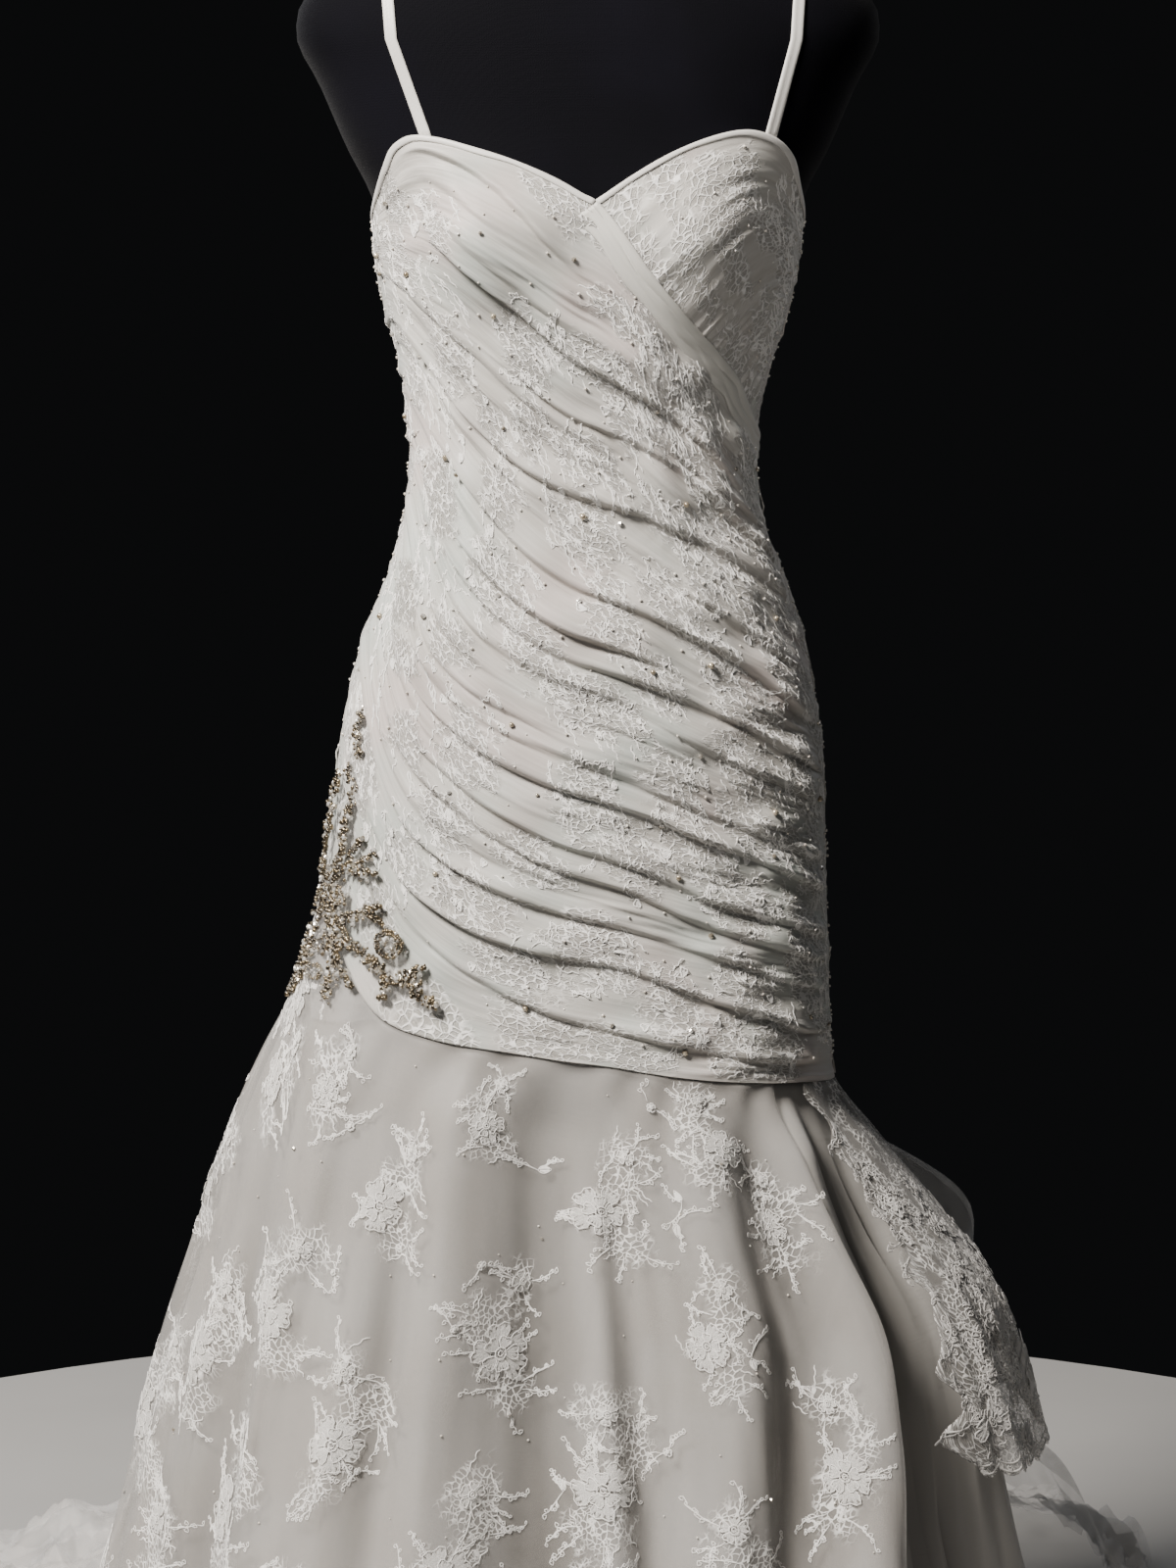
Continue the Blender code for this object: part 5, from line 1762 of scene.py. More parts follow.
@dataclass
class SkirtForm:
    """The shape that the skirt's layers share, from the hip seam to the floor."""

    floor: float = 0.004
    ripple: float = 0.0014
    ripple_reach: float = 0.10
    flare: float = 0.38  # how soon the flutes open below the seam
    lip: tuple[float, float] = (3.8, -3.0)  # a crease's steep side, in degrees
    dip: float = 0.35
    dip_width: float = 0.8
    broad: Rumple = Rumple(0.0030, 16.0, 1.6, 402)
    fine: Rumple = Rumple(0.0009, 5.0, 3.2, 403)

    def place(self, angle: Array, share: Array, depth: Array | float = 0.0) -> Array:
        """Returns points of a layer.

        Args:
            angle: Degrees round the figure.
            share: Shares of the way down.
            depth: How far the layer lies inside the lace.

        Returns:
            One point for each angle and share.
        """
        seam = seam_height(angle) - SEAM_GAP
        z = seam + (self.floor - seam) * share
        out = np.zeros(np.broadcast(angle, share).shape)
        for flute in SKIRT_FLUTES:
            middle = flute.angle + flute.lean * share
            out += flute.height * bell(turn(angle - middle), 0.0, flute.width)
        out *= smooth(share, 0.0, 0.09) * share**self.flare
        for fold in SKIRT_CREASES:
            middle = fold.seam + (fold.floor - fold.seam) * share
            off = turn(angle - middle) * fold.steep
            rise = np.exp(np.minimum(off, 0.0) / fold.width) * smooth(off, *self.lip)
            dip = np.exp(-np.maximum(off, 0.0) / (fold.width * self.dip_width))
            dip = self.dip * dip * smooth(off, *self.lip[::-1])
            out += fold.height * (rise - dip) * smooth(share, 0.0, 0.34)
        gather = np.exp(-share / self.ripple_reach) * smooth(share, 0.0, 0.012)
        out += self.ripple * gather * wander(angle, share * 20.0, 5.5, 401)
        out += smooth(share, 0.02, 0.5) * self.broad.at(angle, share)
        out += smooth(share, 0.02, 0.3) * self.fine.at(angle, share)
        return FIGURE.point(angle, z, grow=out - depth)


def fold_valley_shade(angle: Array, points: Array) -> Array:
    """Works out painted shade for the valleys between a skirt's folds.

    Args:
        angle: Degrees round the figure, by row and column.
        points: The skirt's points.

    Returns:
        How much painted shade each place gets, from 0 to 1, by how deep it lies between the folds beside
        it.
    """
    z = points[..., 2]
    out = np.einsum("ijk,ijk->ij", points - FIGURE.point(angle, z), FIGURE.outward(angle, z))
    beside = np.zeros_like(out)
    for row, (reach, places) in enumerate(zip(out, angle)):
        near = [np.interp(places + off, places, reach) for off in (-15.0, -10.0, 10.0, 15.0)]
        beside[row] = np.mean(near, axis=0)
    return smooth(beside - out, -0.002, 0.028)


@dataclass
class Underskirt:
    """The satin underskirt: a front and two back pieces."""

    form: SkirtForm
    thickness: float = 0.0012
    rows: int = 84
    seam_nudge: float = 0.02
    recess: Flute = Flute(54.0, 8.0, 0.010)  # where the overlay's folds lie over it
    streaks: Flute = Flute(60.0, 16.0, 0.0050)
    streak: Rumple = Rumple(1.0, 4.2, 1.3, 404)
    depth: Table = Table([(0.0, 0.0030), (0.09, 0.0055), (0.19, 0.0085), (0.42, 0.0120), (1.0, 0.0140)])
    pieces: tuple[tuple[str, float, float, int], ...] = (
        ("underskirt_front", -SIDE, SIDE, 110),
        ("underskirt_back_left", SIDE, BACK, 60),
        ("underskirt_back_right", BACK, BACK + 90.0, 60),
    )

    def build(self, satin: Material) -> None:
        """Makes the three pieces.

        Args:
            satin: Their material.
        """
        for node, first, last, columns in self.pieces:
            angles = spaced(first + self.seam_nudge, last - self.seam_nudge, columns, 0.35)
            angle, share = np.meshgrid(angles, even(0.0, 1.0, self.rows))
            recess = bell(angle, *self.recess[:2]) * smooth(share, 0.04, 0.30) * self.recess.height
            streaked = bell(angle, *self.streaks[:2]) * smooth(share, 0.02, 0.20)
            recess += self.streaks.height * streaked * (1 + self.streak.at(angle, share))
            points = self.form.place(angle, share, self.depth(share) + recess)
            # painted shade in the valleys between the underskirt's folds
            painted_fold_shade = fold_valley_shade(angle, points)
            piece = Cloth.lay(f"satin_{node}", points, self.thickness, crease=painted_fold_shade)
            dress(piece, satin, Slot.UNDERSKIRT, node)


class Lobe(NamedTuple):
    """One oval of a lace motif, in metres across and down from its middle."""

    x: float
    y: float
    wide: float
    tall: float


class Motif(NamedTuple):
    """One lace motif: where its middle lies, its height and the side that it leans to."""

    angle: float
    share: float
    size: float
    lean: float

    def lobes(self) -> list[Lobe]:
        """Sets out the ovals that it covers, one below another.

        Returns:
            The four ovals, from the top down.
        """
        made = []
        for number in range(4):
            x = self.lean * 0.15 * math.sin(number * 2.1 + self.size * 90)
            wide = 0.19 + 0.06 * math.cos(number * 2.6 + self.angle)
            made.append(Lobe(*(self.size * part for part in (x, (number - 1.5) * 0.27, wide, 0.19))))
        return made


@dataclass
class LaceFront:
    """The lace overskirt across the front; its left edge swings under the overlay."""

    form: SkirtForm
    thickness: float = 0.0006
    columns: int = 156
    rows: int = 112
    crowding: float = 1.05  # how much closer the rows are at the seam
    first: float = -104.9
    last: float = 45.6
    drift: float = -11.0
    ragged: Rumple = Rumple(0.24, 1.9, 52.0, 405)
    motif_angles: tuple[float, float, int] = (-97.0, 39.0, 9)
    motif_rows: tuple[tuple[float, ...], ...] = ((0.17, 0.42, 0.67, 0.92), (0.085, 0.30, 0.54, 0.79))

    def __post_init__(self) -> None:
        """Makes the surface that the lace cords lie on, and sets its motifs out in columns."""
        self.surface = Surface(self.place)
        pick = np.random.default_rng(21)
        self.motifs: list[Motif] = []
        for column, angle in enumerate(even(*self.motif_angles)):
            for row, share in enumerate(self.motif_rows[column % 2]):
                sway = pick.uniform(-1.0, 1.0, 2)
                size = 0.050 + 0.085 * share**0.7 + sway[0] * 0.008
                lean = -1.0 if (row + column) % 2 else 1.0
                self.motifs.append(Motif(angle + sway[0] * 2.4, share + sway[1] * 0.022, size, lean))

    def place(self, angle: Array, share: Array) -> Array:
        """Returns points of the outer face."""
        swing = self.drift * share * np.clip((angle - self.first) / (self.last - self.first), 0, 1) ** 2
        return self.form.place(angle + swing, share)

    def lace(self, angle: Array, share: Array) -> Array:
        """Marks where the motifs lie.

        Args:
            angle: Degrees round the figure.
            share: Shares of the way down.

        Returns:
            How much lace each place carries, from 0 to 1.
        """
        ragged = self.ragged.at(angle, share)
        most = np.zeros_like(share)
        for motif in self.motifs:
            _, _, across, drop = self.surface.frame(np.array([motif.angle]), np.array([motif.share]))
            x, y = (angle - motif.angle) * across, (share - motif.share) * drop
            for lobe in motif.lobes():
                apart = np.hypot((x - lobe.x) / lobe.wide, (y - lobe.y) / lobe.tall)
                most = np.maximum(most, 1 - smooth(apart + ragged, 0.80, 1.10))
        return most

    def build(self, net: Material) -> None:
        """Makes the net ground.

        Args:
            net: Its material.
        """
        angles = spaced(self.first, self.last, self.columns, 0.4)
        angle, share = np.meshgrid(angles, even(0.0, 1.0, self.rows) ** self.crowding)
        points = self.place(angle, share)
        # the crease attribute carries painted shade for the valleys between the folds
        piece = Cloth.lay("lace_front_ground", points, self.thickness,
                          lace=self.lace(angle, share), crease=fold_valley_shade(angle, points))
        dress(piece, net, Slot.LACE, "lace_skirt_front")


@dataclass
class LaceOverlay:
    """The lace overlay on the wearer's left, with its scalloped hem."""

    form: SkirtForm
    thickness: float = 0.0006
    columns: int = 96
    rows: int = 70
    first: float = 60.0
    last: float = 120.0
    stand: float = 0.013
    flute: Flute = Flute(88.0, 10.0, 0.012)
    ripple: float = 0.006
    clear: float = 0.0012
    scallop: float = 0.0075
    scallops: int = 13
    cloud: Rumple = Rumple(1.0, 6.0, 9.0, 421)
    hem: Table = Table([(60.0, 0.312), (75.0, 0.304), (90.0, 0.302), (105.0, 0.330), (120.0, 0.372)])

    def __post_init__(self) -> None:
        """Makes the surface that the lace cords lie on."""
        self.surface = Surface(self.place)

    def hem_share(self, angle: Array) -> Array:
        """Works out where the scalloped hem runs.

        Args:
            angle: Degrees round the figure.

        Returns:
            The hem's share of the way down the skirt.
        """
        along = (angle - self.first) / (self.last - self.first) * self.scallops
        lobe = np.abs(np.sin(math.pi * along)) ** 0.6
        return 1.0 - (self.hem(angle) + self.scallop * (1 - lobe)) / seam_height(angle)

    def place(self, angle: Array, part: Array) -> Array:
        """Stands the overlay off the skirt, more and more towards its hem.

        Args:
            angle: Degrees round the figure.
            part: Shares of the overlay's own length.

        Returns:
            Points of the outer face.
        """
        edge = np.exp(-np.maximum(angle - self.first, 0.0) / 3.0)
        at = angle + edge * (2.2 * wander(part * 9.0, 0.0, 1.0, 420) - 2.0 * part)
        stand = self.stand * part**0.6 + self.flute.height * bell(at, *self.flute[:2]) * part
        stand = stand + self.ripple * np.sin(np.radians((at - self.first) * 14.0)) * part**2
        return self.form.place(at, part * self.hem_share(angle), -stand - self.clear)

    def build(self, net: Material) -> None:
        """Makes the net ground.

        Args:
            net: Its material.
        """
        angles = spaced(self.first, self.last, self.columns, 0.42)
        angle, part = np.meshgrid(angles, even(0, 1, self.rows))
        lace = smooth(self.cloud.at(angle, part) + 1.1 * part, -0.35, 0.25)
        piece = Cloth.lay("lace_overlay_ground", self.place(angle, part), self.thickness, lace=lace)
        dress(piece, net, Slot.LACE, "lace_overlay_left")


@dataclass
class TulleTrain:
    """The sheer tulle that falls behind the skirt and lies rumpled on the floor."""

    thickness: float = 0.0005
    columns: int = 118
    rows: int = 120
    crowding: float = 0.9  # how much closer the rows are at the floor
    start: float = 120.0
    end: float = 247.5
    seam_nudge: float = 0.02
    floor: float = 0.0016
    corner: float = 12.0
    corner_cut: float = 0.60
    reach: tuple[tuple[float, float, float], ...] = (
        (0.00, 0.000, 0.000), (0.09, 0.008, 0.004), (0.19, 0.020, 0.010), (0.30, 0.036, 0.020),
        (0.42, 0.054, 0.036), (0.54, 0.084, 0.060), (0.66, 0.124, 0.094), (0.77, 0.176, 0.140),
        (0.87, 0.236, 0.216), (0.94, 0.296, 0.320), (1.00, 0.360, 0.470),
    )  # fmt: skip
    flutes: tuple[Flute, ...] = (
        Flute(123, 6, 0.030), Flute(141, 8, 0.045), Flute(160, 8, 0.040), Flute(179, 8, 0.045),
        Flute(198, 8, 0.040), Flute(217, 8, 0.050), Flute(235, 7, 0.030),
    )  # fmt: skip
    wing: tuple[Flute, float, float] = (Flute(123, 7, 0.062), 0.23, 0.10)
    billows: tuple[tuple[Flute, float, float], ...] = (
        (Flute(128.0, 11.0, 0.055), 0.77, 0.10), (Flute(146.0, 9.0, 0.055), 0.70, 0.08),
    )  # fmt: skip
    rumple: Rumple = Rumple(0.004, 7.0, 3.0, 440)
    lying_rumple: float = 0.006
    edge_rumple: float = 0.030
    sway: float = 0.010
    right_spread: Rows = ((0.0, 0.10), (0.66, 0.12), (0.80, 0.30), (0.90, 0.70), (1.0, 1.0))

    @staticmethod
    def swell(angle: Array, share: Array, flute: Flute, middle: float, tall: float) -> Array:
        """Returns how far a flute that stands only part of the way down stands out."""
        return flute.height * bell(angle, flute.angle, flute.width) * bell(share, middle, tall)

    def place(self, angle: Array, share: Array) -> Array:
        """Lets the tulle fall in flutes, spread behind and lie rumpled on the floor.

        Args:
            angle: Degrees round the figure.
            share: Shares of the way down.

        Returns:
            Points of the outer face.
        """
        downs, sides, backs = zip(*self.reach)
        seam = seam_height(angle) - SEAM_GAP
        z = seam + (self.floor - seam) * share
        out = np.zeros_like(share)
        for flute in self.flutes:
            out += flute.height * bell(angle, flute.angle, flute.width)
        out *= share**1.2 * (1.0 - share**6)
        out += self.swell(angle, share, *self.wing)
        out += smooth(share, 0.03, 0.4) * self.rumple.at(angle, share)
        from_edge = np.minimum(angle - self.start, self.end - angle)
        keep = 1.0 - self.corner_cut * bell(from_edge, 0.0, self.corner) * share**2
        aside = np.where(angle > BACK, np.interp(share, *zip(*self.right_spread)), 1.0)
        aside = aside * Table(list(zip(downs, sides)))(share) * keep
        back = Table(list(zip(downs, backs)))(share) * keep
        point = FIGURE.point(angle, z, grow=out, side=aside, back=back)
        x, y = point[..., 0], point[..., 1]
        lying = smooth(share, 0.80, 0.95)
        rumple = np.abs(wander(x / 0.11, y / 0.11, 1.0, 441))
        rumple += 0.5 * np.abs(wander(x / 0.045, y / 0.045, 1.0, 442))
        lift = lying * rumple * (self.lying_rumple + self.edge_rumple * bell(from_edge, 0.0, 17.0))
        sway = wander(y / 0.07, share * 5.0, 1.0, 443) * self.sway * lying
        point[..., 2] += lift + sum(self.swell(angle, share, *billow) for billow in self.billows)
        point[..., 0] += sway
        return point

    def build(self, tulle: Material) -> None:
        """Makes both halves, which meet at the middle of the back.

        Args:
            tulle: Their material.
        """
        left, right = (self.start, BACK - self.seam_nudge), (BACK + self.seam_nudge, self.end)
        for side, ends in (("left", left), ("right", right)):
            columns, rows = even(*ends, self.columns), even(0.0, 1.0, self.rows) ** self.crowding
            points = self.place(*np.meshgrid(columns, rows))
            piece = Cloth.lay(f"tulle_train_sheer_{side}", points, self.thickness, crease=0.0)
            dress(piece, tulle, Slot.TULLE, f"tulle_train_{side}")


# ------------------------------------------------------------------ lace


class LacePatch(NamedTuple):
    """One oval patch of lace on the bodice."""

    angle: float
    z: float
    wide: float
    tall: float

    def apart(self, angle: Array | float, z: Array | float, wide: float, tall: float) -> tuple:
        """Returns how far places lie from its middle, across and down, in those sizes."""
        off = turn(angle - self.angle)
        return off / wide, (z - self.z) / tall


@dataclass
class LacePatches:
    """Where the ruched cloth carries lace: scattered ovals, thicker towards the wearer's left."""

    tries: int = 2560
    seed: int = 5
    tilt: float = 0.0016
    overlap: float = 0.72
    sparse: float = 1.35  # how much wider apart the patches of the right side and the back lie
    ragged: Rumple = Rumple(0.22, 5.0, 1 / 0.011, 501)

    def __post_init__(self) -> None:
        """Scatters the patches."""
        pick = np.random.default_rng(self.seed)
        self.patches: list[LacePatch] = []
        for _ in range(self.tries):
            angle = pick.uniform(-175.0, 180.0)
            z = pick.uniform(0.62, 1.26)
            facing = abs(angle) < 95.0
            likely = 0.30 + 0.70 * float(smooth(angle, -35.0, 20.0)) if facing else 0.35
            if pick.random() > likely:
                continue
            wide, tall = pick.uniform(5.5, 13.0), pick.uniform(0.014, 0.034)
            gap = self.overlap * (1.0 if angle > 0 and facing else self.sparse)
            ways = (other.apart(angle, z, wide + other.wide, tall + other.tall)
                    for other in self.patches)
            if all(math.hypot(*way) >= gap for way in ways):
                self.patches.append(LacePatch(angle, z, wide, tall))

    def share(self, angle: Array, z: Array) -> Array:
        """Marks where the patches lie.

        Args:
            angle: Degrees round the figure.
            z: Heights.

        Returns:
            How much lace each place carries, from 0 to 1.
        """
        most = np.zeros(np.broadcast(angle, z).shape)
        ragged = self.ragged.at(angle, z)
        for patch in self.patches:
            leaning = z + self.tilt * turn(angle - patch.angle)
            apart = np.hypot(*patch.apart(angle, leaning, patch.wide, patch.tall))
            most = np.maximum(most, 1 - smooth(apart + ragged, 0.72, 1.05))
        return most


class Spot(NamedTuple):
    """A place on a surface, with how many metres one degree and one whole share are there."""

    angle: float
    down: float
    across: float
    drop: float


@dataclass
class Needle:
    """Draws lace motifs as cords round a spot; x runs across and y down, in metres."""

    threads: Threads
    pick: np.random.Generator
    cord: float = 0.0011
    fill: Threads | None = None
    spot: Spot = Spot(0.0, 0.5, 0.004, 0.6)

    def move(self, angle: float, down: float) -> None:
        """Moves the drawing's origin."""
        _, _, across, drop = self.threads.surface.frame(np.array([angle]), np.array([down]))
        self.spot = Spot(angle, down, float(across[0]), float(drop[0]))

    def draw(self, path: Sequence[Sequence[float]], width: float, lift: float = 0.0,
             height: float | None = None, into: Threads | None = None) -> None:
        """Lays one cord along a path.

        Args:
            path: Its points.
            width: Its width.
            lift: Its height above the cloth.
            height: Its own height; about half its width if none is given.
            into: The threads that it joins; the outlines' if none are given.
        """
        spots = np.array(path, float)
        spots = spots / (self.spot.across, self.spot.drop) + self.spot[:2]
        (into or self.threads).add(spots, width, lift, height)

    def petal(self, x: float, y: float, heading: float, inner: float, outer: float, spread: float,
              lift: float) -> None:
        """Draws one notched petal: satin-stitched ribs and a corded outline.

        Args:
            x: The flower's middle across.
            y: The flower's middle down.
            heading: Where the petal points.
            inner: Its start's distance from the middle.
            outer: Its tip's distance from the middle.
            spread: Half of its angle.
            lift: Its height above the cloth.
        """

        def at(phi: float, radius: float) -> tuple[float, float]:
            """Returns a point of the petal's fan."""
            turned = heading + phi * spread * (0.45 + 0.55 * min(radius / outer, 1.0))
            return x + math.cos(turned) * radius, y + math.sin(turned) * radius

        def rim(phi: float) -> float:
            """Returns the outline's radius."""
            return outer * (1 - 0.12 * math.exp(-((phi / 0.28) ** 2)) - 0.26 * phi**4)

        ribs = 5 if outer > 0.011 else 3
        for phi in even(-0.76, 0.76, ribs):
            reach = rim(phi) * 0.95
            path = [at(phi, inner + (reach - inner) * t) for t in (0.0, 0.55, 1.0)]
            self.draw(path, spread * outer * 1.75 / ribs, lift, 0.0004, self.fill)
        outline = [at(-0.8, inner)] + [at(phi, rim(phi)) for phi in even(-1, 1, 7)] + [at(0.8, inner)]
        self.draw(outline, self.cord * 1.15, lift + 0.0003)

    def rose(self, x: float, y: float, radius: float, layers: int = 2) -> None:
        """Draws a flower with broad petals round two small rings.

        Args:
            x: Its middle across.
            y: Its middle down.
            radius: Its radius.
            layers: How many layers of petals it has, 1 or 2.
        """
        start = self.pick.uniform(0, ROUND)
        count = 5
        for layer, (inner, outer) in enumerate(((0.30, 1.0), (0.14, 0.62))[2 - layers:]):
            for number in range(count):
                heading = start + layer * 0.6 + (number + self.pick.uniform(-0.1, 0.1)) * ROUND / count
                size = radius * outer * self.pick.uniform(0.88, 1.08)
                lift = 0.0007 + 0.0005 * layer
                self.petal(x, y, heading, radius * inner, size, math.pi / count * 0.93, lift)
        for part in (0.20, 0.09):
            ring = [heading_step(turned, radius * part) + (x, y) for turned in even(0, 6.283, 8)]
            self.draw(ring, self.cord * 1.2, 0.0020)

    def leaf(self, heading: float, length: float) -> None:
        """Draws a small pointed leaf with a midrib, from the spot.

        Args:
            heading: Where it points.
            length: Its length.
        """
        ahead, aside = heading_step(heading, length), heading_step(heading + math.pi / 2, length)
        for side in (-1.0, 1.0):
            edge = [ahead * t + aside * side * 0.26 * math.sin(math.pi * t**0.8) for t in even(0, 1, 6)]
            self.draw(edge, self.cord)
            rib = [ahead * t + aside * side * 0.12 * math.sin(math.pi * t) for t in (0.15, 0.5, 0.85)]
            self.draw(rib, length * 0.20, 0.0, 0.0005)

    def branch(self, x: float, y: float, heading: float, length: float, bend: float) -> None:
        """Draws a stem whose twigs leave on alternate sides and end in small loops.

        Args:
            x: Its root across.
            y: Its root down.
            heading: Where it sets out.
            length: Its length.
            bend: How far it turns along its length.
        """
        stations = 5
        spine, place, facing = [], np.array([x, y]), heading
        for _ in range(stations + 1):
            spine.append((place, facing))
            facing += bend / stations + self.pick.uniform(-0.16, 0.16)
            place = place + heading_step(facing, length / stations)
        self.draw([point for point, _ in spine], self.cord * 1.25)
        for number, (point, along) in enumerate(spine[1:]):
            side = -1.0 if number % 2 else 1.0
            reach = length * self.pick.uniform(0.20, 0.40) * (1.1 - 0.55 * number / stations)
            self.twig(point, along + side * self.pick.uniform(0.6, 1.2), reach, side, length > 0.026)

    def twig(self, root: Array, heading: float, length: float, side: float, forked: bool) -> None:
        """Draws one curling twig that ends in a small leaflet.

        Args:
            root: Where it starts.
            heading: Where it sets out.
            length: Its length.
            side: The side that it curls to, -1 or 1.
            forked: Whether a smaller twig leaves it.
        """
        path, facing = [root], heading
        for _ in range(2):
            facing -= side * self.pick.uniform(0.25, 0.75)
            path.append(path[-1] + heading_step(facing, length / 2))
        long, facing = self.cord * self.pick.uniform(2.0, 3.2), facing + side * 0.5
        for step in range(5):
            facing -= side * (0.5 if step % 2 else 1.7)
            path.append(path[-1] + heading_step(facing, long * (0.6 if step % 2 else 0.9)))
        self.draw(path, self.cord)
        if forked:
            self.twig(path[1], heading + side * 0.8, length * 0.5, -side, False)

    def squiggle(self, x: float, y: float, heading: float, length: float) -> None:
        """Draws a short curling cord.

        Args:
            x: Its start across.
            y: Its start down.
            heading: Where it sets out.
            length: Its length.
        """
        path, steps, facing = [np.array([x, y])], 7, heading
        sway = self.pick.uniform(0.7, 1.3)
        for step in range(steps):
            facing += sway * math.sin(step * 1.7 + heading * 3.0)
            path.append(path[-1] + heading_step(facing, length / steps))
        self.draw(path, self.cord * 1.25)

    def cluster(self, motif: Motif) -> None:
        """Draws a tall spray: two roses, curling cords round them and branches at the edge.

        Args:
            motif: Its size and lobes.
        """
        pick, size, lobes = self.pick, motif.size, motif.lobes()
        big = size * pick.uniform(0.20, 0.25)
        blooms = ((*lobes[2][:2], big), (*lobes[0][:2], big * pick.uniform(0.58, 0.74)))
        for x, y, wide, tall in lobes:
            for _ in range(int(size * 50)):
                turned, reach = pick.uniform(0, 6.283), pick.uniform(0.2, 1.0) ** 0.5
                place = (x + math.cos(turned) * reach * wide, y + math.sin(turned) * reach * tall)
                if all(math.dist(place, bloom[:2]) > bloom[2] * 1.05 for bloom in blooms):
                    self.squiggle(*place, turned + 1.2, pick.uniform(0.010, 0.020))
            for _ in range(4):
                turned = pick.uniform(0, 6.283)
                place = (x + math.cos(turned) * wide * 0.6, y + math.sin(turned) * tall * 0.6)
                self.branch(*place, turned, size * pick.uniform(0.17, 0.30), pick.uniform(-0.9, 0.9))
        self.rose(*blooms[0])
        self.rose(*blooms[1], 1)

    def sprig(self, size: float) -> None:
        """Draws a small loose spray.

        Args:
            size: Its height.
        """
        heading = self.pick.uniform(0, ROUND)
        self.branch(0.0, 0.0, heading, size, self.pick.uniform(-1.2, 1.2))
        self.branch(0.0, 0.0, heading + self.pick.uniform(1.6, 2.6), size * 0.7, 0.6)
        if self.pick.random() < 0.6:
            self.rose(0.0, 0.0, size * 0.22, 1)
        else:
            self.leaf(heading + 2.6, size * 0.4)


@dataclass
class SkirtLace:
    """Corded motifs on the lace front and on the overlay."""

    front: LaceFront
    overlay: LaceOverlay
    front_cord: float = 0.00072
    sprigs: int = 40
    overlay_motifs: tuple[tuple[float, float, float], ...] = (
        (66, 0.30, 0.05), (72, 0.58, 0.07), (67, 0.84, 0.07), (80, 0.36, 0.06),
        (84, 0.72, 0.10), (93, 0.50, 0.07), (98, 0.84, 0.09), (104, 0.30, 0.06),
        (110, 0.66, 0.08), (76, 0.90, 0.06), (116, 0.90, 0.06),
    )  # fmt: skip
    hem_cords: Rows = ((0.990, 0.0018), (0.968, 0.0012))
    hem_points: int = 260

    def build_front(self, thread: Material, petal: Material) -> None:
        """Makes the front's motifs and the small loose sprays between them.

        Args:
            thread: The cords' material.
            petal: The material of the petals' stitches.
        """
        threads, fill = Threads(self.front.surface), Threads(self.front.surface)
        needle = Needle(threads, np.random.default_rng(24), self.front_cord, fill)
        for motif in self.front.motifs:
            needle.move(motif.angle, motif.share)
            needle.cluster(motif)
        for _ in range(self.sprigs):
            spread = needle.pick.uniform(0, 1, 2)
            needle.move(-98.0 + 138.0 * spread[0], 0.03 + 0.92 * spread[1])
            needle.sprig(needle.pick.uniform(0.014, 0.026))
        dress(threads.build("lace_front_cords"), thread, Slot.LACE)
        dress(fill.build("lace_front_petals", gap=0.0002), petal, Slot.LACE)

    def build_overlay(self, thread: Material) -> None:
        """Makes the overlay's motifs, the cords of its scalloped hem and its feathered edge.

        Args:
            thread: The cords' material.
        """
        threads = Threads(self.overlay.surface)
        needle = Needle(threads, np.random.default_rng(22))
        for number, (angle, down, size) in enumerate(self.overlay_motifs):
            needle.move(angle, down)
            needle.cluster(Motif(angle, down, size, -1.0 if number % 2 else 1.0))
        hem = even(self.overlay.first + 0.6, self.overlay.last - 0.6, self.hem_points)
        for down, width in self.hem_cords:
            threads.add(np.column_stack([hem, np.full_like(hem, down)]), width)
        (outer, _), (inner, _) = self.hem_cords
        for start, stop in zip(hem[::4], hem[2::4]):
            threads.add(np.array([(start, inner), (stop, outer)]), 0.0010)
        for down in even(0.10, 0.93, 13):
            needle.move(self.overlay.first + 1.6, float(down))
            heading, length = needle.pick.uniform(1.2, 1.9), needle.pick.uniform(0.016, 0.030)
            needle.branch(0.0, 0.0, heading, length, 0.8)
        dress(threads.build("lace_overlay_cords"), thread, Slot.LACE)


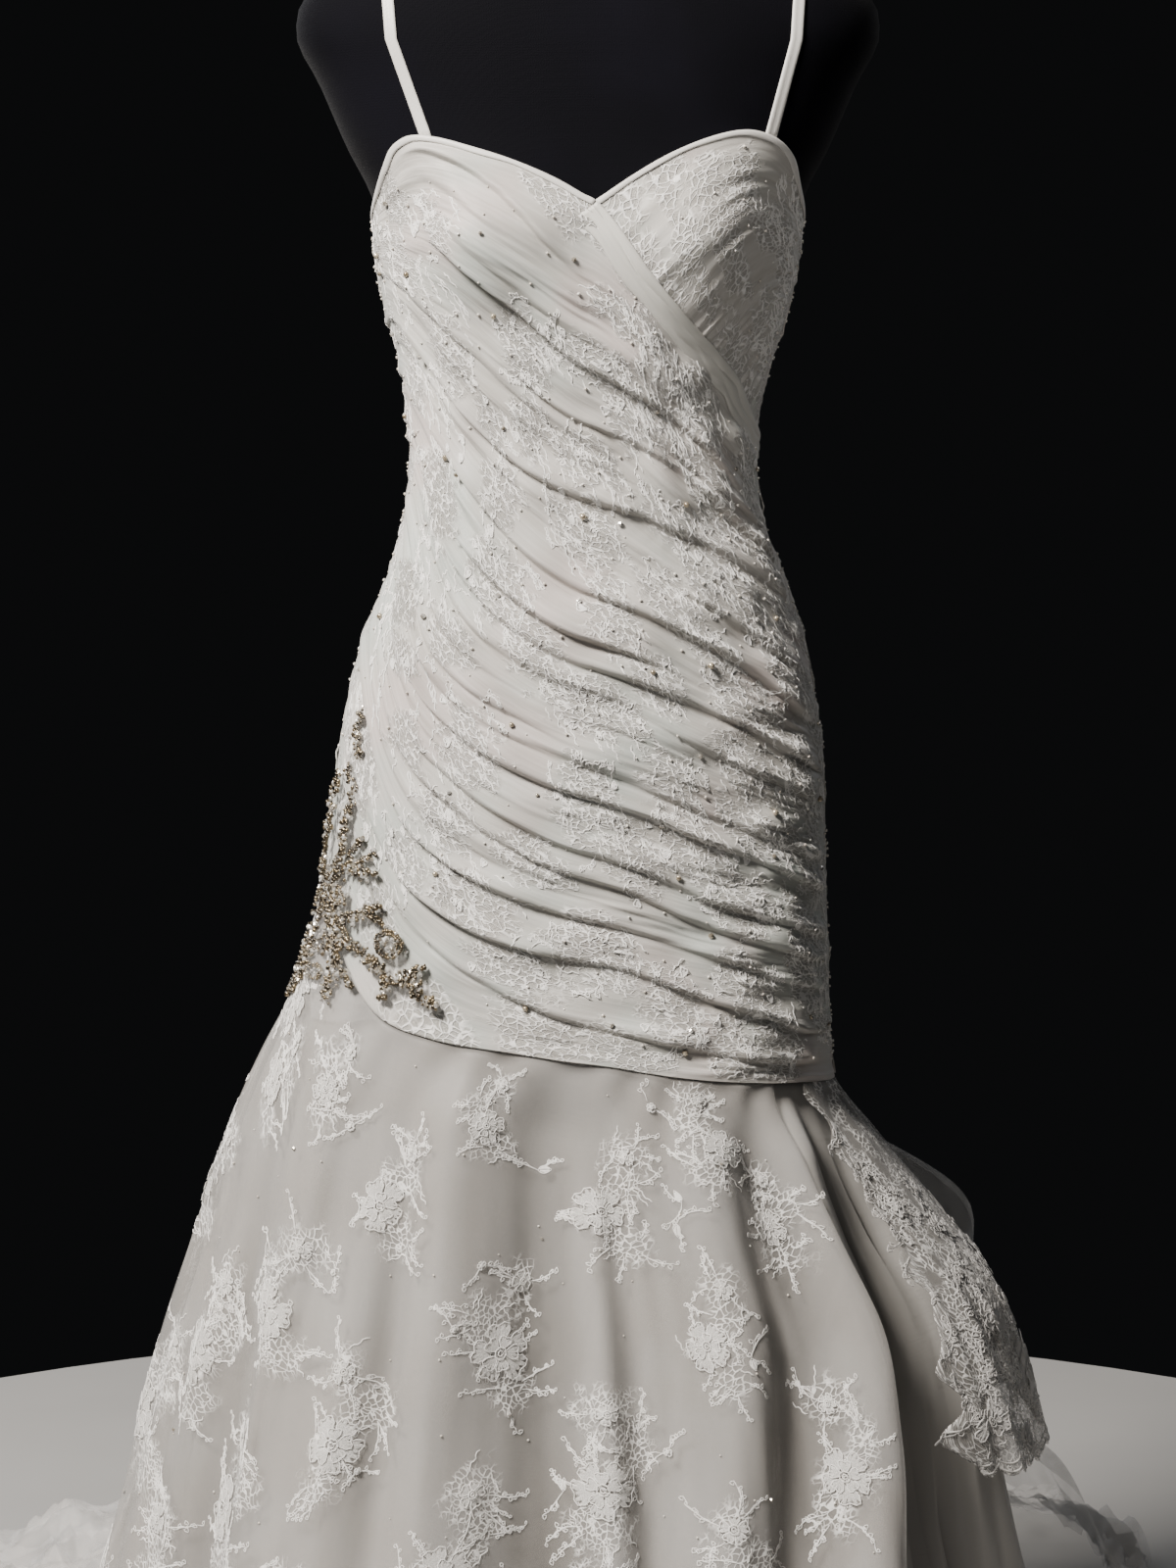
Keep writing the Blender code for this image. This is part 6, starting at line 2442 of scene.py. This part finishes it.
@dataclass
class BodiceLace:
    """Compressed lace cords on the wrapped front and the cup."""

    patches: LacePatches
    wrap: WrappedFront
    cup: GatheredCup
    cord: float = 0.00085
    gap: float = 0.0002
    density: float = 38000.0  # cords to a square metre of a patch's box
    cup_cords: int = 22
    cup_places: tuple[tuple[float, float, float], ...] = (
        (0.62, 0.10, 0.020), (0.45, 0.20, 0.014), (0.58, 0.26, 0.018), (0.66, 0.36, 0.020),
        (0.52, 0.44, 0.016), (0.50, 0.55, 0.016), (0.36, 0.62, 0.012), (0.80, 0.16, 0.014),
    )  # fmt: skip

    def build_wrap(self, thread: Material) -> None:
        """Makes the cords of every patch that lies on the wrapped front.

        The cords are drawn on the wrap without its folds, and laid on the folded wrap.

        Args:
            thread: Their material.
        """
        threads = Threads(Surface(self.smooth_wrap))
        needle = Needle(threads, np.random.default_rng(31), self.cord)
        for patch in self.patches.patches:
            top, seam = float(wrap_top(patch.angle)), float(seam_height(patch.angle))
            down = (top - patch.z) / (top - seam)
            if abs(patch.angle) <= 84.0 and 0.05 < down < 0.96:
                needle.move(patch.angle, down)
                self.fill(needle, patch.wide * needle.spot.across, patch.tall)
        threads.surface = self.wrap.surface
        dress(threads.build("lace_bodice_cords", self.gap), thread, Slot.RUCHED)

    def fill(self, needle: Needle, wide: float, tall: float) -> None:
        """Fills one patch with petals, branches and curling cords.

        Args:
            needle: The needle, at the patch's middle.
            wide: The patch's half-width.
            tall: The patch's half-height.
        """
        pick = needle.pick
        for _ in range(int(wide * tall * self.density)):
            turned, reach = pick.uniform(0, 6.283), pick.uniform(0.0, 0.95) ** 0.5
            x, y = math.cos(turned) * reach * wide, math.sin(turned) * reach * tall
            kind = pick.random()
            if kind < 0.10:
                needle.petal(x, y, turned, 0.0015, pick.uniform(0.006, 0.010), 0.5, 0.0)
            elif kind < 0.20:
                needle.branch(x, y, turned, pick.uniform(0.012, 0.020), 1.6)
            else:
                needle.squiggle(x, y, pick.uniform(-0.9, 1.5), pick.uniform(0.009, 0.017))

    def smooth_wrap(self, angle: Array, down: Array) -> Array:
        """Returns the wrap's points without its folds."""
        return FIGURE.point(angle, self.wrap.height(angle, down))

    def build_cup(self, thread: Material) -> None:
        """Makes the cup's cords.

        Args:
            thread: Their material.
        """
        threads = Threads(self.cup.surface)
        needle = Needle(threads, np.random.default_rng(32), self.cord)
        for across, share, size in self.cup_places:
            needle.move(across, share)
            for _ in range(self.cup_cords):
                turned = needle.pick.uniform(0, 6.283)
                x, y = math.cos(turned) * size * 0.7, math.sin(turned) * size * 0.5
                needle.squiggle(x, y, needle.pick.uniform(-1.2, 0.6), needle.pick.uniform(0.009, 0.016))
        dress(threads.build("lace_cup_cords", self.gap), thread, Slot.RUCHED)


# ------------------------------------------------------------------ beading


class Stroke(NamedTuple):
    """A curved row of beads, in metres across and down from the spray's heart."""

    width: float
    thick: int
    path: Rows


@dataclass
class HipSpray:
    """The beaded spray at the wearer's right hip, read by its place seen from the front."""

    skirt: LaceFront
    heart: tuple[float, float] = (-0.181, 0.706)
    top: float = 0.885
    net_lift: float = 0.0064
    cloth_lift: float = 0.0030
    pitch: float = 0.0016
    stray: float = 0.42
    bead_sizes: tuple[float, float] = (0.0011, 0.0025)
    lifts: tuple[float, float] = (0.0004, 0.0026)
    cut_share: float = 0.24
    cut_size: float = 1.1
    strokes: tuple[Stroke, ...] = (
        Stroke(0.0046, 3, ((0.022, -0.166), (0.017, -0.150), (0.019, -0.134), (0.013, -0.116),
                           (0.014, -0.098), (0.008, -0.080), (0.007, -0.062), (-0.000, -0.046))),
        Stroke(0.0044, 2, ((0.006, -0.120), (0.000, -0.104), (-0.003, -0.088), (-0.006, -0.070),
                           (-0.008, -0.052))),
        Stroke(0.0110, 6, ((-0.002, -0.046), (-0.004, -0.030), (0.001, -0.014), (-0.003, 0.002))),
        Stroke(0.0080, 5, ((-0.008, -0.052), (-0.012, -0.034), (-0.013, -0.014), (-0.016, 0.004),
                           (-0.020, 0.022), (-0.026, 0.036), (-0.033, 0.050))),
        Stroke(0.0060, 4, ((0.002, -0.044), (0.012, -0.050), (0.021, -0.054), (0.029, -0.062))),
        Stroke(0.0048, 3, ((0.014, -0.050), (0.024, -0.046), (0.033, -0.049))),
        Stroke(0.0040, 3, ((0.012, -0.052), (0.015, -0.064), (0.022, -0.071))),
        Stroke(0.0060, 4, ((0.000, -0.006), (0.012, -0.014), (0.023, -0.019), (0.034, -0.026))),
        Stroke(0.0042, 3, ((0.022, -0.018), (0.031, -0.015), (0.038, -0.010))),
        Stroke(0.0062, 4, ((0.000, 0.004), (0.014, 0.007), (0.026, 0.013), (0.036, 0.022),
                           (0.040, 0.034), (0.036, 0.043))),
        Stroke(0.0072, 5, ((0.038, 0.030), (0.049, 0.026), (0.058, 0.030), (0.066, 0.040),
                           (0.074, 0.045))),
        Stroke(0.0045, 3, ((0.055, 0.030), (0.062, 0.020), (0.069, 0.017))),
        Stroke(0.0070, 5, ((-0.003, 0.004), (0.001, 0.018), (-0.002, 0.034), (-0.006, 0.048))),
        Stroke(0.0044, 3, ((0.000, 0.020), (0.010, 0.030), (0.014, 0.038))),
        Stroke(0.0080, 5, ((-0.006, 0.010), (-0.016, 0.013), (-0.022, 0.020))),
    )  # fmt: skip
    rings: tuple[tuple[float, float, float], ...] = (
        (0.0005, 0.0010, 0.0105), (0.0410, 0.0030, 0.0098), (0.0030, -0.0290, 0.0062),
        (-0.0150, 0.0300, 0.0050),
    )  # fmt: skip
    ring_rows: tuple[float, float] = (1.0, 0.74)
    ring_stones: int = 6
    stone_place: float = 0.38
    stone_size: float = 0.23
    net_grid: tuple[int, int] = (34, 90)
    net_wall: float = 0.0003
    net_top: float = 0.010
    net_length: float = 0.232
    net_sunk: float = 0.0006
    net_left: Rows = ((0.0, -0.168), (0.10, -0.181), (0.16, -0.194), (0.20, -0.204), (0.25, -0.196))
    net_right: Rows = (
        (0.0, -0.154), (0.10, -0.165), (0.13, -0.150), (0.16, -0.158), (0.20, -0.122),
        (0.225, -0.106), (0.245, -0.186),
    )  # fmt: skip

    def __post_init__(self) -> None:
        """Makes the surface that the beads lie on."""
        self.surface = Surface(self.place)

    def place(self, x: Array, down: Array) -> Array:
        """Returns points over the cloth, by their place across and their depth below the top.

        Args:
            x: Metres to the wearer's left of the middle, seen from the front.
            down: Metres below the spray's highest point.

        Returns:
            The points.
        """
        z = self.top - np.asarray(down, float)
        share = -np.asarray(x) / FIGURE.lines[0](z)
        sine = np.clip(share, 0.0, 1.0) ** (FIGURE.lines[4](z) / 2)
        past = np.maximum(share - 0.985, 0.0) * 160.0
        angle = -np.degrees(np.arcsin(sine)) - past
        seam = seam_height(angle)
        on_skirt = np.where(z <= seam, smooth(seam - z, -0.004, 0.012), 0.0)[..., None]
        upper = FIGURE.raised(angle, z, self.cloth_lift)
        lower = self.skirt.form.place(angle, np.clip((seam - z) / seam, 0.0, 1.0))
        made = upper * (1 - on_skirt) + lower * on_skirt
        made[..., 2] = z
        return made + FIGURE.outward(angle, z) * self.net_lift * 0.5

    def scatter(self, pick: np.random.Generator, heart: Array) -> tuple[Array, Array]:
        """Scatters the beads along the strokes and sets them round the rings.

        Args:
            pick: The random draws.
            heart: The spray's heart.

        Returns:
            The beads' places and sizes.
        """
        spots, sizes = [], []
        for stroke in self.strokes:
            path = np.array(stroke.path) + heart
            run = run_along(path)
            count = int(run[-1] / self.pitch * stroke.thick)
            at = pick.uniform(0, run[-1], count)
            middle = np.stack([np.interp(at, run, path[:, k]) for k in range(2)], axis=-1)
            swell = 0.55 + 0.45 * np.sin(math.pi * np.clip(at / run[-1] * 0.9 + 0.15, 0, 1))
            spots.append(middle + pick.normal(0, self.stray, (count, 2)) * stroke.width * swell[:, None])
            sizes.append(pick.uniform(*self.bead_sizes, count))
        for x, y, radius in self.rings:
            for ring in self.ring_rows:
                count = int(ROUND * radius * ring / self.pitch)
                spots.append(heart + (x, y) + self.circle(count) * radius * ring)
                sizes.append(np.full(count, 0.0012 + 0.0005 * ring))
        return np.concatenate(spots), np.concatenate(sizes)

    def build(self, net: Material, gold: Material, glass: Material) -> None:
        """Makes the net under the spray, its gold beads and its cut stones.

        Args:
            net: The net's material.
            gold: The beads' material.
            glass: The stones' material.
        """
        pick = np.random.default_rng(41)
        heart = np.array([self.heart[0], self.top - self.heart[1]])
        spots, sizes = self.scatter(pick, heart)
        self.net(net)
        cut = pick.random(len(sizes)) < self.cut_share
        lift = pick.uniform(*self.lifts, len(sizes))
        beads, stones = Beads("hip_gold_beads", flat=False), Beads("hip_cut_stones", flat=True)
        beads.add(self.surface, spots[~cut], sizes[~cut], lift[~cut])
        stones.add(self.surface, spots[cut], sizes[cut] * self.cut_size, lift[cut])
        for x, y, radius in self.rings:
            ring = heart + (x, y) + self.circle(self.ring_stones) * radius * self.stone_place
            stones.add(self.surface, ring, np.full(self.ring_stones, radius * self.stone_size))
        dress(beads.build(), gold, Slot.BEADS)
        dress(stones.build(), glass, Slot.BEADS)

    @staticmethod
    def circle(count: int) -> Array:
        """Returns points evenly round a circle of radius 1."""
        at = even(0, ROUND, count + 1)[:-1]
        return np.stack([np.cos(at), np.sin(at)], axis=-1)

    def net(self, net: Material) -> None:
        """Makes the fine net that the beads are sewn to.

        Args:
            net: Its material.
        """
        across, down = np.meshgrid(*(even(0, 1, count) for count in self.net_grid))
        y = self.net_top + down * self.net_length
        left, right = np.interp(y, *zip(*self.net_left)), np.interp(y, *zip(*self.net_right))
        x = left + (right - left) * across
        points = self.place(x, y) - self.surface.frame(x, y)[1] * self.net_sunk
        piece = Cloth.lay("hip_spray_net", points, self.net_wall, crease=0.0)
        dress(piece, net, Slot.BEADS, "beaded_applique")


class Scatter(NamedTuple):
    """One kind of loose stone on one surface: how many, over what ranges and of what radii."""

    surface: Surface
    count: int
    across: tuple[float, float]
    down: tuple[float, float]
    radii: tuple[float, float]

    def spots(self, pick: np.random.Generator) -> Array:
        """Scatters the stones without clumping: each is the loneliest of six tries.

        Args:
            pick: The random draws.

        Returns:
            One row for each stone.
        """
        made: list[Array] = []
        while len(made) < self.count:
            tries = pick.uniform(0, 1, (6, 2))
            gaps = [min((math.dist(spot, one) for spot in made), default=0.0) for one in tries]
            made.append(tries[int(np.argmax(gaps))])
        low, high = np.array((self.across, self.down)).T
        return low + np.array(made) * (high - low)


@dataclass
class ScatteredStones:
    """Loose pearls, stones and tiny beads sewn over the bodice and the skirt's lace."""

    wrap: WrappedFront
    cup: GatheredCup
    skirt: LaceFront

    def build(self, pearl: Material, glass: Material, champagne: Material) -> None:
        """Makes each kind as one piece.

        Args:
            pearl: The tiny pearls' material.
            glass: The clear stones' material.
            champagne: The champagne stones' material.
        """
        pick = np.random.default_rng(51)
        wrap, cup, skirt = self.wrap.surface, self.cup.surface, self.skirt.surface
        for name, finish, groups in (
            ("tiny_pearls", pearl, (
                Scatter(wrap, 330, (-88, 88), (0.03, 0.985), (0.0007, 0.0014)),
                Scatter(wrap, 40, (-89.5, -80), (0.05, 0.97), (0.0009, 0.0014)),
                Scatter(wrap, 56, (80, 89.5), (0.20, 0.98), (0.0009, 0.0014)),
                Scatter(cup, 46, (0.1, 0.96), (0.03, 0.7), (0.0008, 0.0014)),
                Scatter(cup, 18, (0.95, 0.995), (0.0, 0.8), (0.0009, 0.0014)),
                Scatter(skirt, 150, (-100, 42), (0.03, 0.97), (0.0006, 0.0011)),
            )),
            ("scattered_stones", glass, (
                Scatter(wrap, 30, (-78, 80), (0.05, 0.97), (0.0017, 0.0025)),
                Scatter(skirt, 12, (-90, 40), (0.05, 0.90), (0.0012, 0.0017)),
            )),
            ("champagne_stones", champagne, (
                Scatter(wrap, 20, (-80, 70), (0.18, 0.97), (0.0020, 0.0029)),
            )),
        ):  # fmt: skip
            beads = Beads(name, flat=finish is glass)
            for group in groups:
                beads.add(group.surface, group.spots(pick), pick.uniform(*group.radii, group.count))
            dress(beads.build(), finish, Slot.BEADS)


# ------------------------------------------------------------------ the form and its stand


@dataclass
class DressForm:
    """The limbless form: a smooth jersey torso; its cap, pole and foot are solids that stay."""

    inset: float = 0.0030
    chest: float = 0.016
    columns: int = 96
    sharp: float = 50.0
    levels: tuple[tuple[float, float, int], ...] = (
        (0.700, 0.84, 15), (0.86, 1.48, 56), (1.488, 1.500, 3),
    )  # fmt: skip
    foot: Rows = (
        (0.700, 0.078), (0.712, 0.054), (0.735, 0.030), (0.765, 0.014), (0.800, 0.004), (0.840, 0.0),
    )  # fmt: skip
    stand: tuple[str, ...] = ("form_neck_cap", "form_pole", "form_base")

    def ring(self, z: float) -> list[Point]:
        """Sets out one level ring of points, in order of their bearings.

        Args:
            z: Its height.

        Returns:
            The points.
        """
        inset = self.inset + float(np.interp(z, *zip(*self.foot)))
        right, left, front, back, power = (float(line(z)) for line in FIGURE.lines)
        angle = spaced(-BACK, BACK, self.columns + 1, z)[:-1]
        cup, tall = FIGURE.cup(angle, z)
        across, ahead, _, cosine = FIGURE.outline(angle, power)
        depth = np.where(cosine > 0, front - inset + self.chest * cup * tall, back - inset)
        x = (min(left, right) - inset) * across
        made = np.stack([x, -depth * ahead, np.full_like(x, z)], axis=-1)
        return sorted(made.tolist(), key=bearing)

    def build(self, jersey: Material, metal: Material, nodes: dict) -> Piece:
        """Makes the torso by raising ring on ring, and gives the stand its finish.

        Args:
            jersey: The torso's material.
            metal: The stand's material.
            nodes: The model's solids, by name.

        Returns:
            The torso.
        """
        rings = [self.ring(float(z)) for run in self.levels for z in even(*run)]
        shell = bmesh.new()
        bmesh.ops.create_circle(shell, cap_ends=False, segments=self.columns, radius=1.0)
        corners = sorted(shell.verts, key=lambda corner: bearing(corner.co))
        edges = list(shell.edges)
        for corner, place in zip(corners, rings[0]):
            corner.co = place
        bmesh.ops.contextual_create(shell, geom=edges)
        for ring in rings[1:]:
            raised = bmesh.ops.extrude_edge_only(shell, edges=edges)["geom"]
            top = {item for item in raised if isinstance(item, bmesh.types.BMVert)}
            edges = [item for item in raised if isinstance(item, bmesh.types.BMEdge)
                     and all(corner in top for corner in item.verts)]
            corners = [next(edge.other_vert(corner) for edge in corner.link_edges
                            if edge.other_vert(corner) in top) for corner in corners]
            for corner, place in zip(corners, ring):
                corner.co = place
        bmesh.ops.contextual_create(shell, geom=edges)
        bmesh.ops.recalc_face_normals(shell, faces=shell.faces)
        torso = to_piece(to_mesh("jersey_torso", shell))
        torso.data.set_sharp_from_angle(angle=math.radians(self.sharp))
        dress(torso, jersey, Slot.COVER, "form_torso")
        for name in self.stand:
            for slot in nodes[name].material_slots:
                slot.material = metal
        return torso


# ------------------------------------------------------------------ studio


@dataclass
class Studio:
    """A pale floor, soft lights and the camera."""

    floor_radius: float = 1.2
    floor_place: Point = (0.0, 0.25, -0.0006)
    camera_place: Point = (0.0, -2.55, 1.08)
    aim: Point = (0.0, 0.0, 0.81)
    lens: float = 78.6
    world: Colour = (0.62, 0.64, 0.68)
    world_strength: float = 0.008
    cone: float = 8.5
    spot_radius: float = 0.25

    def build(self, floor: Material) -> None:
        """Makes the floor, the lights and the camera.

        Args:
            floor: The floor's material.
        """
        disc = bmesh.new()
        bmesh.ops.create_circle(disc, cap_ends=True, segments=96, radius=self.floor_radius)
        mesh = to_mesh("studio_floor", disc)
        mesh.transform(Matrix.Translation(self.floor_place))
        mesh.materials.append(floor)
        to_piece(mesh, soft=False)
        front, middle, cool = (0.0, 0.0, 0.70), (0.0, 0.2, 0.8), (0.97, 0.98, 1.0)
        self.light("key", (-1.92, -1.84, 3.50), (0.0, -0.05, 0.80), 418.0, (1.0, 0.938, 0.868), 0.90)
        self.light("front", (-0.2, -3.2, 1.6), front, 6.0, (1.0, 0.975, 0.955), 1.6)
        self.light("cup_fill", (0.75, -2.25, 1.70), (0.125, -0.11, 1.215), 128.0, (1.0, 0.95, 0.90))
        self.light("back_left", (-1.9, 2.1, 2.2), middle, 34.0, cool, 1.5)
        self.light("back_right", (2.1, 1.9, 2.0), middle, 9.0, cool, 1.5)
        world = bpy.data.worlds.new("dim_studio")
        world.use_nodes = True
        sky = world.node_tree.nodes["Background"].inputs
        sky["Color"].default_value = (*self.world, 1.0)
        sky["Strength"].default_value = self.world_strength
        bpy.context.scene.world = world
        camera = bpy.data.cameras.new("camera")
        camera.lens, camera.sensor_width, camera.sensor_fit = self.lens, 36.0, "AUTO"
        camera.dof.use_dof = False
        bpy.context.scene.camera = self.aimed(camera, self.camera_place, self.aim)

    def light(self, name: str, place: Point, aim: Point, power: float, colour: Colour,
              size: float = 0.0) -> None:
        """Adds a soft light.

        Args:
            name: Its name.
            place: Where it hangs.
            aim: The point that it faces.
            power: Its power in watts.
            colour: Its colour.
            size: Its side in metres; without one it is a spot that fades out to its rim.
        """
        lamp = bpy.data.lights.new(name, "AREA" if size else "SPOT")
        lamp.energy, lamp.color = power, colour
        if size:
            lamp.shape, lamp.size = "SQUARE", size
        else:
            lamp.spot_size, lamp.spot_blend = math.radians(self.cone), 1.0
            lamp.shadow_soft_size = self.spot_radius
        self.aimed(lamp, place, aim)

    @staticmethod
    def aimed(data: bpy.types.ID, place: Point, aim: Point) -> Piece:
        """Links a light or camera that faces a point.

        Args:
            data: The light or camera.
            place: Where it is.
            aim: The point that it faces.

        Returns:
            Its object.
        """
        made = bpy.data.objects.new(data.name, data)
        made.location = place
        made.rotation_euler = (Vector(aim) - Vector(place)).to_track_quat("-Z", "Y").to_euler()
        bpy.context.scene.collection.objects.link(made)
        return made


# ------------------------------------------------------------------ the whole dress


class Cut(NamedTuple):
    """A sheet of cloth as it was cut: its width and length flat, its area and what it carries."""

    piece: str
    wide: float
    long: float
    area: float
    held: Held
    rests_on: tuple[str, ...]
    carries: tuple[str, ...] = ()


TORSO, WRAP, CUP = "jersey_torso", "ruched_front", "gathered_cup"
SATIN_FRONT, LACE_GROUND = "satin_underskirt_front", "lace_front_ground"
BACK_LEFT, BACK_RIGHT = "draped_back_left", "draped_back_right"
SATIN_LEFT, SATIN_RIGHT = "satin_underskirt_back_left", "satin_underskirt_back_right"
CUTS = (
    Cut(WRAP, 0.60, 0.76, 0.400, Held.GATHERED, (TORSO,), ("lace_bodice_cords",)),
    Cut(CUP, 0.24, 0.22, 0.038, Held.GATHERED, (TORSO,), ("lace_cup_cords",)),
    Cut(BACK_LEFT, 0.28, 0.60, 0.150, Held.DRAPED, (TORSO,)),
    Cut(BACK_RIGHT, 0.28, 0.52, 0.132, Held.DRAPED, (TORSO,)),
    Cut("neck_binding_right", 0.27, 0.014, 0.0036, Held.STRETCHED, (WRAP,)),
    Cut("neck_binding_left", 0.27, 0.014, 0.0036, Held.STRETCHED, (CUP,)),
    Cut("wrap_edge_fold", 0.30, 0.022, 0.0064, Held.STRETCHED, (WRAP,)),
    Cut("button_placket", 0.020, 0.34, 0.0065, Held.STRETCHED, (BACK_LEFT, BACK_RIGHT)),
    Cut("shoulder_strap_right", 0.012, 0.51, 0.0061, Held.STRETCHED, (TORSO,)),
    Cut("shoulder_strap_left", 0.012, 0.51, 0.0061, Held.STRETCHED, (TORSO,)),
    Cut(SATIN_FRONT, 1.30, 0.66, 0.640, Held.HUNG, (WRAP,)),
    Cut(SATIN_LEFT, 0.72, 0.68, 0.350, Held.HUNG, (BACK_LEFT,)),
    Cut(SATIN_RIGHT, 0.78, 0.76, 0.390, Held.HUNG, (BACK_RIGHT,)),
    Cut(LACE_GROUND, 1.20, 0.68, 0.580, Held.HUNG, (WRAP, SATIN_FRONT),
        ("lace_front_cords", "lace_front_petals")),
    Cut("lace_overlay_ground", 0.36, 0.34, 0.090, Held.HUNG, (WRAP, LACE_GROUND),
        ("lace_overlay_cords",)),
    Cut("tulle_train_sheer_left", 1.00, 0.80, 0.560, Held.HUNG, (BACK_LEFT, SATIN_LEFT)),
    Cut("tulle_train_sheer_right", 1.00, 0.86, 0.630, Held.HUNG, (BACK_RIGHT, SATIN_RIGHT)),
    Cut("hip_spray_net", 0.11, 0.24, 0.017, Held.STRETCHED, (WRAP, LACE_GROUND),
        ("hip_gold_beads", "hip_cut_stones")),
)  # fmt: skip


def declare_sheets() -> None:
    """Looks up the pieces that each sheet carries, and keeps nothing."""
    for cut in CUTS:
        carries = [bpy.data.objects[name] for name in cut.carries]
        list(cut.rests_on)


def main() -> None:
    """Builds the dress, the form and the studio, in order."""
    logging.basicConfig(level=logging.INFO, format="%(name)s %(message)s", stream=sys.stdout)
    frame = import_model()

    ruched = RuchedLace().make()
    net = SheerNet("lace_ground_net", (0.48, 0.47, 0.455), (0.43, 0.41, 0.385), 0.28, 0.46).make()
    # painted shade: a darker copy of the lace net for the overlay, which lies in shade
    shaded_overlay_net = SheerNet("overlay_net_painted_shade", (0.36, 0.35, 0.335), (0.31, 0.30, 0.28), 0.28, 0.46).make()
    tulle = SheerNet("train_tulle", least=0.10, most=0.26).make()
    bead_net = SheerNet("bead_net", least=0.02, most=0.07).make()
    thread = LaceThread("corded_lace_thread").make()
    pressed = LaceThread("pressed_lace_thread", (0.90, 0.89, 0.87), (0.80, 0.79, 0.76)).make()
    stitches = LaceThread("petal_stitches", (0.74, 0.73, 0.71), (0.64, 0.63, 0.60), 0.55).make()
    # painted shade: a darker copy of the lace thread for the overlay
    shaded_overlay_thread = LaceThread("overlay_lace_thread_painted_shade", (0.66, 0.65, 0.63), (0.50, 0.48, 0.46)).make()
    satin = Satin("underskirt_satin", (0.43, 0.417, 0.395), (0.36, 0.347, 0.325)).make()
    trim = Satin("trim_satin", (0.72, 0.71, 0.68), (0.62, 0.60, 0.57), 0.32).make()
    folded = Satin("folded_band", (0.60, 0.59, 0.55), (0.54, 0.54, 0.50), 0.50).make()
    gold = Gem("antique_gold_beads", (0.23, 0.18, 0.11), (0.055, 0.042, 0.026), 0.85, 0.20).make()
    glass = Gem("cut_stones", (0.88, 0.87, 0.84), (0.42, 0.37, 0.29), 0.60, 0.06).make()
    pearl = Gem("seed_pearls", (0.80, 0.78, 0.73), (0.62, 0.57, 0.50), 0.0, 0.22).make()
    champagne = Gem("champagne_stones", (0.62, 0.55, 0.43), (0.30, 0.24, 0.16), 0.55, 0.10).make()

    torso = DressForm().build(Jersey().make(), StandMetal().make(), frame["nodes"])
    patches = LacePatches()
    wrap, cup = WrappedFront(), GatheredCup()
    wrap.build(patches, ruched)
    cup.build(patches, ruched)
    BackBodice().build(patches, ruched)
    EdgeBands().build(trim, folded)
    Fastening().build(trim)
    ShoulderStraps().build(torso, trim)
    form = SkirtForm()
    Underskirt(form).build(satin)
    front, overlay = LaceFront(form), LaceOverlay(form)
    front.build(net)
    overlay.build(shaded_overlay_net)
    TulleTrain().build(tulle)
    lace = SkirtLace(front, overlay)
    lace.build_front(thread, stitches)
    lace.build_overlay(shaded_overlay_thread)
    bodice_lace = BodiceLace(patches, wrap, cup)
    bodice_lace.build_wrap(pressed)
    bodice_lace.build_cup(pressed)
    HipSpray(front).build(bead_net, gold, glass)
    ScatteredStones(wrap, cup, front).build(pearl, glass, champagne)
    Studio().build(StudioFloor().make())
    declare_sheets()


if __name__ == "__main__":
    main()
